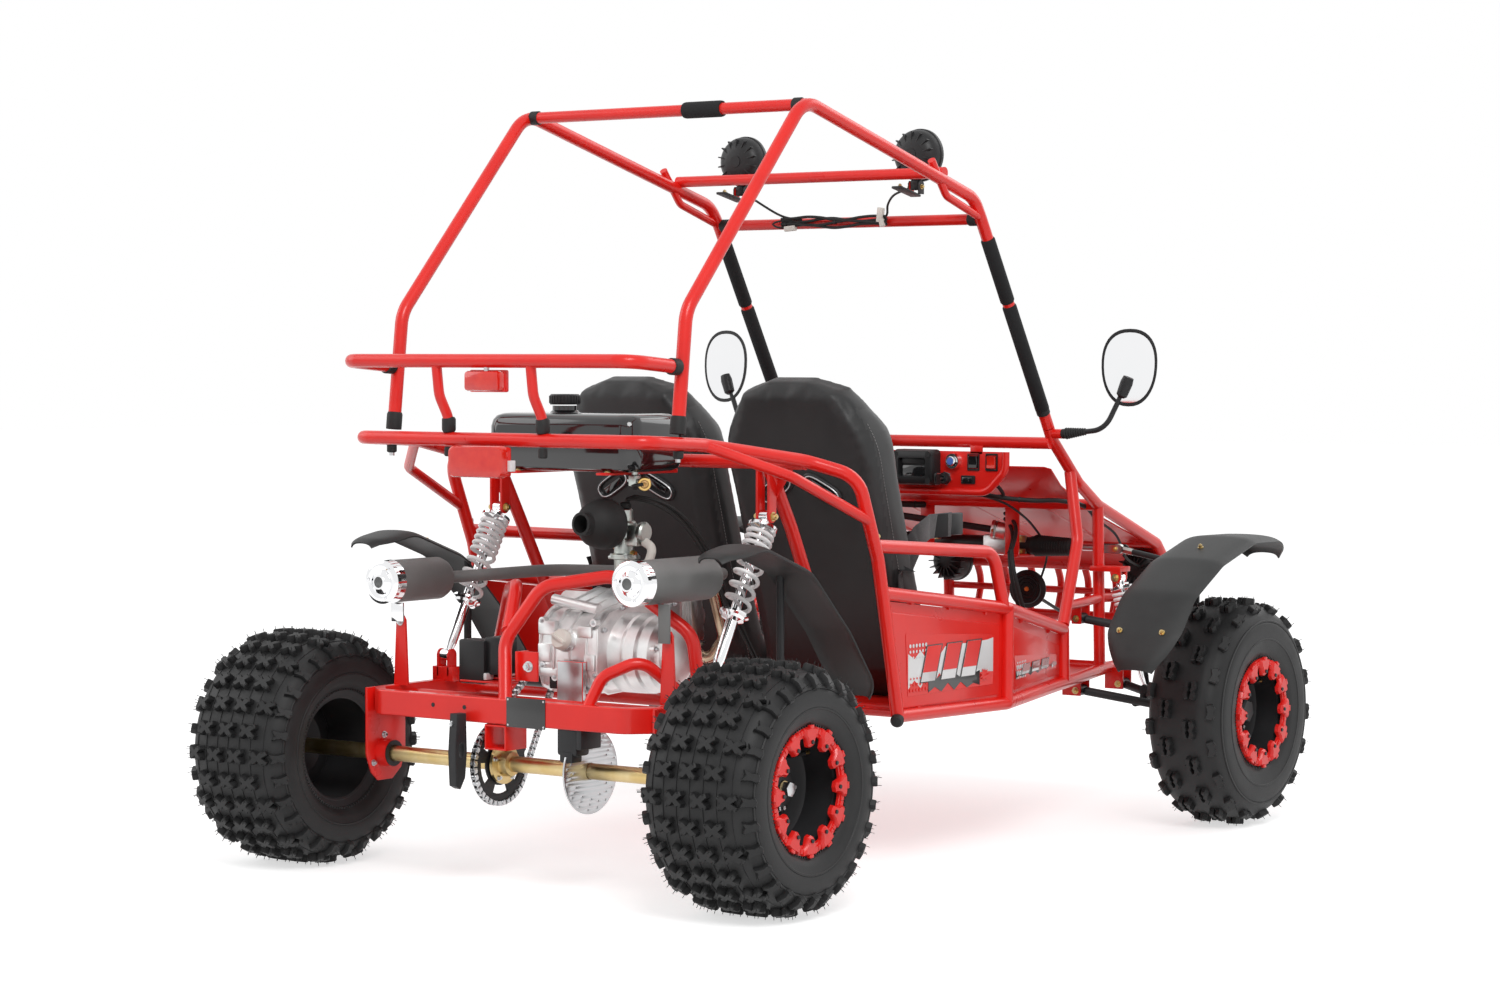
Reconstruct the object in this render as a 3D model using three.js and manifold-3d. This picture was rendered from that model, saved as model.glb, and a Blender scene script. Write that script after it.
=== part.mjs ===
// A two seat off road go kart: a welded tube frame with a bolted roll cage, double wishbones in
// front, and a sprung swing arm behind that carries the engine, the exhaust and the live axle.
// Millimetres, X to the kart's right, Y forwards, Z up. The tables below measure Y from the rear
// axle, and the finished group is moved so that its origin is the middle of its base.
import * as THREE from "three";
import { mergeVertices } from "three/addons/utils/BufferGeometryUtils.js";
import Module from "manifold-3d";

const wasm = await Module();
wasm.setup();

// driving sizes

const gap = 0.3; // between two pieces that touch
const runningGap = 0.5; // between a pin and its bore
const pipe = 12.5; // radius of the frame's and the cage's tube
const thinPipe = 10; // radius of the lighter braces
const slimPipe = 8; // radius of stays and brackets
const pipeSides = 5;
const thinSides = 5;
const slimSides = 4;
const smallPinSides = 5;
const pinSides = 6;
const bendStepDegrees = 50; // one straight piece of a bend turns through this at most

const rearWheel = { radius: 228.5, width: 235, track: 1074, rimRadius: 104 };
const frontWheel = { radius: 241.5, width: 172, track: 1296, rimRadius: 104 };
const wheelBase = 1531.5;
const wheelSides = 16; // flats round a tyre, one of which stands on the ground

const cageHalf = 333; // from the middle to the cage's side tubes
const frameHalf = 486; // from the middle to the cockpit's side tubes
const frontHalf = 320; // from the middle to the frame's front rails

// Centre lines of the frame's right half. Each row is X, Y, Z.
const ring = {
  rear: [300, -73, 820],
  corner: [338, -73, 820],
  side: [340, 98, 812],
  weld: [411, 317, 780],
  shoulder: [488, 374, 752],
  waist: [488, 441, 597],
  foot: [frameHalf, 514, 300],
  bend: 62,
};
const crossBar = { y: 317, z: 776, half: 411 };
const upright = { top: [325, 317, 776], knee: [326, 392, 654], foot: [318, 590, 300] };
const strut = { top: [340, 98, 812], elbow: [457, 211, 754], foot: [490, 408, 670] };
const sill = { rear: [frameHalf, 514, 300], mid: [frameHalf, 904, 292], front: [frontHalf, 1598, 303] };
const sillTip = [315, 1652, 303];
const armRest = { rear: [frameHalf, 432, 622], front: [frameHalf, 852, 592], foot: [frameHalf, 892, 482] };
const doorRail = { rear: [frameHalf, 458, 534], mid: [frameHalf, 908, 479], front: [393, 1284, 409] };
const doorPost = [frameHalf, 906, 292];
const doorFrontPost = [395, 1284, 297];
const pillar = { top: [332, 1323, 824], heel: [333, 1404, 742], foot: [333, 1446, 706] };
const brace = { foot: [393, 1284, 418], knee: [365, 1390, 587], top: [333, 1412, 730] };
const hoodRail = {
  mid: [322, 1550, 655],
  nose: [300, 1850, 560],
  lip: [290, 1925, 500],
  chin: [290, 1930, 382],
  back: [300, 1750, 312],
};
const tower = { top: [322, 1550, 655], foot: [322, 1562, 303] };
const dashBar = { y: 1330, z: 792 };
const floor = { thickness: 3, z: 302, rear: 566, mid: 904, front: 1640, rearHalf: 470, frontHalf: 300 };
const doorSkin = { thickness: 2 };
const hoodSkin = { thickness: 2.5, inset: 8 };
const bumper = { pickets: 5, spread: 270, bulge: 26, midZ: 456, lowZ: 382, topZ: 505 };

// The cage's right half.
const cage = {
  foot: [334, 29, 833],
  knee: [334, 54, 1052],
  roofRear: [333, 421, 1448],
  roofFront: [328, 1030, 1290],
  brow: [327, 1060, 1249],
  bend: 70,
  lampBar: [330, 918, 1336],
  rearBar: [333, 430, 1440],
  sleeve: 15,
  sleeveLength: 32,
};
const browBrace = { top: [330, 868, 1358], elbow: [329, 925, 1290], foot: [328, 1046, 1254] };
const rack = { rear: [300, -108, 962], side: [336, 20, 951], bend: 60 };
const picket = { x: 110, topY: -108, topZ: 960, kneeZ: 900, footY: -73, radius: 10.5 };

const roofLamp = { x: 217, y: 988, z: 1378, radius: 54, depth: 44, pivotDrop: 64, lugWidth: 24,
  earThickness: 4 };

const steer = {
  wheelCentre: [-195, 1270, 784],
  rimRadius: 112,
  rimPipe: 11,
  tiltDegrees: 38,
  hubDepth: 34,
  jointDistance: 250,
  columnRadius: 9,
  rackY: 1600,
  rackZ: 560,
  pinionX: 50,
};
const rackBar = { radius: 7, half: 292, bellowsStart: 130, bellowsEnd: 236, bellowsRadius: 20 };
const pedal = { brakeX: -255, throttleX: -150, pivotY: 1490, pivotZ: 332, height: 130, width: 62 };

// Front suspension, right side. Both wishbones are equal and parallel, so the wheel stays upright.
const wishbone = {
  innerX: 345,
  lowerZ: 268,
  upperZ: 420,
  rearY: 1440,
  frontY: 1622,
  reach: 185,
  drop: 32,
  bush: 11,
  bushLength: 30,
  tube: 9,
  pin: 5,
};
const kingpin = { x: 553, y: 1531.5, radius: 7, tube: 13, low: 264, high: 316 };
const frontShock = { top: [385, 1531.5, 503], lowerX: 455, lowerZ: 270 };
const frontFender = {
  rows: [[1110, 354], [1148, 424], [1213, 500], [1337, 564], [1480, 604], [1600, 603], [1688, 567]],
  outset: 1,
  width: 166,
  thickness: 4,
  cornerShare: 0.205,
};

// Rear suspension and drive.
const swing = {
  pivotY: 480,
  pivotZ: 330,
  railX: 325,
  railWidth: 20,
  rearY: -62,
  rearZ: 328,
  rearHeight: 46,
  pivotRadius: 15,
};
const rearShock = { top: [319, 322, 676], low: [319, 163, 398] };
const axle = { radius: 15, hubFace: 28, collar: 14 };
const sprocket = { x: -51, radius: 76, teeth: 24, thickness: 6 };
const drivePinion = { y: 150, z: 398, radius: 26 };
const disc = { x: 160, radius: 78, thickness: 4, holes: 6 };
const rearFender = {
  rows: [[20, 622], [123, 640], [274, 588], [400, 470], [505, 340]],
  inner: 360,
  width: 102,
  cornerShare: 0.176,
  thickness: 4,
};
const muffler = { radius: 41.5, leftX: -321, leftZ: 547, rightX: 292, rightZ: 570, rearY: -30,
  frontY: 150 };

const seat = {
  x: 200,
  width: 356,
  base: 58,
  bolster: 96,
  bolsterWidth: 58,
  rows: [[548, 925], [606, 720], [668, 520], [728, 342], [776, 302], [1130, 316]],
  bend: 60,
};
const tank = { y: 190, z: 812, length: 352, width: 178, height: 108, corner: 34, capX: -50 };
const dash = { half: 232, top: 772, low: 686, y: 1318, thickness: 3, edge: 8, corner: 46 };
const controls = {
  start: [108, 751, 13],
  key: [86, 714, 11],
  rockerX: 154,
  killX: 199,
  rockerZ: 750,
  rockerWidth: 22,
  rockerHeight: 28,
};
const mirror = { base: [362, 1330, 812], elbow: [462, 1330, 822], head: [512, 1346, 950], width: 128,
  height: 164 };
const tail = { x: -10, y: -104, z: 781, width: 128, height: 58, depth: 34 };

// small tools

const degrees = Math.PI / 180;
const vec = (p) => new THREE.Vector3(p[0], p[1], p[2]);
const leftOf = (p) => [-p[0], p[1], p[2]];

// A closed surface with only its positions, its shared corners merged and its faces outward.
function bare(source) {
  const g = new THREE.BufferGeometry();
  const loose = source.index ? source.toNonIndexed() : source;
  g.setAttribute("position", loose.getAttribute("position").clone());
  const merged = mergeVertices(g, 1e-4);
  const kept = [];
  const index = merged.index.array;
  for (let i = 0; i < index.length; i += 3) {
    const [a, b, c] = [index[i], index[i + 1], index[i + 2]];
    if (a !== b && b !== c && c !== a) kept.push(a, b, c);
  }
  const p = merged.getAttribute("position");
  const [a, b, c] = [new THREE.Vector3(), new THREE.Vector3(), new THREE.Vector3()];
  let volume = 0;
  for (let i = 0; i < kept.length; i += 3) {
    a.fromBufferAttribute(p, kept[i]);
    b.fromBufferAttribute(p, kept[i + 1]);
    c.fromBufferAttribute(p, kept[i + 2]);
    volume += a.dot(b.cross(c));
  }
  if (volume < 0) {
    for (let i = 0; i < kept.length; i += 3) [kept[i + 1], kept[i + 2]] = [kept[i + 2], kept[i + 1]];
  }
  merged.setIndex(kept);
  return merged;
}

function solid(geometry) {
  const g = bare(geometry);
  return new wasm.Manifold(
    new wasm.Mesh({
      numProp: 3,
      vertProperties: new Float32Array(g.getAttribute("position").array),
      triVerts: new Uint32Array(g.index.array),
    }),
  );
}

function geometryOf(body) {
  const mesh = body.getMesh();
  const positions = new Float32Array(mesh.numVert * 3);
  for (let i = 0; i < mesh.numVert; i += 1) {
    for (let k = 0; k < 3; k += 1) positions[i * 3 + k] = mesh.vertProperties[i * mesh.numProp + k];
  }
  const g = new THREE.BufferGeometry();
  g.setAttribute("position", new THREE.BufferAttribute(positions, 3));
  g.setIndex(new THREE.BufferAttribute(new Uint32Array(mesh.triVerts), 1));
  return g;
}

const join = (pieces) => geometryOf(pieces.map(solid).reduce((all, one) => all.add(one)));
const cut = (body, tools) => geometryOf(tools.map(solid).reduce((all, one) => all.subtract(one),
  solid(body)));
const common = (a, b) => geometryOf(solid(a).intersect(solid(b)));
const moved = (g, x, y, z) => bare(g).translate(x, y, z);
const mirrored = (g) => bare(bare(g).scale(-1, 1, 1));

// A line of stations with rounded corners, which a section is swept along.
class Route extends THREE.Curve {
  constructor(points, bend) {
    super();
    const corners = points.map(vec);
    this.stations = [corners[0]];
    for (let i = 1; i < corners.length - 1; i += 1) {
      const before = corners[i].clone().sub(corners[i - 1]);
      const after = corners[i + 1].clone().sub(corners[i]);
      const turn = before.angleTo(after);
      const room = Math.min(before.length(), after.length()) * 0.47;
      if (turn < 2 * degrees || bend === 0) {
        this.stations.push(corners[i]);
        continue;
      }
      const leg = Math.min(bend * Math.tan(turn / 2), room);
      const radius = leg / Math.tan(turn / 2);
      before.normalize();
      after.normalize();
      const start = corners[i].clone().addScaledVector(before, -leg);
      const end = corners[i].clone().addScaledVector(after, leg);
      const inward = after.clone().sub(before).normalize();
      const centre = corners[i].clone().addScaledVector(inward, radius / Math.cos(turn / 2));
      const from = start.clone().sub(centre);
      const to = end.clone().sub(centre);
      const steps = Math.max(1, Math.ceil(turn / (bendStepDegrees * degrees)));
      for (let s = 0; s <= steps; s += 1) {
        const share = s / steps;
        this.stations.push(
          centre
            .clone()
            .addScaledVector(from, Math.sin((1 - share) * turn) / Math.sin(turn))
            .addScaledVector(to, Math.sin(share * turn) / Math.sin(turn)),
        );
      }
    }
    this.stations.push(corners[corners.length - 1]);
    this.steps = this.stations.length - 1;
  }
  getPoint(t, target = new THREE.Vector3()) {
    const place = t * this.steps;
    const i = Math.min(Math.floor(place + 1e-9), this.steps - 1);
    return target.lerpVectors(this.stations[i], this.stations[i + 1], place - i);
  }
  getPointAt(t, target) {
    return this.getPoint(t, target);
  }
  getTangent(t, target = new THREE.Vector3()) {
    const i = Math.round(t * this.steps);
    target.set(0, 0, 0);
    if (i > 0) target.add(this.stations[i].clone().sub(this.stations[i - 1]).normalize());
    if (i < this.steps) target.add(this.stations[i + 1].clone().sub(this.stations[i]).normalize());
    return target.normalize();
  }
  getTangentAt(t, target) {
    return this.getTangent(t, target);
  }
}

const ringShape = (radius, sides) => {
  const points = [];
  for (let i = 0; i < sides; i += 1) {
    const angle = ((i + 0.5) / sides) * 2 * Math.PI;
    points.push(new THREE.Vector2(radius * Math.cos(angle), radius * Math.sin(angle)));
  }
  return new THREE.Shape(points);
};

function swept(shape, points, bend = 0) {
  const route = new Route(points, bend);
  return new THREE.ExtrudeGeometry(shape, { steps: route.steps, extrudePath: route, bevelEnabled: false });
}

const sidesFor = (radius) => {
  if (radius > thinPipe) return pipeSides;
  return radius < thinPipe ? slimSides : thinSides;
};
const tube = (points, radius = pipe, bend = 0, sides = sidesFor(radius)) => swept(ringShape(radius, sides),
  points, bend);
const rod = (from, to, radius, sides = sidesFor(radius)) => tube([from, to], radius, 0, sides);
// A tube that runs from the left side to the right one, given by its right half from the middle out.
const across = (points, radius, bend, sides) =>
  tube([...points.map(leftOf).reverse(), ...points], radius, bend, sides);
const both = (piece) => [piece, mirrored(piece)];

const block = (x, y, z, width, depth, height) => moved(new THREE.BoxGeometry(width, depth, height), x, y,
  z);

// A flat plate in the Y-Z plane, from an outline of Y, Z rows, with its middle at x.
function sidePlate(rows, x, thickness, holes = []) {
  const shape = new THREE.Shape(rows.map(([y, z]) => new THREE.Vector2(y, z)));
  for (const hole of holes) shape.holes.push(hole);
  const g = new THREE.ExtrudeGeometry(shape, { depth: thickness, bevelEnabled: false });
  g.applyMatrix4(new THREE.Matrix4().set(0, 0, 1, x - thickness / 2, 1, 0, 0, 0, 0, 1, 0, 0, 0, 0, 0, 1));
  return bare(g);
}

// A flat plate in the X-Z plane, from an outline of X, Z rows, with its middle at y.
function facePlate(rows, y, thickness) {
  const shape = new THREE.Shape(rows.map(([x, z]) => new THREE.Vector2(x, z)));
  const g = new THREE.ExtrudeGeometry(shape, { depth: thickness, bevelEnabled: false });
  g.applyMatrix4(new THREE.Matrix4().set(1, 0, 0, 0, 0, 0, -1, y + thickness / 2, 0, 1, 0, 0, 0, 0, 0, 1));
  return bare(g);
}

// A flat plate in the X-Y plane, from an outline of X, Y rows, with its middle at z.
function levelPlate(rows, z, thickness) {
  const shape = new THREE.Shape(rows.map(([x, y]) => new THREE.Vector2(x, y)));
  return moved(new THREE.ExtrudeGeometry(shape, { depth: thickness, bevelEnabled: false }), 0, 0,
    z - thickness / 2);
}

// A solid turned about a line parallel to X, from rows of X offset and radius.
function turned(rows, x, y, z, sides) {
  const profile = rows.map(([offset, radius]) => new THREE.Vector2(radius, offset));
  const g = new THREE.LatheGeometry(profile, sides);
  g.rotateZ(-Math.PI / 2);
  g.rotateX(Math.PI / sides);
  return moved(g, x, y, z);
}

const cylinderX = (x0, x1, y, z, radius, sides = pinSides) => rod([x0, y, z], [x1, y, z], radius, sides);
const cylinderY = (x, y0, y1, z, radius, sides = pinSides) => rod([x, y0, z], [x, y1, z], radius, sides);
const cylinderZ = (x, y, z0, z1, radius, sides = pinSides) => rod([x, y, z0], [x, y, z1], radius, sides);
// The corner radius of a many sided bore whose flats clear a pin.
const boreFor = (pin, sides = pinSides) => (pin + runningGap) / Math.cos(Math.PI / sides);
// The corner radius of a bore with the same flats as the shaft that fills it.
const seatFor = (shaft, sides = pinSides) => shaft + gap / Math.cos(Math.PI / sides);

const roundedRows = (cx, cy, width, height, corner, steps = 3) => {
  const rows = [];
  const quarters = [[1, -1, -90], [1, 1, 0], [-1, 1, 90], [-1, -1, 180]];
  for (const [sx, sy, start] of quarters) {
    for (let i = 0; i <= steps; i += 1) {
      const angle = (start + (90 * i) / steps) * degrees;
      rows.push([
        cx + sx * (width / 2 - corner) + corner * Math.cos(angle),
        cy + sy * (height / 2 - corner) + corner * Math.sin(angle),
      ]);
    }
  }
  return rows;
};

const finishes = {
  red: { color: 0xd81e1a, roughness: 0.32, metalness: 0.1 },
  black: { color: 0x1a1a1b, roughness: 0.55, metalness: 0.2 },
  rubber: { color: 0x1c1c1d, roughness: 0.9, metalness: 0 },
  vinyl: { color: 0x2a2b2c, roughness: 0.6, metalness: 0 },
  alloy: { color: 0xb9bbbd, roughness: 0.4, metalness: 0.9 },
  chrome: { color: 0xe6e7e8, roughness: 0.12, metalness: 1 },
  zinc: { color: 0xb79a5a, roughness: 0.35, metalness: 0.9 },
  white: { color: 0xe9eceb, roughness: 0.4, metalness: 0 },
  lens: { color: 0xd8281e, roughness: 0.15, metalness: 0 },
};

const kart = new THREE.Group();
function add(name, geometry, finish) {
  const mesh = new THREE.Mesh(geometry, new THREE.MeshStandardMaterial({ ...finishes[finish],
    flatShading: true }));
  mesh.name = name;
  kart.add(mesh);
  return mesh;
}

// derived places

const flatShare = Math.cos(Math.PI / wheelSides);
const rearZ = rearWheel.radius * flatShare;
const frontZ = frontWheel.radius * flatShare;
const rearX = rearWheel.track / 2;
const frontX = frontWheel.track / 2;
const armOuterX = wishbone.innerX + wishbone.reach;
const lowerOuterZ = wishbone.lowerZ - wishbone.drop;
const upperOuterZ = wishbone.upperZ - wishbone.drop;
const eyeWidth = 20;
const eyeRadius = 12;
const eyePin = 5;
const earThickness = 5;
const earGap = 0.4;

// Two ears and their pin round an eye, with the pin along X or along Y.
function clevis(place, along, inside, radius, depth, down, pin = eyePin) {
  const [x, y, z] = place;
  const offset = inside / 2 + earGap + earThickness / 2;
  const reach = offset;
  const middle = z + (down ? -1 : 1) * (depth / 2 - radius);
  const pieces = [];
  for (const way of [-1, 1]) {
    pieces.push(
      along === "x"
        ? block(x + way * offset, y, middle, earThickness, radius * 2, depth)
        : block(x, y + way * offset, middle, radius * 2, earThickness, depth),
    );
  }
  pieces.push(
    along === "x"
      ? cylinderX(x - reach, x + reach, y, z, pin, smallPinSides)
      : cylinderY(x, y - reach, y + reach, z, pin, smallPinSides),
  );
  return pieces;
}

// Main frame: its tubes, and the skins, lugs and brackets that are welded to them.

const rearCross = { y: 590, z: 300 };
const tieBar = { rear: [387, 1307, 455], front: [322, 1557, 455] };
const hoodSide = hoodRail.nose[0] - hoodSkin.inset;

const frameTubes = [
  across([ring.rear, ring.corner, ring.side, ring.weld, ring.shoulder, ring.waist, ring.foot], pipe,
    ring.bend),
  across([[crossBar.half, crossBar.y, crossBar.z]], pipe),
  across([[cageHalf, dashBar.y, dashBar.z]], pipe),
  across([[frameHalf, rearCross.y, rearCross.z]], pipe),
  across([[frameHalf, sill.mid[1], sill.mid[2]]], pipe),
  across([[frontHalf, sill.front[1], sill.front[2]]], pipe),
  across([[hoodRail.mid[0], hoodRail.mid[1], hoodRail.mid[2]]], pipe),
  across([[hoodRail.nose[0], hoodRail.nose[1], hoodRail.nose[2]]], pipe),
  across([[hoodRail.lip[0], hoodRail.lip[1], hoodRail.lip[2]]], pipe),
  across([[hoodRail.chin[0], hoodRail.chin[1], bumper.lowZ]], pipe),
];
const pillarWay = vec(pillar.top).sub(vec(cage.brow)).normalize();
const pillarStraight = vec(pillar.top).addScaledVector(pillarWay, pipe * 2).toArray();
const frameSide = [
  tube([upright.top, upright.knee, upright.foot], pipe),
  tube([strut.top, strut.elbow, strut.foot], thinPipe),
  tube([armRest.rear, armRest.front, armRest.foot], pipe, pipe * 4),
  tube([doorRail.rear, doorRail.mid, doorRail.front], pipe),
  rod(doorRail.mid, doorPost, pipe),
  rod(doorRail.front, doorFrontPost, pipe),
  tube([pillar.top, pillarStraight, pillar.heel, pillar.foot, hoodRail.mid, hoodRail.nose, hoodRail.lip,
    hoodRail.chin,
    hoodRail.back, sillTip, sill.front, sill.mid, sill.rear], pipe),
  tube([brace.foot, brace.knee, brace.top], pipe),
  rod(tower.top, tower.foot, pipe),
  rod(tieBar.rear, tieBar.front, thinPipe),
];

// The tower's arm and the ears that hold the front shock's top eye.
const shelf = { height: 11, inner: tower.foot[0], outer: frontShock.top[0] + eyeRadius };
const shelfLow = frontShock.top[2] + eyeRadius + gap;
const shelfDepth = eyeWidth + (earThickness + earGap) * 2;
frameSide.push(
  ...clevis(frontShock.top, "y", eyeWidth, eyeRadius,
    shelfLow - frontShock.top[2] + eyeRadius + shelf.height / 2),
  block((shelf.inner + shelf.outer) / 2, frontShock.top[1] + pipe / 2, shelfLow + shelf.height / 2,
    shelf.outer - shelf.inner, shelfDepth + pipe, shelf.height),
);

// The wishbones' inner lugs: two hang under the sill, two from the tie bar and its tail behind the tower.
const lugReach = wishbone.bushLength / 2 + earGap + earThickness;
for (const y of [wishbone.rearY, wishbone.frontY]) {
  const lowDepth = sill.front[2] - wishbone.lowerZ + wishbone.bush;
  const highDepth = tieBar.rear[2] - wishbone.upperZ + wishbone.bush;
  for (const way of [-1, 1]) {
    const earY = y + way * (lugReach - earThickness / 2);
    frameSide.push(
      block(wishbone.innerX - wishbone.bush, earY, wishbone.lowerZ - wishbone.bush + lowDepth / 2,
        wishbone.bush * 4,
        earThickness, lowDepth),
      block(wishbone.innerX, earY, wishbone.upperZ - wishbone.bush + highDepth / 2, wishbone.bush * 2,
        earThickness,
        highDepth),
    );
  }
  for (const z of [wishbone.lowerZ, wishbone.upperZ]) {
    frameSide.push(
      cylinderY(wishbone.innerX, y - lugReach + earThickness / 2, y + lugReach - earThickness / 2, z,
        wishbone.pin,
        smallPinSides),
    );
  }
}
frameSide.push(
  rod([tower.foot[0], tower.foot[1], tieBar.front[2]],
    [wishbone.innerX, wishbone.frontY + lugReach, tieBar.front[2]],
    thinPipe),
);

// Swing arm pivot ears, behind the cross tube under the seats.
const swingRailOut = swing.railX + swing.railWidth / 2;
const earX = swingRailOut + runningGap + earThickness / 2;
const swingEar = [
  sidePlate(
    [[rearCross.y, rearCross.z - pipe], [swing.pivotY - 14, swing.pivotZ - 16],
      [swing.pivotY - 18, swing.pivotZ],
      [swing.pivotY - 10, swing.pivotZ + 16], [swing.pivotY + 12, swing.pivotZ + 18], [rearCross.y,
        rearCross.z + pipe]],
    earX, earThickness,
  ),
  cylinderX(earX, swing.railX - swing.railWidth, swing.pivotY, swing.pivotZ, pipe * 0.64),
];

// Rear shock hangers, welded under the cross bar.
frameSide.push(
  ...swingEar,
  ...clevis(rearShock.top, "x", eyeWidth, eyeRadius, crossBar.z - rearShock.top[2] + eyeRadius),
);

// Skins of the two door panels, the floor and the hood.
const skinInset = pipe / 2;
frameSide.push(
  sidePlate(
    [[doorRail.rear[1] + skinInset, doorRail.rear[2]], [sill.rear[1], sill.rear[2]],
      [sill.mid[1], sill.mid[2]],
      [doorRail.mid[1], doorRail.mid[2]]],
    frameHalf - skinInset, doorSkin.thickness,
  ),
);
const taper = Math.atan2(doorRail.mid[0] - doorRail.front[0], doorRail.front[1] - doorRail.mid[1]);
const frontRun = Math.hypot(doorRail.mid[0] - doorRail.front[0], doorRail.front[1] - doorRail.mid[1]);
const frontSkin = sidePlate(
  [[0, doorRail.mid[2]], [0, sill.mid[2]], [frontRun, doorFrontPost[2]], [frontRun, doorRail.front[2]]],
  0, doorSkin.thickness,
);
frameSide.push(
  frontSkin.rotateZ(taper).translate(frameHalf - skinInset, doorRail.mid[1], 0),
);
const floorRows = [[floor.rearHalf, floor.rear], [floor.rearHalf, floor.mid],
  [floor.frontHalf, floor.front]];
frameTubes.push(
  levelPlate([...floorRows, ...floorRows.map(([x, y]) => [-x, y]).reverse()], floor.z, floor.thickness),
);
const hoodRows = [pillar.heel, pillar.foot, hoodRail.mid, hoodRail.nose,
  hoodRail.lip].map((p) => [p[1], p[2]]);
const hoodUnder = hoodRows.map(([y, z]) => [y - hoodSkin.thickness / 2, z - hoodSkin.thickness]);
frameTubes.push(sidePlate([...hoodRows, ...hoodUnder.reverse()], 0, (hoodSide - pipe) * 2));

// Front bumper: bowed pickets between the lip, a middle bar and the chin.
const bumperFace = hoodRail.chin[1] + bumper.bulge;
for (let i = 0; i < bumper.pickets; i += 1) {
  const x = bumper.spread * (i / (bumper.pickets - 1) - 0.5) * 1.6;
  frameTubes.push(
    tube([[x, hoodRail.lip[1], bumper.topZ], [x, bumperFace, bumper.midZ],
      [x, hoodRail.chin[1], bumper.lowZ]],
      slimPipe),
  );
}

// Straps under the tank, a boss for each mirror, and a stay for the tail lamp.
const strapX = tank.length * 0.3;
const tankBottom = tank.z - tank.height / 2;
const strapThickness = 5;
for (const x of [-strapX, strapX]) {
  frameTubes.push(
    block(x, (tank.y - tank.width / 2 + crossBar.y) / 2, tankBottom - gap - strapThickness / 2,
      strapThickness * 5,
      crossBar.y - tank.y + tank.width / 2, strapThickness),
    block(x, crossBar.y, (tankBottom - gap + crossBar.z) / 2 - strapThickness / 2, strapThickness * 5,
      strapThickness, crossBar.z - tankBottom + strapThickness * 2),
  );
}
frameSide.push(
  rod([pillar.top[0], mirror.base[1], mirror.base[2]],
    [mirror.base[0] - gap, mirror.base[1], mirror.base[2]], slimPipe + 2),
);

// Steering: a hanger that carries the column, and two legs for the rack's housing.
const tilt = steer.tiltDegrees * degrees;
const columnWay = [0, Math.cos(tilt), -Math.sin(tilt)];
const hub = steer.wheelCentre;
const along = (p, way, d) => p.map((v, i) => v + way[i] * d);
const columnCollar = along(hub, columnWay, steer.jointDistance * 0.52);
const collarRadius = boreFor(steer.columnRadius) + 5;
const collarLength = 36;
const columnTube = rod(
  along(columnCollar, columnWay, -collarLength / 2), along(columnCollar, columnWay,
    collarLength / 2), collarRadius, pinSides,
);
const columnBore = rod(
  along(columnCollar, columnWay, -collarLength), along(columnCollar, columnWay,
    collarLength), boreFor(steer.columnRadius),
  pinSides,
);
frameTubes.push(
  columnTube,
  rod([hub[0], dashBar.y, dashBar.z], along(columnCollar, [0, Math.sin(tilt), Math.cos(tilt)],
    collarRadius - 1), slimPipe),
);
const rackLegX = rackBar.bellowsStart * 0.84;
const housingRadius = 19;
const housingSides = 8;
const housingLow = steer.rackZ - housingRadius * Math.cos(Math.PI / housingSides) - gap;
const legPlate = { width: 34, thickness: 6 };
for (const x of [-rackLegX, rackLegX]) {
  frameTubes.push(
    block(x, (steer.rackY + hoodRail.mid[1]) / 2, housingLow - legPlate.thickness / 2, legPlate.width,
      steer.rackY - hoodRail.mid[1] + housingRadius * 2, legPlate.thickness),
    block(x, hoodRail.mid[1], (housingLow + hoodRail.mid[2] - legPlate.thickness) / 2, legPlate.width,
      legPlate.thickness, hoodRail.mid[2] - housingLow + legPlate.thickness),
  );
}

// Pedal cross tube, close above the floor.
const pedalTube = { y: pedal.pivotY, z: pedal.pivotZ, radius: 8 };
const pedalSpan = [pedal.brakeX - pedal.width, pedal.throttleX + pedal.width];
frameTubes.push(
  cylinderX(pedalSpan[0], pedalSpan[1], pedalTube.y, pedalTube.z, pedalTube.radius, smallPinSides),
);
for (const x of pedalSpan) {
  frameTubes.push(block(x, pedalTube.y, (pedalTube.z + floor.z) / 2, 6, 30, pedalTube.z - floor.z + 12));
}

let mainFrame = join([...frameTubes, ...frameSide, ...frameSide.map(mirrored)]);
mainFrame = cut(mainFrame, [columnBore]);
add("main_frame", mainFrame, "red");

// Roll cage and the parts that it carries.

const pillarEnd = vec(pillar.top).addScaledVector(pillarWay, -gap).toArray();
const lampBracketWidth = 26;
const lampBracketThickness = 5;
const cageSide = [
  tube([cage.foot, cage.knee, cage.roofRear, cage.roofFront, cage.brow, pillarEnd], pipe, cage.bend),
  cylinderZ(cage.foot[0], cage.foot[1], cage.foot[2], cage.foot[2] + cage.sleeveLength, cage.sleeve),
  tube([browBrace.top, browBrace.elbow, browBrace.foot], thinPipe * 0.8, pipe * 3),
];
const bracketSlope = Math.atan2(cage.lampBar[2] - cage.brow[2], cage.brow[1] - cage.lampBar[1]);
const bracketRun = Math.hypot(cage.lampBar[2] - cage.brow[2], cage.brow[1] - cage.lampBar[1]);
const lampPivotZ = roofLamp.z - roofLamp.pivotDrop;
const bracketMid = [(cage.lampBar[1] + cage.brow[1]) / 2, (cage.lampBar[2] + cage.brow[2]) / 2];
cageSide.push(
  new THREE.BoxGeometry(lampBracketWidth, bracketRun, lampBracketThickness)
    .rotateX(-bracketSlope)
    .translate(roofLamp.x, bracketMid[0], bracketMid[1]),
);
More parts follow.
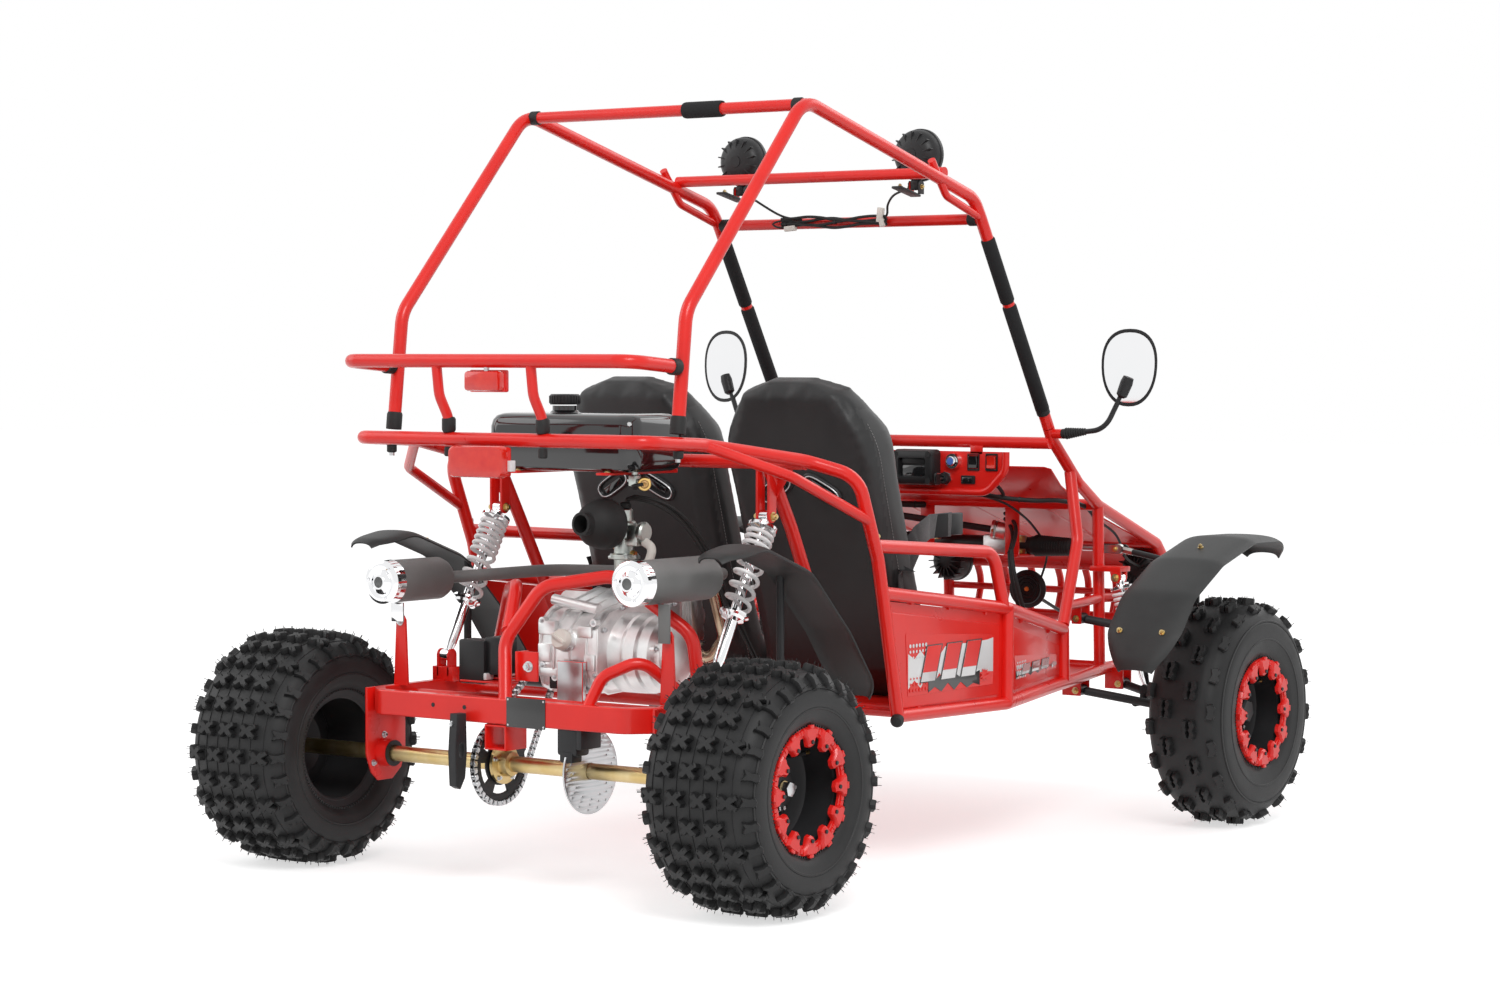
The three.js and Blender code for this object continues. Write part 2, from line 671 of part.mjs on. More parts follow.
const lampEarFoot = bracketMid[1] - (roofLamp.y - bracketMid[0]) * Math.tan(bracketSlope);
const lampEarOffset = roofLamp.lugWidth / 2 + earGap + roofLamp.earThickness / 2;
const lampEarHigh = lampPivotZ + roofLamp.earThickness + 1;
const lampEarWidth = eyeRadius * 1.4;
const lampSides = 10;
for (const way of [-1, 1]) {
  cageSide.push(
    block(roofLamp.x + way * lampEarOffset, roofLamp.y, (lampEarHigh + lampEarFoot) / 2,
      roofLamp.earThickness,
      lampEarWidth, lampEarHigh - lampEarFoot),
  );
}
cageSide.push(
  block(roofLamp.x, roofLamp.y, lampEarFoot + earThickness / 2,
    (lampEarOffset + roofLamp.earThickness / 2) * 2,
    eyeRadius * 2, earThickness),
  cylinderX(roofLamp.x - lampEarOffset, roofLamp.x + lampEarOffset, roofLamp.y, lampPivotZ, eyePin * 0.6),
);
add(
  "roll_cage",
  join([
    ...cageSide,
    ...cageSide.map(mirrored),
    across([[cageHalf, cage.rearBar[1], cage.rearBar[2]]], pipe * 0.9),
    across([[cageHalf, cage.lampBar[1], cage.lampBar[2]]], pipe * 0.9),
    across([[cageHalf, cage.brow[1], cage.brow[2]]], pipe * 0.9),
  ]),
  "red",
);

const postY = cage.foot[1] + ((cage.knee[1] - cage.foot[1]) * (rack.side[2] - cage.foot[2])) / (cage.knee[2] - cage.foot[2]);
const rackEnd = [rack.side[0] - 1, postY - pipe - gap - 1, rack.side[2]];
const rackPieces = [across([rack.rear, [rack.side[0], rack.rear[1] + 2, rack.rear[2]], rackEnd], pipe,
  rack.bend)];
const picketFoot = ring.rear[2] + pipe * 0.95 + gap;
for (const x of [-picket.x, picket.x]) {
  rackPieces.push(
    tube([[x, picket.topY, picket.topZ], [x, picket.topY + 8, picket.kneeZ],
      [x, picket.footY, picketFoot + pipe * 2],
      [x, picket.footY, picketFoot]], picket.radius),
  );
}
const reflector = { x: 9, y: -115, z: 926, width: 84, height: 38, depth: 8, stem: 5 };
rackPieces.push(
  block(reflector.x, reflector.y, reflector.z, reflector.width, reflector.depth, reflector.height),
  cylinderZ(reflector.x, (reflector.y + rack.rear[1]) / 2, reflector.z, rack.rear[2], reflector.stem,
    pipeSides),
);
add("rear_rack", join(rackPieces), "red");

for (const [name, way] of [["roof_lamp_left", -1], ["roof_lamp_right", 1]]) {
  const halfDepth = roofLamp.depth / 2;
  const lampRows = [
    [-halfDepth, 0], [-halfDepth, roofLamp.radius * 0.72], [halfDepth * 0.2, roofLamp.radius], [halfDepth,
      roofLamp.radius], [halfDepth, 0],
  ];
  const lampBody = turned(lampRows, 0, 0, 0, lampSides).rotateZ(Math.PI / 2).translate(
    way * roofLamp.x, roofLamp.y, roofLamp.z);
  const lug = block(way * roofLamp.x, roofLamp.y, lampPivotZ + eyeRadius * 0.8, roofLamp.lugWidth,
    eyeRadius * 1.6,
    eyeRadius * 3.2);
  const lugBore = cylinderX(way * roofLamp.x - roofLamp.lugWidth, way * roofLamp.x + roofLamp.lugWidth,
    roofLamp.y,
    lampPivotZ, boreFor(eyePin * 0.6));
  add(name, cut(join([lampBody, lug]), [lugBore]), "black");
}

// Tank, cap, seats, dash and the small controls.

const tankSection = new THREE.Shape(
  roundedRows(0, 0, tank.height, tank.width, tank.corner, 2).map(([a, b]) => new THREE.Vector2(a, b)),
);
const tankBody = swept(tankSection, [[-tank.length / 2, tank.y, tank.z],
  [tank.length / 2, tank.y, tank.z]]);
const tankPlan = levelPlate(roundedRows(0, tank.y, tank.length, tank.width * 1.5, tank.corner * 1.2, 2),
  tank.z,
  tank.height * 2);
const neck = { radius: 24, height: 14, capRadius: 30, capHeight: 20, bore: 17 };
const tankTop = tank.z + tank.height / 2;
const tankNeck = cylinderZ(tank.capX, tank.y, tankTop - neck.height, tankTop + neck.height, neck.radius,
  12);
add("fuel_tank", join([common(tankBody, tankPlan), tankNeck]), "black");
const capLow = tankTop + neck.height + gap;
add("fuel_cap", cylinderZ(tank.capX, tank.y, capLow, capLow + neck.capHeight, neck.capRadius, 12), "black");

// A seat is one bucket section swept from the top of the back down to the front lip, with a round head.
function bucketSeat(x) {
  const half = seat.width / 2;
  const inner = half - seat.bolsterWidth;
  const section = new THREE.Shape(
    [
      [-half, seat.base * 0.3], [-half * 0.9, 0], [half * 0.9, 0], [half, seat.base * 0.3], [half,
        seat.bolster * 0.8],
      [half - seat.bolsterWidth * 0.4, seat.bolster], [inner, seat.base], [0, seat.base * 0.86], [-inner,
        seat.base],
      [-half + seat.bolsterWidth * 0.4, seat.bolster], [-half, seat.bolster * 0.8],
    ].map(([a, b]) => new THREE.Vector2(a, b)),
  );
  const body = swept(section, seat.rows.map(([y, z]) => [x, y, z]), seat.bend);
  const top = seat.rows[0][1];
  const head = half * 0.78;
  const outline = [
    [x - half * 1.1, floor.z + floor.thickness / 2 + gap], [x + half * 1.1,
      floor.z + floor.thickness / 2 + gap],
    [x + half * 1.1, top - head * 1.5], [x + head, top - head * 0.66], [x + head * 0.72, top - head * 0.16],
    [x + head * 0.3, top], [x - head * 0.3, top], [x - head * 0.72, top - head * 0.16],
    [x - head, top - head * 0.66], [x - half * 1.1, top - head * 1.5],
  ];
  const front = seat.rows[seat.rows.length - 1][0];
  return common(body, facePlate(outline, (seat.rows[0][0] + front) / 2, front));
}
add("seat_left", bucketSeat(-seat.x), "vinyl");
add("seat_right", bucketSeat(seat.x), "vinyl");

const dashRows = [
  [-dash.half, dash.top], [-dash.half, dash.low + dash.corner], [-dash.half + dash.corner, dash.low],
  [dash.half - dash.corner, dash.low], [dash.half, dash.low + dash.corner], [dash.half, dash.top],
];
const housing = { x: 19, z: 737, width: 104, height: 76, depth: 34, wall: 10 };
const dashFace = dash.y - dash.thickness / 2;
const rockerDepth = 12;
const dashPieces = [
  facePlate(dashRows, dash.y, dash.thickness),
  tube(dashRows.map(([x, z]) => [x, dash.y, z]), dash.edge),
  block(housing.x, dashFace - housing.depth / 2 + 1, housing.z, housing.width, housing.depth + 2,
    housing.height),
];
const dashBarLow = dashBar.z - pipe * Math.cos(Math.PI / pipeSides) - gap;
const tabHeight = dashBarLow - dash.top + dash.edge / 2;
const dashTabs = [-dash.half * 0.7, dash.half * 0.7].map((x) =>
  block(x, (dash.y + dashBar.y) / 2, dashBarLow - tabHeight / 2, pipe * 2,
    dashBar.y - dash.y + dash.thickness, tabHeight));
const [startX, startZ, startRadius] = controls.start;
const [keyX, keyZ, keyRadius] = controls.key;
const barrel = { start: 14, key: 16, wall: 4, keyShaft: 4 };
dashPieces.push(
  ...dashTabs,
  cylinderY(startX, dashFace - barrel.start, dashFace + 1, startZ, startRadius + barrel.wall, 8),
  cylinderY(keyX, dashFace - barrel.key, dashFace + 1, keyZ, keyRadius + 2, 8),
);
const dashCuts = [
  cylinderY(startX, dashFace - barrel.start * 2, dash.y + dash.edge, startZ, seatFor(startRadius - 3, 8),
    8),
  cylinderY(keyX, dashFace - barrel.key * 2, dashFace - barrel.key / 2, keyZ, boreFor(barrel.keyShaft, 6),
    6),
  block(housing.x, dashFace - housing.depth, housing.z, housing.width - housing.wall * 3, housing.depth,
    housing.height - housing.wall * 2),
];
for (const x of [controls.rockerX, controls.killX]) {
  dashPieces.push(
    block(x, dashFace - rockerDepth / 4, controls.rockerZ, controls.rockerWidth + 8, rockerDepth / 2 + 2,
      controls.rockerHeight + 8),
  );
  dashCuts.push(block(x, dashFace, controls.rockerZ, controls.rockerWidth, rockerDepth * 3,
    controls.rockerHeight));
}
dashCuts.push(rod(hub, columnCollar, steer.columnRadius * 1.7, pinSides));
add("dashboard", cut(join(dashPieces), dashCuts), "red");

const startTravel = 4;
add(
  "start_button",
  join([
    cylinderY(startX, dashFace - barrel.start - startTravel, dashFace - barrel.start - startTravel - 5,
      startZ, startRadius, 8),
    cylinderY(startX, dashFace - barrel.start - startTravel - 1, dashFace, startZ, startRadius - 3, 8),
  ]),
  "chrome",
);
const keyFront = dashFace - barrel.key - 2;
add(
  "ignition_key",
  join([
    cylinderY(keyX, keyFront - 6, dashFace - barrel.key / 2 - 1, keyZ, barrel.keyShaft, smallPinSides),
    block(keyX, keyFront - 16, keyZ, 4, 24, 22),
  ]),
  "black",
);
for (const [name, x] of [["light_switch", controls.rockerX], ["kill_switch", controls.killX]]) {
  const room = 1.6;
  const half = controls.rockerHeight / 2 - room;
  const face = dashFace - rockerDepth / 2 - 2;
  add(
    name,
    sidePlate(
      [[face + 12, controls.rockerZ - half * 0.5], [face + 12, controls.rockerZ + half * 0.5],
        [face, controls.rockerZ + half], [face + 2, controls.rockerZ], [face, controls.rockerZ - half]],
      x, controls.rockerWidth - room,
    ),
    name === "kill_switch" ? "lens" : "black",
  );
}

const lens = facePlate(roundedRows(tail.x, tail.z, tail.width, tail.height, 14, 2), tail.y, tail.depth);
const lampStay = block(tail.x, (tail.y + ring.rear[1]) / 2, tail.z, 40, tail.depth, 8);
const stayTop = ring.rear[2] - pipe - gap;
add(
  "tail_light",
  join([lens, lampStay, block(tail.x, ring.rear[1], (tail.z + stayTop) / 2 - 2, 40, 5,
    stayTop - tail.z + 4)]),
  "lens",
);

// Mirrors: a boss that turns on the frame's stub, a bent stalk and the head.
for (const [name, flip] of [["mirror_left", mirrored], ["mirror_right", (g) => g]]) {
  const [bx, by, bz] = mirror.base;
  const headRows = [];
  const outlineShares = [[-0.5, 0.1], [-0.34, -0.4], [-0.06, -0.5], [0.42, -0.24], [0.5, 0.16],
    [0.36, 0.44],
    [0.1, 0.5], [-0.36, 0.4]];
  for (const [a, b] of outlineShares) headRows.push([mirror.head[0] + a * mirror.width,
    mirror.head[2] + b * mirror.height]);
  add(
    name,
    flip(
      join([
        cylinderX(bx, bx + 32, by, bz, slimPipe + 3),
        tube([[bx + 20, by, bz], mirror.elbow, [mirror.head[0], mirror.head[1] + 8, mirror.head[2] - 30]],
          5, 20),
        facePlate(headRows, mirror.head[1], 14),
      ]),
    ),
    "black",
  );
}

// Steering, from the wheel to the rods.

const rim = new THREE.TorusGeometry(steer.rimRadius, steer.rimPipe, 5, 15);
const wheelTurn = new THREE.Matrix4().makeRotationX(-(Math.PI / 2) - tilt);
rim.applyMatrix4(wheelTurn).translate(...hub);
const spokeWays = [30, 150, 270].map((a) => {
  const p = new THREE.Vector3(Math.cos(a * degrees), Math.sin(a * degrees), 0).applyMatrix4(wheelTurn);
  return along(hub, p.toArray(), steer.rimRadius);
});
const hubBack = along(hub, columnWay, steer.hubDepth);
const joint = along(hub, columnWay, steer.jointDistance);
const jointBall = 15;
const columnEnd = along(joint, columnWay, -jointBall / 2);
add(
  "steering_wheel",
  join([
    rim,
    ...spokeWays.map((p) => rod(along(hub, columnWay, 6), p, 9)),
    rod(along(hub, columnWay, -8), hubBack, 32, 12),
    rod(along(hub, columnWay, 10), columnEnd, steer.columnRadius, smallPinSides),
    new THREE.SphereGeometry(jointBall, 6, 4).translate(...joint),
  ]),
  "black",
);
const pinionTop = [steer.pinionX - 6, steer.rackY - 30, steer.rackZ + 34];
const shaftWay = vec(pinionTop).sub(vec(joint)).normalize().toArray();
const shaftLength = vec(pinionTop).distanceTo(vec(joint));
const shaftLow = along(joint, shaftWay, jointBall + gap);
const shaftHigh = along(joint, shaftWay, shaftLength + 5);
const shaftRadius = steer.columnRadius - 1;
add(
  "steering_shaft",
  join([
    rod(shaftLow, shaftHigh, shaftRadius, smallPinSides),
    rod(shaftLow, along(shaftLow, shaftWay, 26), shaftRadius + 6, pinSides),
  ]),
  "black",
);
const housingBore = seatFor(rackBar.radius);
const pinionBoss = along(pinionTop, shaftWay, gap);
const pinionFoot = along(pinionTop, shaftWay, 34);
let rackHousing = join([
  cylinderX(-rackBar.bellowsStart, rackBar.bellowsStart, steer.rackY, steer.rackZ, housingRadius,
    housingSides),
  rod(pinionBoss, pinionFoot, 22, 8),
  block(steer.pinionX, steer.rackY, steer.rackZ, 74, 44, 46),
]);
const ribs = 3;
const bellowsRows = [[rackBar.bellowsStart - 1, 0], [rackBar.bellowsStart - 1, rackBar.bellowsRadius]];
for (let i = 0; i < ribs; i += 1) {
  const at = rackBar.bellowsStart + ((rackBar.bellowsEnd - rackBar.bellowsStart) * (i + 0.5)) / ribs;
  bellowsRows.push([at, i % 2 ? rackBar.bellowsRadius : rackBar.bellowsRadius + 5]);
}
bellowsRows.push([rackBar.bellowsEnd, rackBar.bellowsRadius - 6], [rackBar.bellowsEnd, 0]);
const bellows = turned(bellowsRows, 0, steer.rackY, steer.rackZ, 8);
rackHousing = cut(join([rackHousing, bellows, mirrored(bellows)]), [
  cylinderX(-rackBar.half, rackBar.half, steer.rackY, steer.rackZ, housingBore),
  rod(along(pinionTop, shaftWay, -10), along(pinionTop, shaftWay, 6), boreFor(shaftRadius), pinSides),
]);
add("steering_box", rackHousing, "black");

const tieInner = [armOuterX - wishbone.reach, steer.rackY, steer.rackZ];
const tieOuter = [armOuterX, steer.rackY, steer.rackZ - wishbone.drop];
const tieBall = 11;
add(
  "rack_bar",
  join([
    cylinderX(-rackBar.half, rackBar.half, steer.rackY, steer.rackZ, rackBar.radius),
    ...both(
      join([
        block(rackBar.half + 6, steer.rackY, steer.rackZ, 16, 32, 20),
        block(tieInner[0] - 15, steer.rackY - 13.5, steer.rackZ, 66, 5, 20),
        block(tieInner[0] - 15, steer.rackY + 13.5, steer.rackZ, 66, 5, 20),
        cylinderY(tieInner[0], steer.rackY - 16, steer.rackY + 16, steer.rackZ, 4),
      ]),
    ),
  ]),
  "alloy",
);
const armTop = tieOuter[2] - tieBall - gap;
function tieRod() {
  return cut(
    join([
      rod(tieInner, tieOuter, 7, pipeSides),
      cylinderY(tieInner[0], steer.rackY - 10, steer.rackY + 10, steer.rackZ, tieBall),
      new THREE.SphereGeometry(tieBall, 5, 3).rotateX(Math.PI / 2).translate(...tieOuter),
    ]),
    [cylinderY(tieInner[0], steer.rackY - 30, steer.rackY + 30, steer.rackZ, boreFor(4))],
  );
}
add("tie_rod_left", mirrored(tieRod()), "black");
add("tie_rod_right", tieRod(), "black");

for (const [name, x] of [["brake_pedal", pedal.brakeX], ["throttle_pedal", pedal.throttleX]]) {
  const bossRadius = boreFor(pedalTube.radius) + 4;
  add(
    name,
    cut(
      join([
        cylinderX(x - 14, x + 14, pedal.pivotY, pedal.pivotZ, bossRadius),
        rod([x, pedal.pivotY, pedal.pivotZ + 6], [x, pedal.pivotY - 24, pedal.pivotZ + pedal.height], 6),
        block(x, pedal.pivotY - 28, pedal.pivotZ + pedal.height, pedal.width, 8, 46),
      ]),
      [cylinderX(x - 40, x + 40, pedal.pivotY, pedal.pivotZ, boreFor(pedalTube.radius))],
    ),
    "black",
  );
}

// Front suspension and front wheels. Each piece is made for the right side and mirrored.

const sides = [["left", mirrored], ["right", (g) => g]];
const addPair = (name, geometry, finish) => {
  for (const [side, flip] of sides) add(name + "_" + side, flip(geometry), finish);
};

// The carrier's two eyes turn on the wishbones' outer pins.
const carrierEye = { width: 24, radius: 11 };
const outerPin = wishbone.pin;
const forkReach = carrierEye.width / 2 + earGap + earThickness + wishbone.tube / 2;

function wishboneSolid(innerZ, outerZ, extra = []) {
  const outer = [armOuterX, kingpin.y, outerZ];
  const forkInside = carrierEye.width / 2 + earGap;
  const pieces = [];
  const bores = [];
  for (const [y, way] of [[wishbone.rearY, -1], [wishbone.frontY, 1]]) {
    const half = wishbone.bushLength / 2;
    const forkY = kingpin.y + way * (forkInside + earThickness / 2);
    pieces.push(
      cylinderY(wishbone.innerX, y - half, y + half, innerZ, wishbone.bush, pinSides),
      rod([wishbone.innerX, y, innerZ], [armOuterX, kingpin.y + way * forkReach, outerZ], wishbone.tube),
      block(armOuterX - 1, forkY, outerZ, 22, earThickness, 18),
    );
    bores.push(cylinderY(wishbone.innerX, y - half * 2, y + half * 2, innerZ, boreFor(wishbone.pin)));
  }
  pieces.push(
    cylinderY(outer[0], kingpin.y - forkInside - earThickness, kingpin.y + forkInside + earThickness,
      outerZ, outerPin),
    ...extra,
  );
  return cut(join(pieces), bores);
}
const crossAt = (x) => {
  const share = (x - wishbone.innerX) / wishbone.reach;
  return {
    z: wishbone.lowerZ - wishbone.drop * share,
    rear: wishbone.rearY + (kingpin.y - forkReach - wishbone.rearY) * share,
    front: wishbone.frontY + (kingpin.y + forkReach - wishbone.frontY) * share,
  };
};
const mountCross = crossAt(frontShock.lowerX);
const shockSeat = [frontShock.lowerX, frontShock.top[1], frontShock.lowerZ];
addPair(
  "lower_arm",
  wishboneSolid(wishbone.lowerZ, lowerOuterZ, [
    rod([frontShock.lowerX, mountCross.rear, mountCross.z - 4],
      [frontShock.lowerX, mountCross.front, mountCross.z - 4], wishbone.tube),
    ...clevis(shockSeat, "y", eyeWidth, eyeRadius - 2, shockSeat[2] - mountCross.z + eyeRadius + 4, true),
  ]),
  "black",
);
addPair("upper_arm", wishboneSolid(wishbone.upperZ, upperOuterZ), "black");

const carrierBores = [
  cylinderY(armOuterX, kingpin.y - 30, kingpin.y + 30, lowerOuterZ, boreFor(outerPin)),
  cylinderY(armOuterX, kingpin.y - 30, kingpin.y + 30, upperOuterZ, boreFor(outerPin)),
  cylinderZ(kingpin.x, kingpin.y, kingpin.low - 20, kingpin.high + 20, boreFor(kingpin.radius)),
];
const eyeHalf = carrierEye.width / 2;
addPair(
  "kingpin_carrier",
  cut(
    join([
      cylinderY(armOuterX, kingpin.y - eyeHalf, kingpin.y + eyeHalf, lowerOuterZ, carrierEye.radius),
      cylinderY(armOuterX, kingpin.y - eyeHalf, kingpin.y + eyeHalf, upperOuterZ, carrierEye.radius),
      cylinderZ(kingpin.x, kingpin.y, kingpin.low, kingpin.high, kingpin.tube, 8),
      block(armOuterX, kingpin.y, (lowerOuterZ + upperOuterZ) / 2, 10, eyeHalf * 2 - 4,
        upperOuterZ - lowerOuterZ - carrierEye.radius),
      block((armOuterX + kingpin.x) / 2, kingpin.y, (kingpin.low + kingpin.high) / 2,
        kingpin.x - armOuterX, 12,
        kingpin.high - kingpin.low - 6),
    ]),
    carrierBores,
  ),
  "black",
);

const yoke = { plate: 8, inner: kingpin.x - 9, outer: 584, clear: 0.6 };
const stub = { radius: 10, end: frontX + 12 };
const fenderMid = frontFender.rows[3];
const stayFoot = [kingpin.x, kingpin.y - 44, kingpin.high + yoke.plate / 2];
const stayTopZ = fenderMid[1] - frontFender.thickness;
const knucklePieces = [
  cylinderZ(kingpin.x, kingpin.y, kingpin.low - 6, kingpin.high + 6, kingpin.radius),
  block((yoke.inner + yoke.outer) / 2, kingpin.y, kingpin.high + yoke.clear + yoke.plate / 2,
    yoke.outer - yoke.inner, 34, yoke.plate),
  block((yoke.inner + yoke.outer) / 2, kingpin.y, kingpin.low - yoke.clear - yoke.plate / 2,
    yoke.outer - yoke.inner, 34, yoke.plate),
  block(yoke.outer - yoke.plate / 2, kingpin.y, (kingpin.low + kingpin.high) / 2, yoke.plate, 34,
    kingpin.high - kingpin.low + yoke.plate * 2),
  block(yoke.outer - yoke.plate / 2, kingpin.y, frontZ + 4, yoke.plate, 40, 52),
  cylinderX(yoke.outer - yoke.plate, stub.end, kingpin.y, frontZ, stub.radius, 8),
  tube([[kingpin.x, kingpin.y + 12, kingpin.high + yoke.plate + 2],
    [kingpin.x, kingpin.y + 44, kingpin.high + 22],
    [tieOuter[0] + 4, steer.rackY - 4, kingpin.high + 100], [tieOuter[0] + 4, steer.rackY - 4,
      armTop - 4]], 9),
  cylinderZ(tieOuter[0], steer.rackY, armTop - 12, armTop, tieBall + 2),
  tube([[kingpin.x, kingpin.y - 12, kingpin.high + yoke.plate + 2], stayFoot,
    [kingpin.x - 3, kingpin.y - 74, kingpin.high + 110],
    [kingpin.x, kingpin.y - 74, stayTopZ - 26], [frontX, kingpin.y - 74, stayTopZ - 14]], slimPipe),
];
const fenderUnder = (y) => {
  const rows = frontFender.rows;
  for (let i = 1; i < rows.length; i += 1) {
    if (y <= rows[i][0]) {
      const share = (y - rows[i - 1][0]) / (rows[i][0] - rows[i - 1][0]);
      return rows[i - 1][1] + (rows[i][1] - rows[i - 1][1]) * share - frontFender.thickness / 2;
    }
  }
  return rows[rows.length - 1][1];
};
const padY = kingpin.y - 74;
knucklePieces.push(
  cylinderZ(frontX - 6, padY, stayTopZ - 16, fenderUnder(padY - 9) - gap - 2, 9, slimSides),
);
addPair("knuckle", join(knucklePieces), "black");

// A tyre's half section from its bead to the tread, as shares of half the width and of the radius.
const tyreShares = [[0.74, 0], [1, 0.42], [0.92, 0.8], [0.46, 1]];
const innerShares = [[0.8, 0.9]];
const carcass = 11;
function tyreSolid(w, x, y, z) {
  const half = w.width / 2;
  const depth = w.radius - w.rimRadius;
  const outer = tyreShares.map(([a, b]) => [a * half, w.rimRadius + b * depth]);
  const inner = innerShares.map(([a, b]) => [a * (half - carcass) - gap * 6,
    w.rimRadius + b * (depth - carcass)]);
  const rows = [
    ...outer, ...outer.map(([a, r]) => [-a, r]).reverse(), ...inner.map(([a, r]) => [-a,
      r]), ...inner.reverse(), outer[0],
  ];
  return turned(rows, x, y, z, wheelSides);
}
// A rim's closed section: two flanges, the barrel, and a disc with a hub bore, outboard of the middle.
const rimWall = 5;
const rimSides = 12;
const hubRadius = 42;
function rimSolid(w, x, y, z, bore, discOffset) {
  const half = w.width * 0.36 - 1;
  const seat = w.rimRadius * flatShare - gap;
  const lip = w.rimRadius + 10;
  const lipWay = half + 13;
  const rows = [
    [-lipWay, lip], [-lipWay, seat - rimWall], [discOffset - rimWall, seat - rimWall], [discOffset - 16,
      hubRadius],
    [discOffset - 16, bore], [discOffset + 12, bore], [discOffset + 12, hubRadius * 0.8],
    [discOffset, seat - rimWall], [lipWay, seat - rimWall], [lipWay, lip], [lipWay - 4, seat],
    [-lipWay + 4, seat], [-lipWay, lip],
  ];
  return turned(rows, x, y, z, rimSides);
}
addPair("front_tyre", tyreSolid(frontWheel, frontX, wheelBase, frontZ), "rubber");
addPair("front_rim", rimSolid(frontWheel, frontX, wheelBase, frontZ, boreFor(stub.radius, rimSides), 8),
  "black");

function fenderSolid(f, inner) {
  const outer = inner + f.width;
  const cornerCut = f.width * f.cornerShare;
  const under = f.rows.map(([y, z], i) => {
    const [a, b] = [f.rows[Math.max(i - 1, 0)], f.rows[Math.min(i + 1, f.rows.length - 1)]];
    const long = Math.hypot(b[0] - a[0], b[1] - a[1]);
    return [y + (f.thickness * (b[1] - a[1])) / long, z - (f.thickness * (b[0] - a[0])) / long];
  });
  const strip = sidePlate([...f.rows, ...under.reverse()], (inner + outer) / 2, f.width);
  const first = f.rows[0][0] - f.thickness * 3;
  const last = f.rows[f.rows.length - 1][0] + f.thickness * 3;
  const plan = [
    [inner + cornerCut, first], [outer - cornerCut, first], [outer,
      first + cornerCut * 1.3], [outer, last - cornerCut * 2],
    [outer - cornerCut, last], [inner + cornerCut, last], [inner, last - cornerCut * 2], [inner,
      first + cornerCut * 1.3],
  ];
  const topZ = Math.max(...f.rows.map((row) => row[1]));
  return common(strip, levelPlate(plan, topZ / 2, topZ * 1.2));
}
addPair("front_fender", fenderSolid(frontFender, frontX + frontFender.outset - frontFender.width / 2), "black");

// Rear axle, wheels, sprocket and disc.

const axleSides = 8;
const bearing = { plate: 8, low: 172, rear: -46, front: 62, tube: 27, tubeLength: 26 };
const plateX = swingRailOut + bearing.plate / 2 - 1;
const hubInner = 34;
const discOffset = 22;
const hubStop = rearX + discOffset - 16 - gap;
add(
  "rear_axle",
  join([
    cylinderX(-(rearX + discOffset + axle.hubFace), rearX + discOffset + axle.hubFace, 0, rearZ,
      axle.radius, axleSides),
    ...both(cylinderX(hubStop - hubInner, hubStop, 0, rearZ, hubRadius * 0.7, 8)),
    ...both(cylinderX(plateX + bearing.plate / 2 + gap, plateX + bearing.plate / 2 + axle.collar, 0, rearZ,
      axle.radius + 8, axleSides)),
  ]),
  "zinc",
);
const axleSeat = seatFor(axle.radius, axleSides);
const axleBore = boreFor(axle.radius, axleSides);
function toothedDisc() {
  const shape = new THREE.Shape();
  for (let i = 0; i < sprocket.teeth; i += 1) {
    const step = (2 * Math.PI) / sprocket.teeth;
    const root = sprocket.radius * 0.93;
    const turns = [[i - 0.26, root], [i, sprocket.radius]];
    for (const [at, r] of turns) {
      const [a, b] = [r * Math.cos(at * step), r * Math.sin(at * step)];
      if (i === 0 && at !== 0) shape.moveTo(a, b);
      else shape.lineTo(a, b);
    }
  }
  const plate = new THREE.ExtrudeGeometry(shape, { depth: sprocket.thickness, bevelEnabled: false })
    .rotateY(Math.PI / 2)
    .translate(sprocket.x - sprocket.thickness / 2, 0, rearZ);
  return cut(join([plate, cylinderX(sprocket.x - 14, sprocket.x + 18, 0, rearZ, 30, 12)]), [
    cylinderX(sprocket.x - 40, sprocket.x + 40, 0, rearZ, axleSeat, axleSides),
  ]);
}
add("rear_sprocket", toothedDisc(), "zinc");
const discHoles = [];
for (let i = 0; i < disc.holes; i += 1) {
  const angle = (2 * Math.PI * i) / disc.holes;
  discHoles.push(
    cylinderX(disc.x - 20, disc.x + 20, disc.radius * 0.78 * Math.cos(angle),
      rearZ + disc.radius * 0.78 * Math.sin(angle), 5, 4),
  );
}
add(
  "brake_disc",
  cut(
    join([
      cylinderX(disc.x - disc.thickness / 2, disc.x + disc.thickness / 2, 0, rearZ, disc.radius, 16),
      cylinderX(disc.x - 4, disc.x + 22, 0, rearZ, 30, 12),
    ]),
    [cylinderX(disc.x - 40, disc.x + 40, 0, rearZ, axleSeat, axleSides), ...discHoles],
  ),
  "alloy",
);
addPair("rear_tyre", tyreSolid(rearWheel, rearX, 0, rearZ), "rubber");
addPair("rear_rim", rimSolid(rearWheel, rearX, 0, rearZ, boreFor(axle.radius, rimSides), discOffset),
  "black");

// Swing arm: a rounded channel behind the axle, two rails to the pivot, the axle's bearing plates, the
// engine's hoops,
// the posts for the silencers, the caliper and the receiver.

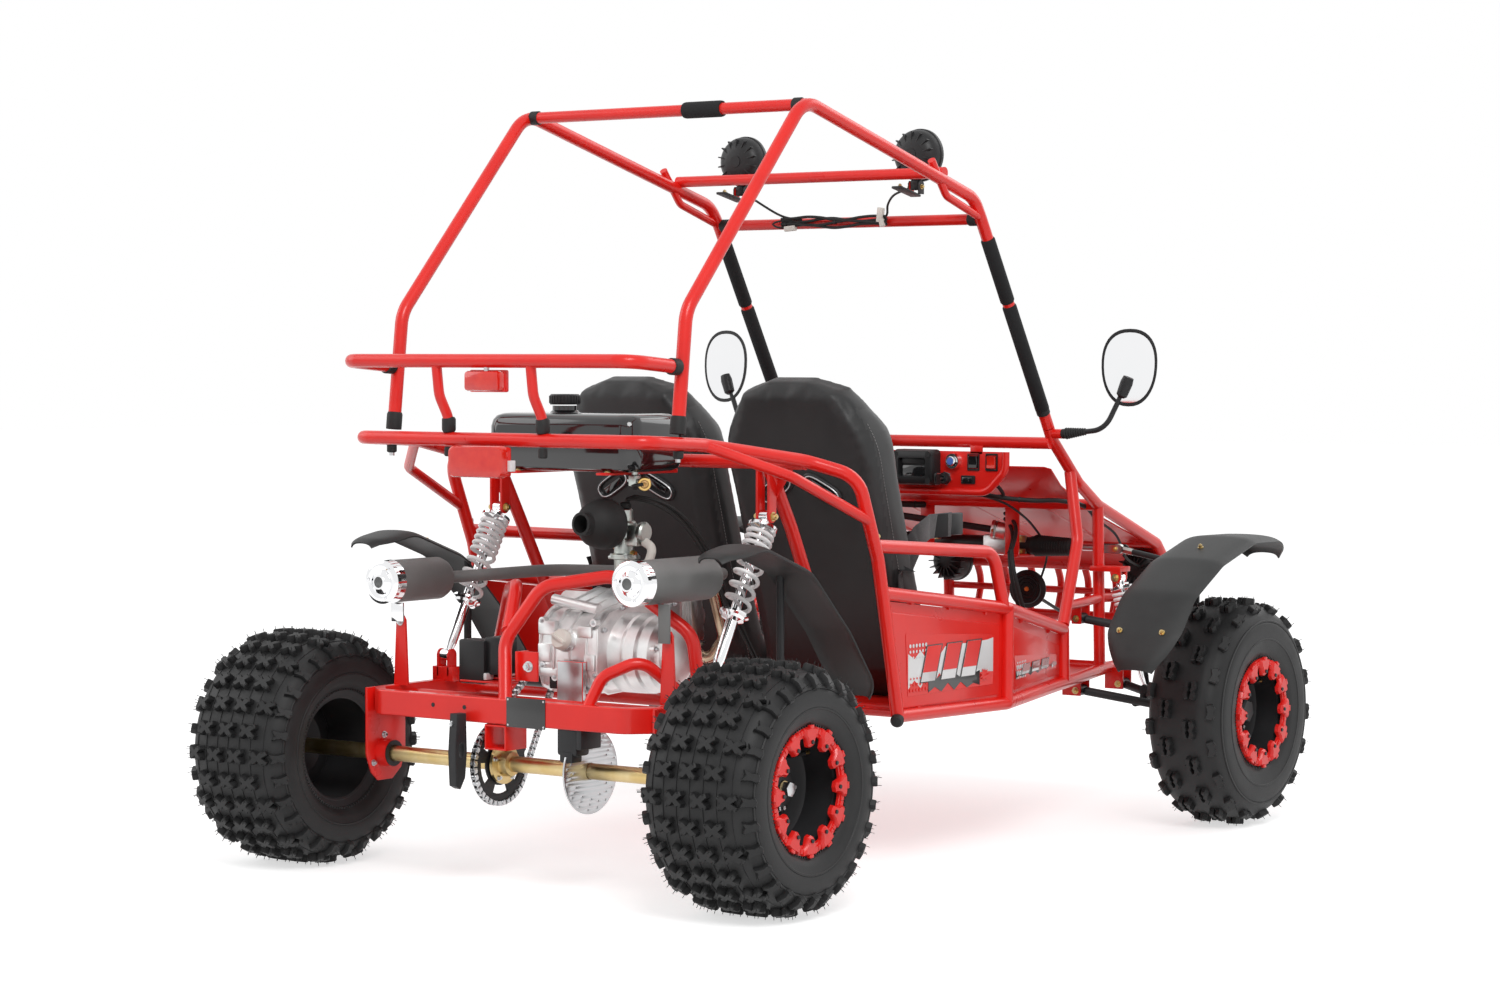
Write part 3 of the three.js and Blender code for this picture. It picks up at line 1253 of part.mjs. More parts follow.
const railZ = (y) => swing.rearZ + ((swing.pivotZ - swing.rearZ) * (y - swing.rearY)) / (swing.pivotY - swing.rearY);
const railShape = new THREE.Shape(
  [[-1, -1], [1, -1], [1, 1], [-1, 1]].map(
    ([a, b]) => new THREE.Vector2((a * swing.railWidth) / 2, (b * swing.rearHeight) / 2),
  ),
);
const railRoute = [[swing.railX - 40, swing.rearY, swing.rearZ],
  [swing.railX, swing.rearY + 40, swing.rearZ],
  [swing.railX, swing.pivotY + 6, swing.pivotZ]];
const swingPieces = [
  swept(railShape, [...railRoute.map(leftOf).reverse(), ...railRoute]),
  cylinderX(-swingRailOut, swingRailOut, swing.pivotY, swing.pivotZ, swing.pivotRadius, 10),
  cylinderX(-swingRailOut, swingRailOut, 70, railZ(70), 11, pipeSides),
];
const swingSide = [
  sidePlate(
    [[bearing.rear, swing.rearZ + 10], [bearing.rear, rearZ], [bearing.rear * 0.7, bearing.low + 16],
      [bearing.rear * 0.3, bearing.low],
      [bearing.front * 0.4, bearing.low], [bearing.front * 0.8, bearing.low + 20], [bearing.front, rearZ],
      [bearing.front, swing.rearZ + 10]],
    plateX, bearing.plate,
  ),
  cylinderX(plateX - bearing.tubeLength, plateX + 2, 0, rearZ, bearing.tube, 12),
  ...clevis(rearShock.low, "x", eyeWidth, eyeRadius,
    rearShock.low[2] - railZ(rearShock.low[1]) - swing.rearHeight / 2 + eyeRadius + 6, true),
  block(rearShock.low[0] - earThickness / 2, rearShock.low[1],
    railZ(rearShock.low[1]) + swing.rearHeight / 2,
    eyeWidth + earThickness * 3 + earGap * 2, eyeRadius * 2, 8),
];
const hoop = { rear: [10, -58, 338], knee: [-22, -20, 453], top: [40, 12, 552], right: [170, 62, 574],
  drop: [306, 112, 470],
  foot: [swing.railX - 4, 118, 342] };
const lowHoop = { rear: [196, -58, 338], knee: [214, -34, 400], mid: [270, 6, 430],
  end: [swing.railX, 96, 345] };
const post = { width: 26, thickness: 6 };
const silencerSides = 12;
const postLeft = [muffler.leftX + 8, 0];
const postRight = [muffler.rightX + 24, 0];
const posts = [
  [postLeft, muffler.leftZ], [postRight, muffler.rightZ],
].map(([[x, y], z]) => {
  const top = z - muffler.radius * Math.cos(Math.PI / silencerSides) - gap;
  return block(x, y + post.width, (railZ(0) + top) / 2, post.width, post.thickness, top - railZ(0));
});
const receiver = { x: -4, width: 50, height: 50, depth: 62, wall: 5, y: -40, z: 281 };
const caliper = { y: -52, z: 276, width: 46, depth: 40, height: 68, slotTop: 299 };
const guard = { x: -72, y: -93, width: 14, depth: 6, top: 320, low: 184 };
swingPieces.push(
  tube([hoop.rear, hoop.knee, hoop.top, hoop.right, hoop.drop, hoop.foot], pipe),
  tube([lowHoop.rear, lowHoop.knee, lowHoop.mid, lowHoop.end], 11),
  ...posts,
  block(disc.x, caliper.y, caliper.z, caliper.width, caliper.depth, caliper.height),
  block(disc.x + 16, swing.rearY + 4, (caliper.z + swing.rearZ) / 2, 10, 20, swing.rearZ - caliper.z),
  block(receiver.x, receiver.y, receiver.z, receiver.width, receiver.depth, receiver.height),
  block(guard.x, guard.y, (guard.top + guard.low) / 2, guard.width, guard.depth, guard.top - guard.low),
  block(guard.x, (guard.y + swing.rearY) / 2, guard.top, guard.width, swing.rearY - guard.y, guard.depth),
);
const swingCuts = [
  block(disc.x, 0, caliper.slotTop - caliper.height, disc.thickness + 4, disc.radius * 2,
    caliper.height * 2),
  block(receiver.x, receiver.y, receiver.z, receiver.width - receiver.wall * 2, receiver.depth * 2,
    receiver.height - receiver.wall * 2),
  cylinderX(-swingRailOut - 30, swingRailOut + 30, 0, rearZ, axleBore, axleSides),
  cylinderX(-swingRailOut * 2, swingRailOut * 2, swing.pivotY, swing.pivotZ, boreFor(pipe * 0.64, 10), 10),
];
const engine = { rear: 78, split: 224, low: 350, top: 536, front: 338 };
const engineMount = { x: 60, width: 60, top: 412, thickness: 12 };
swingPieces.push(
  block(engineMount.x, engine.rear - gap - engineMount.thickness / 2, (railZ(70) + engineMount.top) / 2,
    engineMount.width,
    engineMount.thickness, engineMount.top - railZ(70)),
);
add("swing_arm", cut(join([...swingPieces, ...swingSide, ...swingSide.map(mirrored)]), swingCuts), "red");

// Engine: a horizontal single with its gearbox behind, carburettor and air cleaner above.

add(
  "engine",
  join([
    sidePlate(
      [[engine.rear, 384], [engine.rear + 30, engine.low], [engine.front, engine.low + 10],
        [engine.front, engine.top - 20],
        [engine.split + 30, engine.top], [engine.rear + 40, engine.top - 40], [engine.rear, 470]],
      50, 150,
    ),
    sidePlate(
      [[engine.split, engine.low + 4], [engine.front - 10, engine.low + 14],
        [engine.front - 10, engine.top - 26],
        [engine.split + 30, engine.top - 8], [engine.split, engine.top - 30]],
      -64, 92,
    ),
    cylinderX(110, 214, 178, 424, 74, 12),
    cylinderX(205, 226, 178, 424, 58, 10),
    cylinderX(-150, -100, engine.split + 60, 440, 58, 10),
    rod([20, engine.front - 20, 452], [20, 470, 468], 48, 8),
    block(20, 400, 462, 130, 12, 110),
    block(20, 432, 466, 122, 12, 104),
    block(20, 462, 468, 100, 26, 92),
    rod([86, 250, engine.top - 20], [86, 196, 640], 18, 8),
    cylinderZ(86, 196, 570, 690, 19, 8),
    rod([86, 206, 655], [78, 150, 661], 20, 8),
    rod([78, 168, 659], [76, 112, 663], 47, 10),
    rod([76, 120, 663], [75, 88, 664], 22, 8),
    block(-26, drivePinion.y, drivePinion.z, 30, 40, 40),
    cylinderX(sprocket.x - 5, -20, drivePinion.y, drivePinion.z, 12, 8),
  ]),
  "alloy",
);

// Exhaust: two silencers, joined across in front of the engine.

const muffleRows = (length) => [
  [0, 0], [0, muffler.radius * 0.7], [12, muffler.radius], [length - 12, muffler.radius],
  [length, muffler.radius * 0.7], [length, 0],
];
const silencer = (x, z, rearY, frontY) =>
  turned(muffleRows(frontY - rearY), 0, 0, 0, silencerSides).rotateZ(Math.PI / 2).translate(x, rearY, z);
const crossPipe = { y: 360, z: 556, radius: 12 };
add(
  "exhaust",
  join([
    silencer(muffler.leftX, muffler.leftZ, muffler.rearY, muffler.frontY),
    silencer(muffler.rightX, muffler.rightZ, muffler.rearY - 34, muffler.frontY + 30),
    tube([[muffler.leftX, muffler.frontY - 6, muffler.leftZ],
      [muffler.leftX + 8, muffler.frontY + 16, muffler.leftZ],
      [-256, 214, 552], [-210, 352, crossPipe.z], [150, 366, crossPipe.z + 6], [236, 300, 568],
      [muffler.rightX - 4, muffler.frontY + 46, muffler.rightZ], [muffler.rightX, muffler.frontY + 24,
        muffler.rightZ]],
    crossPipe.radius, 30),
    tube([[60, 364, crossPipe.z], [112, 440, crossPipe.z - 28], [112, 478, 430], [84, 474, 392],
      [52, 462, 392],
      [52, 462, 422 - gap]], crossPipe.radius),
  ]),
  "black",
);

// Chain: two side plates' band round both sprockets, outside their teeth.

const chainGap = 0.6;
const chain = { depth: 7, width: 14 };
function beltOutline(extra) {
  const a = { y: 0, z: rearZ, r: sprocket.radius + chainGap + extra };
  const b = { y: drivePinion.y, z: drivePinion.z, r: drivePinion.radius + chainGap + extra };
  const span = Math.hypot(b.y - a.y, b.z - a.z);
  const way = Math.atan2(b.z - a.z, b.y - a.y);
  const lean = Math.acos((a.r - b.r) / span);
  const rows = [];
  const arc = (c, from, to, steps) => {
    for (let i = 0; i <= steps; i += 1) {
      const angle = from + ((to - from) * i) / steps;
      const r = c.r / Math.cos((to - from) / steps / 2);
      rows.push([c.y + r * Math.cos(angle), c.z + r * Math.sin(angle)]);
    }
  };
  arc(a, way + lean, way + 2 * Math.PI - lean, 12);
  arc(b, way - lean, way + lean, 4);
  return rows;
}
const chainHole = new THREE.Path(beltOutline(0).map(([y, z]) => new THREE.Vector2(y, z)));
add("drive_chain", sidePlate(beltOutline(chain.depth), sprocket.x, chain.width, [chainHole]), "alloy");

const fenderStay = { y: 290, bend: 366, pad: 5, size: 30, top: 574 };
addPair(
  "rear_fender",
  join([
    fenderSolid(rearFender, rearFender.inner),
    block(swing.railX + swing.railWidth / 2 + gap + fenderStay.pad / 2, fenderStay.y, railZ(fenderStay.y),
      fenderStay.pad,
      fenderStay.size, fenderStay.size),
    tube([[swing.railX + swing.railWidth / 2 + gap + slimPipe, fenderStay.y, railZ(fenderStay.y)],
      [fenderStay.bend + slimPipe, fenderStay.y, railZ(fenderStay.y) + 40], [fenderStay.bend + slimPipe,
        fenderStay.y, fenderStay.top]],
    slimPipe),
  ]),
  "black",
);

// Shock absorbers. Each is drawn hanging from its top eye at the origin, then turned and set in place.
// The upper piece holds the eye, the rod and the wound spring, and the lower one the tube and its eye.

const shockPart = { rod: 5.5, tube: 10, neck: 9, capTop: 20, capHeight: 6, tubeGap: 16, overlap: 40,
  perchHeight: 7 };
const coilSides = 4;
const coilSteps = 6;
const coilSeat = 0.4;

// Points down a spring whose first turns lie close together and whose others are open.
function coilPoints(coil, startZ) {
  const points = [];
  for (let i = 0; i <= coil.turns * coilSteps; i += 1) {
    const turn = i / coilSteps;
    const angle = turn * 2 * Math.PI;
    const closeTurns = Math.min(turn, coil.closeTurns);
    const drop = closeTurns * coil.closePitch + (turn - closeTurns) * coil.openPitch;
    points.push([coil.radius * Math.cos(angle), coil.radius * Math.sin(angle), startZ - drop]);
  }
  return points;
}
function leastCoilGap(points, wire) {
  const fine = [];
  const parts = 4;
  for (let i = 1; i < points.length; i += 1) {
    for (let k = 0; k < parts; k += 1) fine.push(vec(points[i - 1]).lerp(vec(points[i]), k / parts));
  }
  let least = Infinity;
  const apart = (coilSteps * parts) / 2;
  for (let i = 0; i < fine.length; i += 1) {
    for (let k = i + apart; k < fine.length; k += 1) least = Math.min(least, fine[i].distanceTo(fine[k]));
  }
  return least - wire * 2;
}

function shockPieces(coil, length, travel, along) {
  const capLow = -shockPart.capTop - shockPart.capHeight;
  const points = coilPoints(coil, capLow - coil.wire / 2);
  console.log("spring's least gap to itself", leastCoilGap(points, coil.wire).toFixed(2), "mm");
  const endZ = points[points.length - 1][2];
  const perchTop = endZ - coil.wire - coilSeat;
  const tubeTop = capLow - travel - shockPart.tubeGap;
  const rodEnd = tubeTop - shockPart.overlap;
  const half = eyeWidth / 2;
  const eye = (z, radius, bore) => {
    const draw = along === "x" ? (reach, r) => cylinderX(-reach, reach, 0, z, r) : (reach,
      r) => cylinderY(0, -reach, reach, z, r);
    return { body: draw(half, radius), bore: draw(half * 2, bore) };
  };
  const topEye = eye(0, eyeRadius, boreFor(eyePin));
  const lowEye = eye(-length, eyeRadius - 1, boreFor(eyePin + coil.seatPlay));
  const upper = cut(
    join([
      topEye.body,
      cylinderZ(0, 0, capLow, -eyeRadius / 2, shockPart.neck),
      cylinderZ(0, 0, capLow, -shockPart.capTop, coil.radius + coil.wire, 7),
      cylinderZ(0, 0, rodEnd, capLow + 1, shockPart.rod, smallPinSides),
      swept(ringShape(coil.wire, coilSides), points),
    ]),
    [topEye.bore],
  );
  const lower = cut(
    join([
      lowEye.body,
      cylinderZ(0, 0, -length + eyeRadius / 2, tubeTop, shockPart.tube, pinSides),
      cylinderZ(0, 0, perchTop - shockPart.perchHeight, perchTop, coil.radius + coil.wire, 7),
    ]),
    [lowEye.bore, cylinderZ(0, 0, rodEnd - travel - shockPart.neck, tubeTop + 1, boreFor(shockPart.rod))],
  );
  return { upper, lower };
}

const frontCoil = { radius: 20.5, wire: 4, turns: 6, closeTurns: 3, closePitch: 13, openPitch: 27,
  seatPlay: 1.5 };
const rearCoil = { radius: 24, wire: 4.5, turns: 6.5, closeTurns: 3.5, closePitch: 17, openPitch: 35,
  seatPlay: 1.5 };
const frontTravel = 30;
const rearTravel = 40;
const shocks = [
  ["front_shock", frontShock.top, [frontShock.lowerX, frontShock.top[1], frontShock.lowerZ], frontCoil,
    frontTravel, "y"],
  ["rear_shock", rearShock.top, rearShock.low, rearCoil, rearTravel, "x"],
];
for (const [name, top, low, coil, travel, along] of shocks) {
  const way = vec(low).sub(vec(top));
  const turn = new THREE.Quaternion().setFromUnitVectors(new THREE.Vector3(0, 0, -1),
    way.clone().normalize());
  const place = (g) => moved(bare(g).applyQuaternion(turn), ...top);
  const { upper, lower } = shockPieces(coil, way.length(), travel, along);
  addPair(name + "_spring", place(upper), "white");
  addPair(name + "_tube", place(lower), "chrome");
}

// The origin goes to the middle of the base.
const bounds = new THREE.Box3().setFromObject(kart);
for (const piece of kart.children) piece.position.y = -(bounds.min.y + bounds.max.y) / 2;

export default kart;
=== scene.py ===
# %% [markdown]
# # A two seat off road go kart
# A kart like this is a welded tube frame with a roll cage bolted on top. Wishbones carry the front
# wheels, and a swing arm behind carries the engine, the silencers and the live axle. The fixed frame
# already holds every solid and joint. This file gives each of them the shape and the finish of the
# real thing, one kind of piece at a time.

from math import acos, atan2, ceil, copysign, cos, hypot, pi, radians, sin, sqrt, tan

import bmesh
import bpy
from mathutils import Matrix, Vector


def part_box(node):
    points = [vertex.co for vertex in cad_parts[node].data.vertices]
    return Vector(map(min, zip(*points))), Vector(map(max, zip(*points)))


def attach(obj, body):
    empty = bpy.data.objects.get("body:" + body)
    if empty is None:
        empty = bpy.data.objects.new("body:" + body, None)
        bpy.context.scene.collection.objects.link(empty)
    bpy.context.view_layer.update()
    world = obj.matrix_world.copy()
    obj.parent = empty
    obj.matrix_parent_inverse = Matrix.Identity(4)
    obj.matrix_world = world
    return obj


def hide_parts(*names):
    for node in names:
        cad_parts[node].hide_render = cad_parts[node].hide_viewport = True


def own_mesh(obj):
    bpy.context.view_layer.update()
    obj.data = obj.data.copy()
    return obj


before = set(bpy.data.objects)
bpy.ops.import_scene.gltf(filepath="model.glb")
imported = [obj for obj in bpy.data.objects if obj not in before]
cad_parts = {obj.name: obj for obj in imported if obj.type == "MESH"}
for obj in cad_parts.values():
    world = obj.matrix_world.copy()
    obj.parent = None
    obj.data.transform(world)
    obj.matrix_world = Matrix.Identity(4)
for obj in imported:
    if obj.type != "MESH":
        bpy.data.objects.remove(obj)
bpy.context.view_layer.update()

# %% [markdown]
# The kart was drawn in millimetres, with Y counted from the rear axle. The same numbers are used here.
# Rows of them are written as text, such as "0,5 12,5". at() turns a place into metres of the frame, and
# the axle's own box says where its middle is.

# %% Places in millimetres
MM = 0.001
axle_low, axle_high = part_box("rear_axle")
AXLE_Y = (axle_low.y + axle_high.y) / 2
ORIGIN, X, Y, Z = Vector(), Vector((1, 0, 0)), Vector((0, 1, 0)), Vector((0, 0, 1))
SIDES = (("left", -1), ("right", 1))


def numbers(text, scale=1.0):
    return [tuple(float(n) * scale for n in part.split(",")) for part in text.split()]


def mm(x, y, z):
    return Vector((x, y, z)) * MM


def at(x, y, z):
    return Vector((x * MM, y * MM + AXLE_Y, z * MM))


def row(text):
    return [at(*p) for p in numbers(text)]


def flip(points):
    """The same points on the kart's other side."""
    return [Vector((-p.x, p.y, p.z)) for p in points]


def sided(points, hand):
    """Points of the right side, for either side."""
    return points if hand > 0 else flip(points)


def placed(name, data):
    """An object in the scene that shows the data."""
    made = bpy.data.objects.new(name, data)
    bpy.context.scene.collection.objects.link(made)
    return made


# %% [markdown]
# ## Camera, floor and light
# The photograph was taken from behind and to the right, low down and from far away, which a long lens
# shows. Three large soft lamps and an even world light the kart, and the floor is white only for the camera.

# %% Camera
camera_data = bpy.data.cameras.new("camera")
camera_data.sensor_width = 36.0
camera_data.lens = 80.71
camera = placed("camera", camera_data)
camera.location = (3.89656, -5.61182, 0.96543)
camera_yaw, camera_pitch, camera_roll = (radians(a) for a in (35.508, -2.393, 0.112))
camera.rotation_euler = (Matrix.Rotation(camera_yaw, 4, "Z") @ Matrix.Rotation(pi / 2 + camera_pitch, 4, "X")
    @ Matrix.Rotation(camera_roll, 4, "Z")).to_euler()
bpy.context.scene.camera = camera
bpy.context.scene.view_settings.view_transform = "Standard"


# %% Nodes
def new_node(tree, kind, inputs=None, **settings):
    """A node with its settings. An input takes a value, a socket, or a node whose first output feeds it."""
    made = tree.nodes.new(kind if kind.startswith(("Shader", "Function")) else "GeometryNode" + kind)
    for key, value in settings.items():
        setattr(made, key, value)
    for key, value in (inputs or {}).items():
        start = value.outputs[0] if isinstance(value, bpy.types.Node) else value
        if isinstance(start, bpy.types.NodeSocket):
            tree.links.new(start, made.inputs[key])
        else:
            made.inputs[key].default_value = start
    return made


def strength_of(tree, unseen, seen):
    """One strength for what is seen directly, mirrored or through glass, and another for all other light."""
    rays = new_node(tree, "ShaderNodeLightPath").outputs
    seen_or_mirrored = new_node(tree, "ShaderNodeMath", {0: rays["Is Camera Ray"], 1: rays["Is Glossy Ray"]},
        operation="MAXIMUM")
    any_way = new_node(tree, "ShaderNodeMath", {0: seen_or_mirrored, 1: rays["Is Transmission Ray"]},
        operation="MAXIMUM")
    return new_node(tree, "ShaderNodeMath", {0: any_way, 1: seen - unseen, 2: unseen}, operation="MULTIPLY_ADD")


# %% Lamps and world
MIDDLE = Vector((0.0, 0.0, 0.6))
for name, place, size, power in (("key_lamp", (3.4, -3.6, 4.6), 2.6, 150), ("fill_lamp", (-4.6, -2.6, 3.2), 4.0, 60),
        ("front_lamp", (1.5, 5.0, 3.6), 4.0, 70)):
    data = bpy.data.lights.new(name, "AREA")
    data.shape = "DISK"
    data.size = size
    data.energy = power
    lamp = placed(name, data)
    lamp.location = place
    lamp.rotation_euler = (MIDDLE - Vector(place)).to_track_quat("-Z", "Y").to_euler()

WORLD_LIGHT = 0.62
world = bpy.data.worlds.new("studio")
bpy.context.scene.world = world
world.use_nodes = True
sky = world.node_tree
background = next(n for n in sky.nodes if n.type == "BACKGROUND")
background.inputs["Color"].default_value = (1.0, 1.0, 1.0, 1.0)
sky.links.new(strength_of(sky, WORLD_LIGHT, 1.0).outputs[0], background.inputs["Strength"])

# %% Floor
REACH = 30.0
floor_mesh = bpy.data.meshes.new("floor")
floor_mesh.from_pydata([(x * REACH, y * REACH, 0) for x, y in ((-1, -1), (1, -1), (1, 1), (-1, 1))], [],
    [(0, 1, 2, 3)])
floor = placed("floor", floor_mesh)
floor_finish = bpy.data.materials.new("pale_floor")
floor_finish.use_nodes = True
tree = floor_finish.node_tree
tree.nodes.clear()
matte = new_node(tree, "ShaderNodeBsdfDiffuse", {"Color": (0.72, 0.72, 0.72, 1)})
glow = new_node(tree, "ShaderNodeEmission", {"Color": (1, 1, 1, 1), "Strength": strength_of(tree, 0.0, WORLD_LIGHT)})
new_node(tree, "ShaderNodeOutputMaterial", {"Surface": new_node(tree, "ShaderNodeAddShader", {0: matte, 1: glow})})
floor_mesh.materials.append(floor_finish)

# %% [markdown]
# ## Finishes
# Nearly every finish on the kart is one of four kinds: sprayed or powdered paint, bare or plated metal,
# rubber and plastic, or vinyl. They differ in grain, so one function mixes two tones, varies the
# roughness and raises a fine grain, and each finish gives it its own sizes.


# %% A finish with two tones, uneven gloss and a grain
def finish(name, tones, rough, metal=0.0, patch=12.0, grain=900.0, bump=0.05, cells=False, coat=0.0, sheen=0.0,
        spread=0.08, through=0.0, mirror=0.5):
    """The tones are written in thousandths of red, green and blue."""
    made = bpy.data.materials.new(name)
    made.use_nodes = True
    tree = made.node_tree
    shader = next(n for n in tree.nodes if n.type == "BSDF_PRINCIPLED")
    for label, value in {"Metallic": metal, "Coat Weight": coat, "Coat Roughness": 0.08, "Sheen Weight": sheen,
            "Transmission Weight": through, "Specular IOR Level": mirror}.items():
        shader.inputs[label].default_value = value
    where = new_node(tree, "ShaderNodeTexCoord").outputs["Object"]
    clouds = new_node(tree, "ShaderNodeTexNoise", {"Vector": where, "Scale": patch, "Detail": 5.0})
    mixed = new_node(tree, "ShaderNodeValToRGB", {"Fac": clouds})
    for element, position, tone in zip(mixed.color_ramp.elements, (0.3, 0.7), numbers(tones, 0.001)):
        element.position = position
        element.color = (*tone, 1)
    gloss = new_node(tree, "ShaderNodeMapRange", {"Value": clouds, "To Min": max(0.02, rough - spread),
        "To Max": rough + spread})
    if cells:
        fine = new_node(tree, "ShaderNodeTexVoronoi", {"Vector": where, "Scale": grain}, feature="DISTANCE_TO_EDGE")
    else:
        fine = new_node(tree, "ShaderNodeTexNoise", {"Vector": where, "Scale": grain, "Detail": 3.0})
    raised = new_node(tree, "ShaderNodeBump", {"Height": fine, "Strength": bump, "Distance": 0.001})
    for label, node in (("Base Color", mixed), ("Roughness", gloss), ("Normal", raised)):
        tree.links.new(node.outputs[0], shader.inputs[label])
    return made


# %% The kart's finishes
RED = finish("red_powder_coat", "740,12,8 820,18,11", 0.30, coat=0.12, grain=420, bump=0.03, mirror=0.4)
BLACK = finish("black_satin_paint", "16,16,17 28,28,30", 0.46, grain=700, bump=0.08, mirror=0.3)
RUBBER = finish("tyre_rubber", "6,6,6.5 14,14,14.5", 0.55, patch=30, grain=600, bump=0.25, spread=0.12, mirror=0.4)
SOFT_RUBBER = finish("soft_rubber", "14,14,14 22,22,22", 0.6, grain=900, bump=0.1, mirror=0.3)
FOAM = finish("foam_sleeve", "12,12,13 20,20,21", 0.85, cells=True, grain=420, bump=0.35, mirror=0.3)
FENDER = finish("fender_plastic", "24,25,25 36,37,37", 0.5, cells=True, grain=700, bump=0.12, mirror=0.3)
PLASTIC = finish("black_plastic", "14,14,15 22,22,23", 0.38, grain=800, bump=0.06, mirror=0.3)
TANK = finish("gloss_black_tank", "8,8,9 11,11,12", 0.09, coat=0.6, grain=120, bump=0.01, spread=0.03)
VINYL = finish("black_vinyl", "13,13.5,14 20,20.5,21", 0.46, cells=True, grain=520, bump=0.16, sheen=0.05, mirror=0.4)
GREY_VINYL = finish("grey_vinyl", "24,24.5,25 34,34.5,35", 0.46, cells=True, grain=520, bump=0.16, sheen=0.08,
    mirror=0.4)
THREAD = finish("seat_thread", "180,180,180 240,240,240", 0.8, grain=3000, bump=0.3)
WEBBING = finish("belt_webbing", "14,14,15 24,24,26", 0.8, grain=1400, bump=0.5, sheen=0.3, mirror=0.3)
CHROME = finish("chrome_plate", "840,850,860 900,900,910", 0.08, metal=1.0, patch=6, bump=0.01, spread=0.03)
STEEL = finish("bright_steel", "500,510,520 600,610,620", 0.3, metal=1.0, grain=1400, bump=0.06)
ZINC = finish("zinc_plate", "420,450,440 560,600,550", 0.34, metal=1.0, patch=40, grain=900, bump=0.06)
YELLOW_ZINC = finish("yellow_zinc_plate", "580,420,170 680,550,300", 0.32, metal=1.0, patch=26, grain=900, bump=0.06)
CAST = finish("cast_aluminium", "700,700,700 900,900,895", 0.32, metal=1.0, patch=24, grain=1300, bump=0.25)
POLISHED = finish("polished_aluminium", "660,670,680 780,780,790", 0.22, metal=1.0, patch=10, grain=700, bump=0.05)
HOT_PIPE = finish("heated_pipe", "300,200,130 550,420,300", 0.2, metal=1.0, patch=30, bump=0.03)
SILENCER = finish("silencer_black", "145,145,142 190,190,186", 0.55, cells=True, grain=1500, bump=0.2)
WHITE_COAT = finish("white_spring_coat", "930,935,935 970,970,970", 0.24, grain=700, bump=0.06)
WHITE_PLUG = finish("white_connector", "720,700,640 800,780,720", 0.5, bump=0.03)
BRASS = finish("brass", "600,380,120 720,500,200", 0.3, metal=1.0, patch=40, bump=0.05)
AMBER = finish("yellow_plastic", "720,450,160 780,520,220", 0.4, bump=0.03)
ORANGE = finish("orange_cap", "750,220,30 800,260,50", 0.4, bump=0.03)
BLUE = finish("blue_button", "60,140,500 80,180,560", 0.3, bump=0.02)
RED_PLASTIC = finish("red_plastic", "740,12,10 800,18,12", 0.3, bump=0.02)
WHITE_SHEET = finish("panel_white", "720,720,720 780,780,780", 0.3, bump=0.02, coat=0.4)
BLACK_SHEET = finish("panel_black", "12,12,12 16,16,16", 0.3, bump=0.02, coat=0.4)
DEEP_RED = finish("panel_dark_red", "280,8,8 340,12,10", 0.3, bump=0.02, coat=0.4)
MIRROR = finish("mirror_glass", "880,890,900 900,900,910", 0.03, metal=1.0, bump=0.0, spread=0.01)
LAMP_GLASS = finish("lamp_glass", "900,920,950 940,950,970", 0.04, through=0.85, bump=0.0, spread=0.01)
LENS = finish("red_lens", "780,10,6 880,30,12", 0.05, through=0.15, patch=60, grain=240, bump=0.2, coat=0.5,
    spread=0.02)
print(len(bpy.data.materials), "finishes")

# %% [markdown]
# ## Tools: node trees
# Whatever repeats or follows a line is made by Geometry Nodes. A tree gets its sizes through named
# inputs. A modifier takes them by the socket's identifier, and the result is copied into a plain mesh,
# because a finished piece may hold no modifier that makes instances.


# %% Start a node tree, and turn its result into a mesh
def new_tree(name, *inputs):
    tree = bpy.data.node_groups.new(name, "GeometryNodeTree")
    tree.interface.new_socket("Geometry", in_out="INPUT", socket_type="NodeSocketGeometry")
    for label, kind in inputs:
        tree.interface.new_socket(label, in_out="INPUT", socket_type=kind)
    tree.interface.new_socket("Geometry", in_out="OUTPUT", socket_type="NodeSocketGeometry")
    return tree, tree.nodes.new("NodeGroupInput"), tree.nodes.new("NodeGroupOutput")


def named(tree, label, kind="FLOAT"):
    return new_node(tree, "InputNamedAttribute", {"Name": label}, data_type=kind).outputs["Attribute"]


def finish_tree(tree, first, last, shape):
    """Makes copies real, gives them the tree's finish and sends them out."""
    real = new_node(tree, "RealizeInstances", {"Geometry": shape})
    coated = new_node(tree, "SetMaterial", {"Geometry": real, "Material": first.outputs["Finish"]})
    tree.links.new(coated.outputs[0], last.inputs[0])


def mesh_of(source):
    """What an object shows with its modifiers, as a plain mesh. The object is used up."""
    bpy.context.view_layer.update()
    graph = bpy.context.evaluated_depsgraph_get()
    mesh = bpy.data.meshes.new_from_object(source.evaluated_get(graph), depsgraph=graph)
    bpy.data.objects.remove(source)
    return mesh


def grown(source, tree, **values):
    """The mesh that a tree makes from a source object, which is used up."""
    modifier = source.modifiers.new("grown", "NODES")
    modifier.node_group = tree
    for socket in tree.interface.items_tree:
        if socket.item_type == "SOCKET" and socket.in_out == "INPUT" and socket.name in values:
            modifier[socket.identifier] = values[socket.name]
    return mesh_of(source)


def source_of(points, edges=(), **attributes):
    """A bare object of points, with numbers or vectors stored on them for a tree to read."""
    mesh = bpy.data.meshes.new("source")
    mesh.from_pydata([tuple(p) for p in points], list(edges), [])
    for label, values in attributes.items():
        vectors = isinstance(values[0], Vector)
        layer = mesh.attributes.new(label, "FLOAT_VECTOR" if vectors else "FLOAT", "POINT")
        for item, value in zip(layer.data, values):
            setattr(item, "vector" if vectors else "value", value)
    return placed("source", mesh)


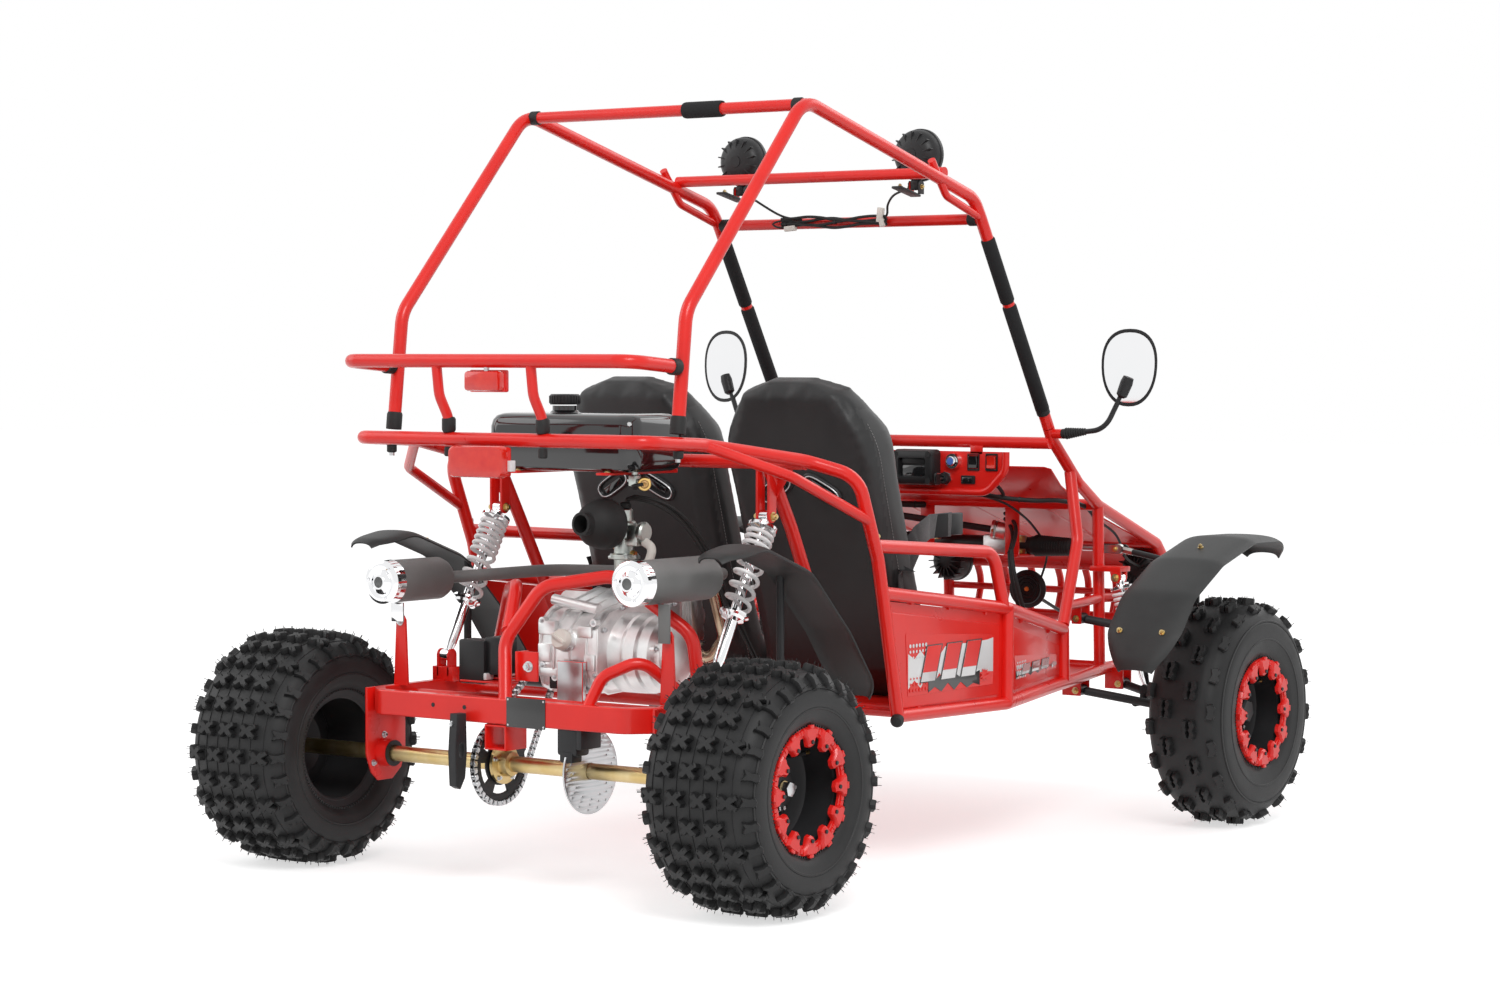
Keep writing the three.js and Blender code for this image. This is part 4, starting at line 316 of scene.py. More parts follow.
# %% [markdown]
# ## Tools: the bench
# A real piece is often several parts of several finishes, such as a bracket with its bolts. The bench
# collects such parts in one mesh. Lathed, swept and plate parts are made on it directly, and what a
# node tree made is added to it. Sizes are in millimetres, while places and rows of points are in metres.
# Sharp edges are marked at the end, so round sides shade smoothly.


# %% Sweep frames along a line
def filleted(points, bend, step=radians(9)):
    """The line with its corners rounded to a bend radius."""
    line = [points[0]]
    for before, corner, after in zip(points, points[1:], points[2:]):
        inward, outward = corner - before, after - corner
        turn = inward.angle(outward)
        room = min(inward.length, outward.length) * 0.48
        if turn < radians(2) or bend <= 0:
            line.append(corner)
            continue
        leg = min(bend * tan(turn / 2), room)
        radius = leg / tan(turn / 2)
        inward, outward = inward.normalized(), outward.normalized()
        centre = corner + (outward - inward).normalized() * radius / cos(turn / 2)
        start, end = corner - inward * leg - centre, corner + outward * leg - centre
        count = max(2, ceil(turn / step))
        for i in range(count + 1):
            share = i / count
            line.append(centre + (start * sin((1 - share) * turn) + end * sin(share * turn)) / sin(turn))
    line.append(points[-1])
    return line


def frames_along(line, closed=False):
    """At each point of a line, two directions square to it that don't twist."""
    count = len(line)
    ways = []
    for i in range(count):
        back = line[i - 1] if i or closed else line[i]
        ahead = line[(i + 1) % count] if i < count - 1 or closed else line[i]
        ways.append((ahead - back).normalized())
    side = ways[0].orthogonal().normalized()
    frames = []
    for i, way in enumerate(ways):
        if i:
            side = (ways[i - 1].rotation_difference(way) @ side).normalized()
        side = (side - way * side.dot(way)).normalized()
        frames.append((side, way.cross(side)))
    return frames


def length_of(line):
    return sum((b - a).length for a, b in zip(line, line[1:]))


def circle(middle, a, b, radius, sides):
    turns = [2 * pi * k / sides for k in range(sides)]
    return [middle + (a * cos(t) + b * sin(t)) * radius for t in turns]


def ring_of(count, radius, start=0.0, middle=(0, 0)):
    turns = [start + 2 * pi * i / count for i in range(count)]
    return [(middle[0] + radius * cos(t), middle[1] + radius * sin(t)) for t in turns]


def metres(rows):
    """Rows that are written as text are in millimetres, and all others are in metres."""
    return numbers(rows, MM) if isinstance(rows, str) else rows


# %% The bench
SHARP = radians(34)


class Bench:
    """Collects the surfaces of one piece, each with its finish."""

    def __init__(self):
        self.mesh = bmesh.new()
        self.finishes = []

    def number(self, made_of):
        if made_of not in self.finishes:
            self.finishes.append(made_of)
        return self.finishes.index(made_of)

    def faces(self, verts, faces, made_of):
        points = [self.mesh.verts.new(v) for v in verts]
        made = [self.mesh.faces.new([points[i] for i in face]) for face in faces]
        for face in made:
            face.material_index = self.number(made_of)
            face.smooth = True
        bmesh.ops.recalc_face_normals(self.mesh, faces=made)
        return points, made

    def loft(self, rings, made_of, closed=False, caps=True):
        """Skin over rings of points. Closed joins the last ring to the first."""
        size = len(rings[0])
        verts = [p for ring in rings for p in ring]
        faces = []
        for i in range(len(rings) if closed else len(rings) - 1):
            first, second = i * size, ((i + 1) % len(rings)) * size
            for k in range(size):
                faces.append((first + k, first + (k + 1) % size, second + (k + 1) % size, second + k))
        if caps and not closed:
            faces.append(tuple(range(size))[::-1])
            faces.append(tuple(range(len(verts) - size, len(verts))))
        return self.faces(verts, faces, made_of)

    def sweep(self, points, radius, made_of, bend=0.0, sides=16, closed=False):
        line = filleted(points, bend) if not closed else points
        radii = radius if isinstance(radius, list) else [radius] * len(line)
        rings = [circle(p, a, b, r * MM, sides) for p, (a, b), r in zip(line, frames_along(line, closed), radii)]
        return self.loft(rings, made_of, closed=closed)

    def rod(self, start, end, radius, made_of, sides=24):
        return self.sweep([start, end], radius, made_of, sides=sides)

    def lathe(self, rows, centre, way, made_of, sides=40, closed=False):
        """Rows of distance along the axis and radius, turned about it."""
        way = Vector(way).normalized()
        a = way.orthogonal().normalized()
        b = way.cross(a)
        rings = [circle(centre + way * along, a, b, radius, sides) for along, radius in metres(rows)]
        return self.loft(rings, made_of, closed=closed, caps=not closed)

    def ring(self, rows, centre, way, made_of, sides=40):
        """A lathed part with a hole, whose rows go all round its section."""
        return self.lathe(rows, centre, way, made_of, sides, closed=True)

    def box(self, centre, size, made_of, bevel=1.2, turn=None):
        x, y, z = (s / 2 * MM for s in size)
        corners = [Vector((i * x, j * y, k * z)) for i in (-1, 1) for j in (-1, 1) for k in (-1, 1)]
        if turn:
            corners = [turn @ c for c in corners]
        sheets = [(0, 1, 3, 2), (4, 6, 7, 5), (0, 4, 5, 1), (2, 3, 7, 6), (0, 2, 6, 4), (1, 5, 7, 3)]
        made = self.faces([centre + c for c in corners], sheets, made_of)
        if bevel:
            edges = {e for f in made[1] for e in f.edges}
            bmesh.ops.bevel(self.mesh, geom=list(edges), offset=min(bevel, min(size) * 0.3) * MM, segments=2,
                affect="EDGES", profile=0.5, material=-1)

    def plate(self, outline, thickness, made_of, origin, across, up, bevel=1.0, holes=()):
        """A flat plate whose outline is given in two directions, centred on its thickness."""
        across, up = Vector(across).normalized(), Vector(up).normalized()
        out = across.cross(up)
        curve = bpy.data.curves.new("outline", "CURVE")
        curve.dimensions = "2D"
        curve.fill_mode = "BOTH"
        for loop in (metres(outline), *holes):
            spline = curve.splines.new("POLY")
            spline.points.add(len(loop) - 1)
            for point, (a, b) in zip(spline.points, loop):
                point.co = (a, b, 0, 1)
            spline.use_cyclic_u = True
        curve.extrude = max(thickness / 2 - bevel, thickness * 0.1) * MM
        curve.bevel_depth = bevel * MM
        curve.bevel_resolution = 1
        curve.offset = -bevel * MM
        mesh = mesh_of(placed("outline", curve))
        turn = Matrix((across, up, out)).transposed().to_4x4()
        turn.translation = origin
        mesh.transform(turn)
        self.add(mesh, made_of, weld=1e-6)

    def add(self, mesh, made_of=None, weld=0.0):
        """Takes a finished mesh in, with its own finishes or with one given here."""
        numbers = [self.number(m) for m in mesh.materials if m]
        before = len(self.mesh.faces)
        first = len(self.mesh.verts)
        self.mesh.from_mesh(mesh)
        self.mesh.faces.ensure_lookup_table()
        self.mesh.verts.ensure_lookup_table()
        for face in self.mesh.faces[before:]:
            if made_of:
                face.material_index = self.number(made_of)
            else:
                face.material_index = numbers[min(face.material_index, len(numbers) - 1)]
            face.smooth = True
        if weld:
            bmesh.ops.remove_doubles(self.mesh, verts=self.mesh.verts[first:], dist=weld)
            self.mesh.faces.ensure_lookup_table()
            bmesh.ops.recalc_face_normals(self.mesh, faces=self.mesh.faces[before:])
        bpy.data.meshes.remove(mesh)

    def mirror(self):
        """Turns everything so far to the kart's other side."""
        for v in self.mesh.verts:
            v.co.x = -v.co.x
        bmesh.ops.reverse_faces(self.mesh, faces=self.mesh.faces)
        return self

    def piece(self, name, body, slot=None, replaces=()):
        self.mesh.normal_update()
        for edge in self.mesh.edges:
            if len(edge.link_faces) == 2 and edge.calc_face_angle(0.0) > SHARP:
                edge.smooth = False
        mesh = bpy.data.meshes.new(name)
        self.mesh.to_mesh(mesh)
        self.mesh.free()
        for made_of in self.finishes:
            mesh.materials.append(made_of)
        made = placed(name, mesh)
        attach(made, body)
        if replaces:
            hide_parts(*replaces)
        print(name, len(mesh.polygons), "faces")
        return made

    def dress(self, node, body, slot):
        """Ends a piece that stands in for one node of the frame."""
        return self.piece(node + "_dressed", body, slot, [node])


# %% [markdown]
# ## The pipe tree
# The frame is bent from round pipe. Each pipe is a bare line whose points carry the pipe's radius and
# its bend radius. The tree rounds the corners, sweeps a circle along the line and closes both ends.

# %% Pipes
pipe_tree, pipe_in, pipe_out = new_tree("pipes", ("Sides", "NodeSocketInt"), ("Finish", "NodeSocketMaterial"))
line = new_node(pipe_tree, "MeshToCurve", {"Mesh": pipe_in})
bent = new_node(pipe_tree, "FilletCurve", {"Curve": line, "Radius": named(pipe_tree, "bend"), "Count": 7,
    "Limit Radius": True}, mode="POLY")
ring = new_node(pipe_tree, "CurvePrimitiveCircle", {"Resolution": pipe_in.outputs["Sides"], "Radius": 1.0},
    mode="RADIUS")
thick = new_node(pipe_tree, "SetCurveRadius", {"Curve": bent, "Radius": named(pipe_tree, "thick")})
skin = new_node(pipe_tree, "CurveToMesh", {"Curve": thick, "Profile Curve": ring, "Fill Caps": True})
if "Scale" in skin.inputs:
    pipe_tree.links.new(named(pipe_tree, "thick"), skin.inputs["Scale"])
finish_tree(pipe_tree, pipe_in, pipe_out, skin)


def pipes(lines, made_of, sides=20):
    """Lines of points, each with its pipe radius and bend radius, as one mesh of pipes."""
    points, edges, thick, bend = [], [], [], []
    for line, radius, round_off in lines:
        first = len(points)
        points += line
        edges += [(first + i, first + i + 1) for i in range(len(line) - 1)]
        thick += [radius * MM] * len(line)
        bend += [round_off * MM] * len(line)
    return grown(source_of(points, edges, thick=thick, bend=bend), pipe_tree, Sides=sides, Finish=made_of)

# %% [markdown]
# ## The frame's lines
# The photograph shows 25 mm pipe nearly everywhere, with 20 mm braces and 16 mm pickets. Each row below
# is a point on a pipe's centre line on the right side. The left side is the same, mirrored.

# %% Centre lines of the frame
PIPE, BRACE_PIPE, PICKET_PIPE, BEND = 12.5, 10, 8, 62


def across(text):
    """A line from the left side to the right one, given by its right half."""
    right = row(text)
    return flip(right)[::-1] + right


hood_side = """322,1550,655 300,1850,560 290,1925,500 290,1930,382 300,1750,312 315,1652,303 320,1598,303
    486,904,292 486,514,300"""
frame_across = [
    (across("""300,-73,820 338,-73,820 340,98,812 411,317,780 488,374,752 488,441,597 486,514,300"""), PIPE, BEND),
    *((across(end), PIPE, 0) for end in ("411,317,776", "333,1330,792", "486,590,300", "486,904,292",
        "320,1598,303", "322,1550,655", "300,1850,560", "290,1925,500", "290,1930,382")),
    (across("300,1935,440"), PICKET_PIPE, 0),
]
frame_one_side = [(row("325,317,776 326,392,654 318,590,300"), PIPE, BEND),
    (row("340,98,812 457,211,754 490,408,670"), BRACE_PIPE, 40), (row("486,432,622 486,852,592 486,892,482"), PIPE,
    50), (row("486,458,534 486,908,479 393,1284,409"), PIPE, 20), (row("486,908,479 486,906,292"), PIPE, 0),
    (row("393,1284,409 395,1284,297"), PIPE, 0),
    (row("332,1323,824 332,1338,800 333,1404,742 333,1446,706 " + hood_side), PIPE, 30),
    (row("393,1284,418 365,1390,587 333,1412,730"), PIPE, BEND), (row("322,1550,655 322,1562,303"), PIPE, 0),
    (row("387,1307,455 322,1557,455"), BRACE_PIPE, 0), (row("322,1562,455 345,1642,455"), BRACE_PIPE, 0),
    (row("332,1330,812 361.5,1330,812"), 10, 0),]
PICKETS, PICKET_SPREAD = 7, 432
for number in range(PICKETS):
    x = PICKET_SPREAD * (number / (PICKETS - 1) - 0.5)
    frame_across.append((row(f"{x},1925,505 {x},1955,452 {x},1930,382"), PICKET_PIPE, BEND))


def both_sides(lines):
    return lines + [(flip(line), radius, bend) for line, radius, bend in lines]


print(len(frame_across) + 2 * len(frame_one_side), "pipes in the main frame")

# %% [markdown]
# ## The bolt tree
# Hex bolts with a washer hold nearly everything. A bolt is drawn once inside the tree, from a six sided
# cylinder on a flat round one, and set on every point along the direction that the point carries.

# %% Bolts
bolt_tree, bolt_in, bolt_out = new_tree("bolts", ("Finish", "NodeSocketMaterial"))
parts = [((0, 0, 0.65), dict(Vertices=6, Radius=0.9, Depth=0.9)), (None, dict(Vertices=20, Radius=1.25, Depth=0.4)),
    ((0, 0, 1.0), dict(Vertices=12, Radius=0.48, Depth=1.0))]
bolt_parts = new_node(bolt_tree, "JoinGeometry")
for lifted, sizes in parts:
    part = new_node(bolt_tree, "MeshCylinder", sizes)
    if lifted:
        part = new_node(bolt_tree, "Transform", {"Geometry": part, "Translation": lifted})
    bolt_tree.links.new(part.outputs[0], bolt_parts.inputs[0])
turned_to = new_node(bolt_tree, "FunctionNodeAlignRotationToVector", {"Vector": named(bolt_tree, "way",
    "FLOAT_VECTOR")}, axis="Z")
set_on = new_node(bolt_tree, "InstanceOnPoints", {"Points": bolt_in, "Instance": bolt_parts, "Rotation": turned_to,
    "Scale": named(bolt_tree, "size")})
finish_tree(bolt_tree, bolt_in, bolt_out, set_on)


def bolts(places, made_of=YELLOW_ZINC):
    """Bolt heads at rows of place, direction and half width."""
    points, ways, sizes = zip(*places)
    return grown(source_of(points, way=[Vector(w).normalized() for w in ways], size=[s * MM for s in sizes]),
        bolt_tree, Finish=made_of)


# %% [markdown]
# ## Main frame
# The deck, the hood, the hangers and the lugs are plates welded to the pipes. The door skins are pressed
# sheets: a flat border, a raised field, and a printed graphic on the field. They are held by short
# tabs, with a dark gap all round.

# %% Plates of the main frame
main = Bench()
main.add(pipes(frame_across + both_sides(frame_one_side), RED))
deck = [(470, 566), (470, 904), (300, 1640)]
deck_outline = [at(x, y, 0).xy for x, y in deck] + [at(-x, y, 0).xy for x, y in deck[::-1]]
main.plate(deck_outline, 3, RED, Vector((0, 0, 302 * MM)), X, Y)
hood = [(1404, 742), (1446, 706), (1550, 655), (1850, 560), (1925, 500)]
HOOD_HALF = 292
hood_rings = []
for share in (-1, -0.94, -0.3, 0.3, 0.94, 1):
    x, dip = share * HOOD_HALF, 6 if abs(share) == 1 else 2
    hood_rings.append([at(x, y, z - dip) for y, z in hood] + [at(x, y - 1, z - 3 - dip) for y, z in hood[::-1]])
main.loft(hood_rings, RED)
for x in (-180, 0, 180):
    main.box(at(x, 1700, 604.5), (12, 260, 6), RED, turn=Matrix.Rotation(-0.307, 3, "X"))

EYE, EAR, EAR_GAP, EYE_HALF = 12, 5, 0.4, 10
frame_bolts = []


def ears(bench, place, way, reach, made_of, half=EYE):
    """Two round ended ears on either side of an eye, from the eye up or down to what carries them."""
    half, reach = half * MM, reach * MM
    end = [(half * cos(t), half * sin(t)) for t in (pi * i / 12 for i in range(13))]
    if reach > 0:
        outline = [(a, -b) for a, b in end][::-1] + [(half, reach), (-half, reach)]
    else:
        outline = end + [(-half, reach), (half, reach)]
    for hand in (-1, 1):
        bench.plate(outline, EAR, made_of, place + way * hand * (EYE_HALF + EAR_GAP + EAR / 2) * MM, way.cross(Z), Z)


def ear_bolts(place, way):
    return [(place + way * hand * (EYE_HALF + EAR_GAP + EAR) * MM, way * hand, 7) for hand in (-1, 1)]


for side, hand in SIDES:
    shock_top = at(hand * 385, 1531.5, 503)
    ears(main, shock_top, Y, 24, RED)
    frame_bolts += ear_bolts(shock_top, Y)
    main.box(at(hand * 359.5, 1537.7, 521), (75, 44, 11), RED)
    ears(main, at(hand * 319, 322, 676), X, 96, RED)
    frame_bolts += ear_bolts(at(hand * 319, 322, 676), X)
    gusset = [(0.0, 0.0), (0.0, 0.075), (hand * 0.05, 0.075)]
    main.plate(gusset, 4, RED, at(hand * 326, 336, 698), X, Z)
    for y in (1440, 1622):
        for way in (-1, 1):
            main.box(at(hand * 334, y + way * 17.9, 280), (44, 5, 46), RED)
            main.box(at(hand * 345, y + way * 17.9, 432), (22, 5, 46), RED)
            frame_bolts.append((at(hand * 345, y + way * 20.4, 268), (0, way, 0), 6))
            frame_bolts.append((at(hand * 345, y + way * 20.4, 420), (0, way, 0), 6))
        for z in (268, 420):
            main.rod(at(hand * 345, y - 20, z), at(hand * 345, y + 20, z), 5, ZINC, 12)
    ear_x = hand * 338
    swing_ear = [(590, 287), (466, 314), (462, 330), (470, 346), (492, 348), (590, 312)]
    main.plate([at(0, y, z).yz for y, z in swing_ear], 5, RED, Vector((ear_x * MM, 0, 0)), Y, Z)
    main.rod(at(ear_x, 480, 330), at(hand * 305, 480, 330), 8, ZINC, 16)
    frame_bolts.append((at(hand * 340.5, 480, 330), (hand, 0, 0), 10))
    frame_bolts.append((at(hand * 488, 436, 640), (hand, 0, 0), 5))
    main.lathe("0,0 0,11.8 16,12.8 24,9 26,0", at(hand * 486, 514, 296), (hand * 0.5, -1, -0.25), SOFT_RUBBER, 20)
for x in (-105.6, 105.6):
    main.box(at(x, 209, 755.2), (25, 216, 5), RED)
    main.box(at(x, 317, 768), (25, 5, 30), RED)
    frame_bolts.append((at(x, 120, 758), Z, 5))
COLUMN_TILT = radians(38)
column_way = Vector((0, cos(COLUMN_TILT), -sin(COLUMN_TILT)))
wheel_middle = at(-195, 1270, 784)
collar = wheel_middle + column_way * 0.130
column_up = Vector((0, sin(COLUMN_TILT), cos(COLUMN_TILT)))
main.rod(collar - column_way * 0.018, collar + column_way * 0.018, 15.5, RED, 20)
main.rod(at(-195, 1330, 792), collar + column_up * 0.015, PICKET_PIPE, RED)
for x in (-109.2, 109.2):
    main.box(at(x, 1584, 539), (34, 88, 6), RED)
    main.box(at(x, 1550, 590), (34, 6, 108), RED)
main.rod(at(-317, 1490, 332), at(-88, 1490, 332), 8, BLACK, 16)
for x in (-317, -88):
    main.box(at(x, 1490, 317), (6, 30, 42), RED)

# %% [markdown]
# The door skins: each is a border sheet with a pressed field, and a graphic of cut vinyl film. The
# graphic here is a plain racing design of the same colours: slanted bars, torn sheets, a burst and dots.


# %% Door skins and their graphics
def skin_frame(hand, rear, front):
    """The directions along a door and up it, and its outward normal."""
    along = (front - rear).normalized()
    out = along.cross(Z).normalized()
    if out.x * hand < 0:
        out = -out
    return along, Vector((0, 0, 1)), out


def burst(centre, inner, outer, points, squash=1.0):
    rows = []
    for i in range(points * 2):
        radius = outer * (0.82 + 0.18 * cos(i * 2.4)) if i % 2 == 0 else inner
        rows.append((centre[0] + radius * cos(pi * i / points), centre[1] + radius * squash * sin(pi * i / points)))
    return rows


def slanted(x, low, high, width, lean=0.35):
    rise = high - low
    return [(x, low), (x + width, low), (x + width + rise * lean, high), (x + rise * lean, high)]


FILM = 0.4


def torn(left, right, low, high, teeth, depth, slope=0.0):
    """A band with ragged edges, like a torn sheet."""
    lower, upper = [], []
    for i in range(teeth + 1):
        x = left + (right - left) * i / teeth
        ragged = depth * (0.5 + 0.5 * sin(i * 2.7)) * (1 if i % 2 else 0.25)
        lower.append((x, low + ragged + slope * i / teeth))
        upper.append((x, high - ragged * 0.8 + slope * i / teeth))
    return lower + upper[::-1]


def graphic(bench, face, along, up, wide, top, bold):
    """Sheets of cut film in layers: a red field, two torn ones, three slanted bars, a burst and dots."""
    mark = RED_PLASTIC if bold else WHITE_SHEET
    left, right, low, high = 0.05, wide - 0.045, 0.334, top - 0.036
    tall = high - low

    def film(outline, made_of, layer):
        lift = along.cross(up) * (1 if face.x > 0 else -1) * FILM * layer * 1.2 * MM
        bench.plate(outline, FILM, made_of, face + lift, along, up, bevel=0.1)

    film([(left, low), (right, low), (right, high), (left - 0.008, high + 0.02)], RED_PLASTIC, 0)
    if bold:
        film(torn(left, right, low + tall * 0.10, high - tall * 0.16, 14, tall * 0.26, tall * 0.12), WHITE_SHEET, 1)
        film(torn(left + 0.07, right - 0.05, low, low + tall * 0.34, 8, tall * 0.16), BLACK_SHEET, 2)
    else:
        film(torn(left, left + (right - left) * 0.62, low, low + tall * 0.62, 7, tall * 0.30), BLACK_SHEET, 1)
        film(torn(left + (right - left) * 0.4, right, low + tall * 0.1, low + tall * 0.55, 7, tall * 0.3), DEEP_RED,
            2)
    step, bar = (right - left) * 0.235, (right - left) * 0.16
    for i in range(3):
        x = left + (right - left) * 0.14 + i * step
        film(slanted(x - 0.004, low + tall * 0.22, high - tall * 0.06, bar + 0.008), BLACK_SHEET, 3)
        film(slanted(x, low + tall * 0.24, high - tall * 0.08, bar), WHITE_SHEET, 4)
        rise = tall * 0.30 * 0.35
        film([(a + rise * 0.6, b) for a, b in slanted(x, low + tall * 0.42, high - tall * 0.08, bar)], RED_PLASTIC
            if bold else DEEP_RED, 5)
    film(burst((right - 0.035, low + tall * 0.22), tall * 0.09, tall * 0.2, 9, 0.9), mark, 5)
    for i in range(6):
        for k in range(3):
            size = 0.0038 - k * 0.0008
            film(ring_of(8, size, middle=(left + 0.008 + i * 0.011, low + 0.010 + k * 0.011)), mark, 3)
            film(ring_of(8, size, middle=(left + 0.006 + i * 0.011, high - 0.004 - k * 0.011)), WHITE_SHEET, 3)


for side, hand in SIDES:
    doors = [
        (at(hand * 479.5, 500, 0), at(hand * 479.5, 906, 0), "0,300 400,293 400,468 -42,520"),
        (at(hand * 479, 912, 0), at(hand * 388.5, 1284, 0), "0,294 375,300 375,398 0,466"),
    ]
    for number, (rear, front, rows) in enumerate(doors):
        outline = metres(rows)
        along, up, out = skin_frame(hand, rear, front)
        inner = [(0.022, 0.312), (outline[1][0] - 0.02, outline[1][1] + 0.018),
            (outline[2][0] - 0.02, outline[2][1] - 0.02), (outline[3][0] + 0.022, outline[3][1] - 0.022)]
        main.plate(outline, 2, RED, rear, along, up, bevel=0.6)
        main.plate(inner, 5, RED, rear + out * 0.002, along, up, bevel=2)
        tabs = 3 if number == 0 else 2
        for i in range(tabs):
            share = (i + 0.5) / tabs
            low = outline[0][1] + (outline[1][1] - outline[0][1]) * share
            high = outline[3][1] + (outline[2][1] - outline[3][1]) * share
            where = outline[0][0] + (outline[1][0] - outline[0][0]) * share
            for z in (low, high):
                main.box(rear + along * where + up * z, (10, 12, 12), RED)
        graphic(main, rear + out * 0.0052, along, up, outline[1][0], outline[2][1], number == 0)
main.add(bolts(frame_bolts))
main.dress("main_frame", "chassis", "red_paint")

# %% [markdown]
# ## Tools for wheels
# Knobs, bead lobes, lamp fins and bellows ribs all repeat round an axle. The tree takes one of them,
# made in place about the X axis, and sets copies of it at equal turns.

# %% Around an axle
around_tree, around_in, around_out = new_tree("around_an_axle", ("Count", "NodeSocketInt"),
    ("Finish", "NodeSocketMaterial"))
stations = new_node(around_tree, "MeshLine", {"Count": around_in.outputs["Count"], "Offset": (0, 0, 0)})
one_turn = new_node(around_tree, "ShaderNodeMath", {0: 2 * pi, 1: around_in.outputs["Count"]}, operation="DIVIDE")
turn_here = new_node(around_tree, "ShaderNodeMath", {0: one_turn, 1: new_node(around_tree, "InputIndex")},
    operation="MULTIPLY")
about_x = new_node(around_tree, "ShaderNodeCombineXYZ", {"X": turn_here})
copies = new_node(around_tree, "InstanceOnPoints", {"Points": stations, "Instance": around_in, "Rotation": about_x})
finish_tree(around_tree, around_in, around_out, copies)


def loose(bench):
    """A bare object of what is on a bench, for a tree to repeat."""
    mesh = bpy.data.meshes.new("loose")
    bench.mesh.to_mesh(mesh)
    bench.mesh.free()
    return placed("loose", mesh)


def around(bench, count, made_of):
    return grown(loose(bench), around_tree, Count=count, Finish=made_of)


def onto_wheel(bench, wheel, hand):
    """Moves a tyre or rim from the origin to its wheel's place. The left ones are turned round."""
    place = Matrix.Translation(Vector((hand * wheel["x"], wheel["y"] + AXLE_Y, wheel["z"])))
    bench.mesh.transform(place @ Matrix.Rotation(pi, 4, "Z") if hand < 0 else place)


# %% [markdown]
# ## Tyres
# The rear tyres are wide and round, with cross shaped knobs in staggered rows. The front ones are narrow,
# with split blocks. A tyre's section is one smooth line from the crown to the bead. A knob is drawn flat,
# as distances across and round the tyre, then laid on that line and raised along its normal.

# %% A tyre's section and its knobs
REAR_WHEEL = dict(width=0.235, top=0.2241, x=0.537, y=0.0, z=0.22411, disc=0.022)
FRONT_WHEEL = dict(width=0.172, top=0.2369, x=0.648, y=1531.5 * MM, z=0.23686, disc=0.008)
RIM_RADIUS = 0.104
KNOB_HIGH = 0.013
HAIR_LONG, HAIR_SIZE = 0.008, 0.6


def section_of(wheel):
    """Half of the section from the crown to the bead, as closely spaced points."""
    half, crown = wheel["width"] / 2, wheel["top"] - KNOB_HIGH - 0.0005
    deep = crown - RIM_RADIUS
    rows = [(0, crown), (half * 0.5, crown - 0.0015), (half * 0.84, crown - deep * 0.10),
        (half * 0.99, crown - deep * 0.34), (half, crown - deep * 0.56), (half * 0.93, crown - deep * 0.84),
        (half * 0.76, RIM_RADIUS + 0.002)]
    return filleted([Vector((a, b, 0)) for a, b in rows], 0.05, radians(4))


def on_section(line, s):
    """The point and the outward normal at a distance from the crown along the section."""
    left = abs(s)
    for a, b in zip(line, line[1:]):
        step = (b - a).length
        if left <= step or b is line[-1]:
            p = a.lerp(b, min(left / step, 1.0))
            way = (b - a) / step
            hand = 1 if s >= 0 else -1
            return Vector((p.x * hand, p.y)), Vector((-way.y * hand, way.x))
        left -= step


def laid(line, across_at, round_at, lift):
    """The point over a flat place on the tread, raised by lift, and the direction straight out of it."""
    p, normal = on_section(line, across_at)
    turn = round_at / line[0].y
    out = p + normal * lift
    return (Vector((out.x, out.y * sin(turn), out.y * cos(turn))), Vector((normal.x, normal.y * sin(turn),
        normal.y * cos(turn))))


def knob(bench, line, outline, high, hairs=()):
    """A tread block, with distances across the tyre and round it, and moulding hairs near some corners."""
    middle = [sum(p[i] for p in outline) / len(outline) for i in (0, 1)]

    def drawn_in(place, share):
        return [m + (a - m) * share for m, a in zip(middle, place)]

    bench.loft([[laid(line, *drawn_in(place, share), lift)[0] for place in outline] for lift,
        share in ((-0.003, 1.06), (high * 0.85, 0.96), (high, 0.86))], RUBBER)
    for corner in hairs:
        foot, way = laid(line, *drawn_in(outline[corner], 0.74), high - 0.001)
        radius = hypot(foot.y, foot.z)
        room = (line[0].y + KNOB_HIGH + 0.003 - radius) / max(0.15, abs(on_section(line, outline[corner][0])[1].y))
        bench.rod(foot, foot + way * max(0.0025, min(HAIR_LONG, room)), HAIR_SIZE, RUBBER, 4)


def moved(outline, across_by, round_by, hand=1):
    return [((a + across_by) * hand, b + round_by) for a, b in (outline if hand > 0 else outline[::-1])]


CROSS = numbers("-18,-7 -15,-14 -7,-12 0,-5 7,-12 15,-14 18,-7 10,0 18,7 15,14 7,12 0,5 -7,12 -15,14 -18,7 -10,0", MM)
SHOULDER = numbers("-14,-10 0,-8 14,-12 16,0 12,9 2,6 -12,11 -8,2", MM)
HALF_BLOCK = numbers("1.5,-17 10,-19 14,-10 10,-2 14,8 11,19 2,17 4.5,6 1,0 4.5,-6", MM)
EDGE_BLOCK = numbers("-8,-15 5,-18 9,-8 5,0 9,9 5,18 -8,15 -5,0", MM)


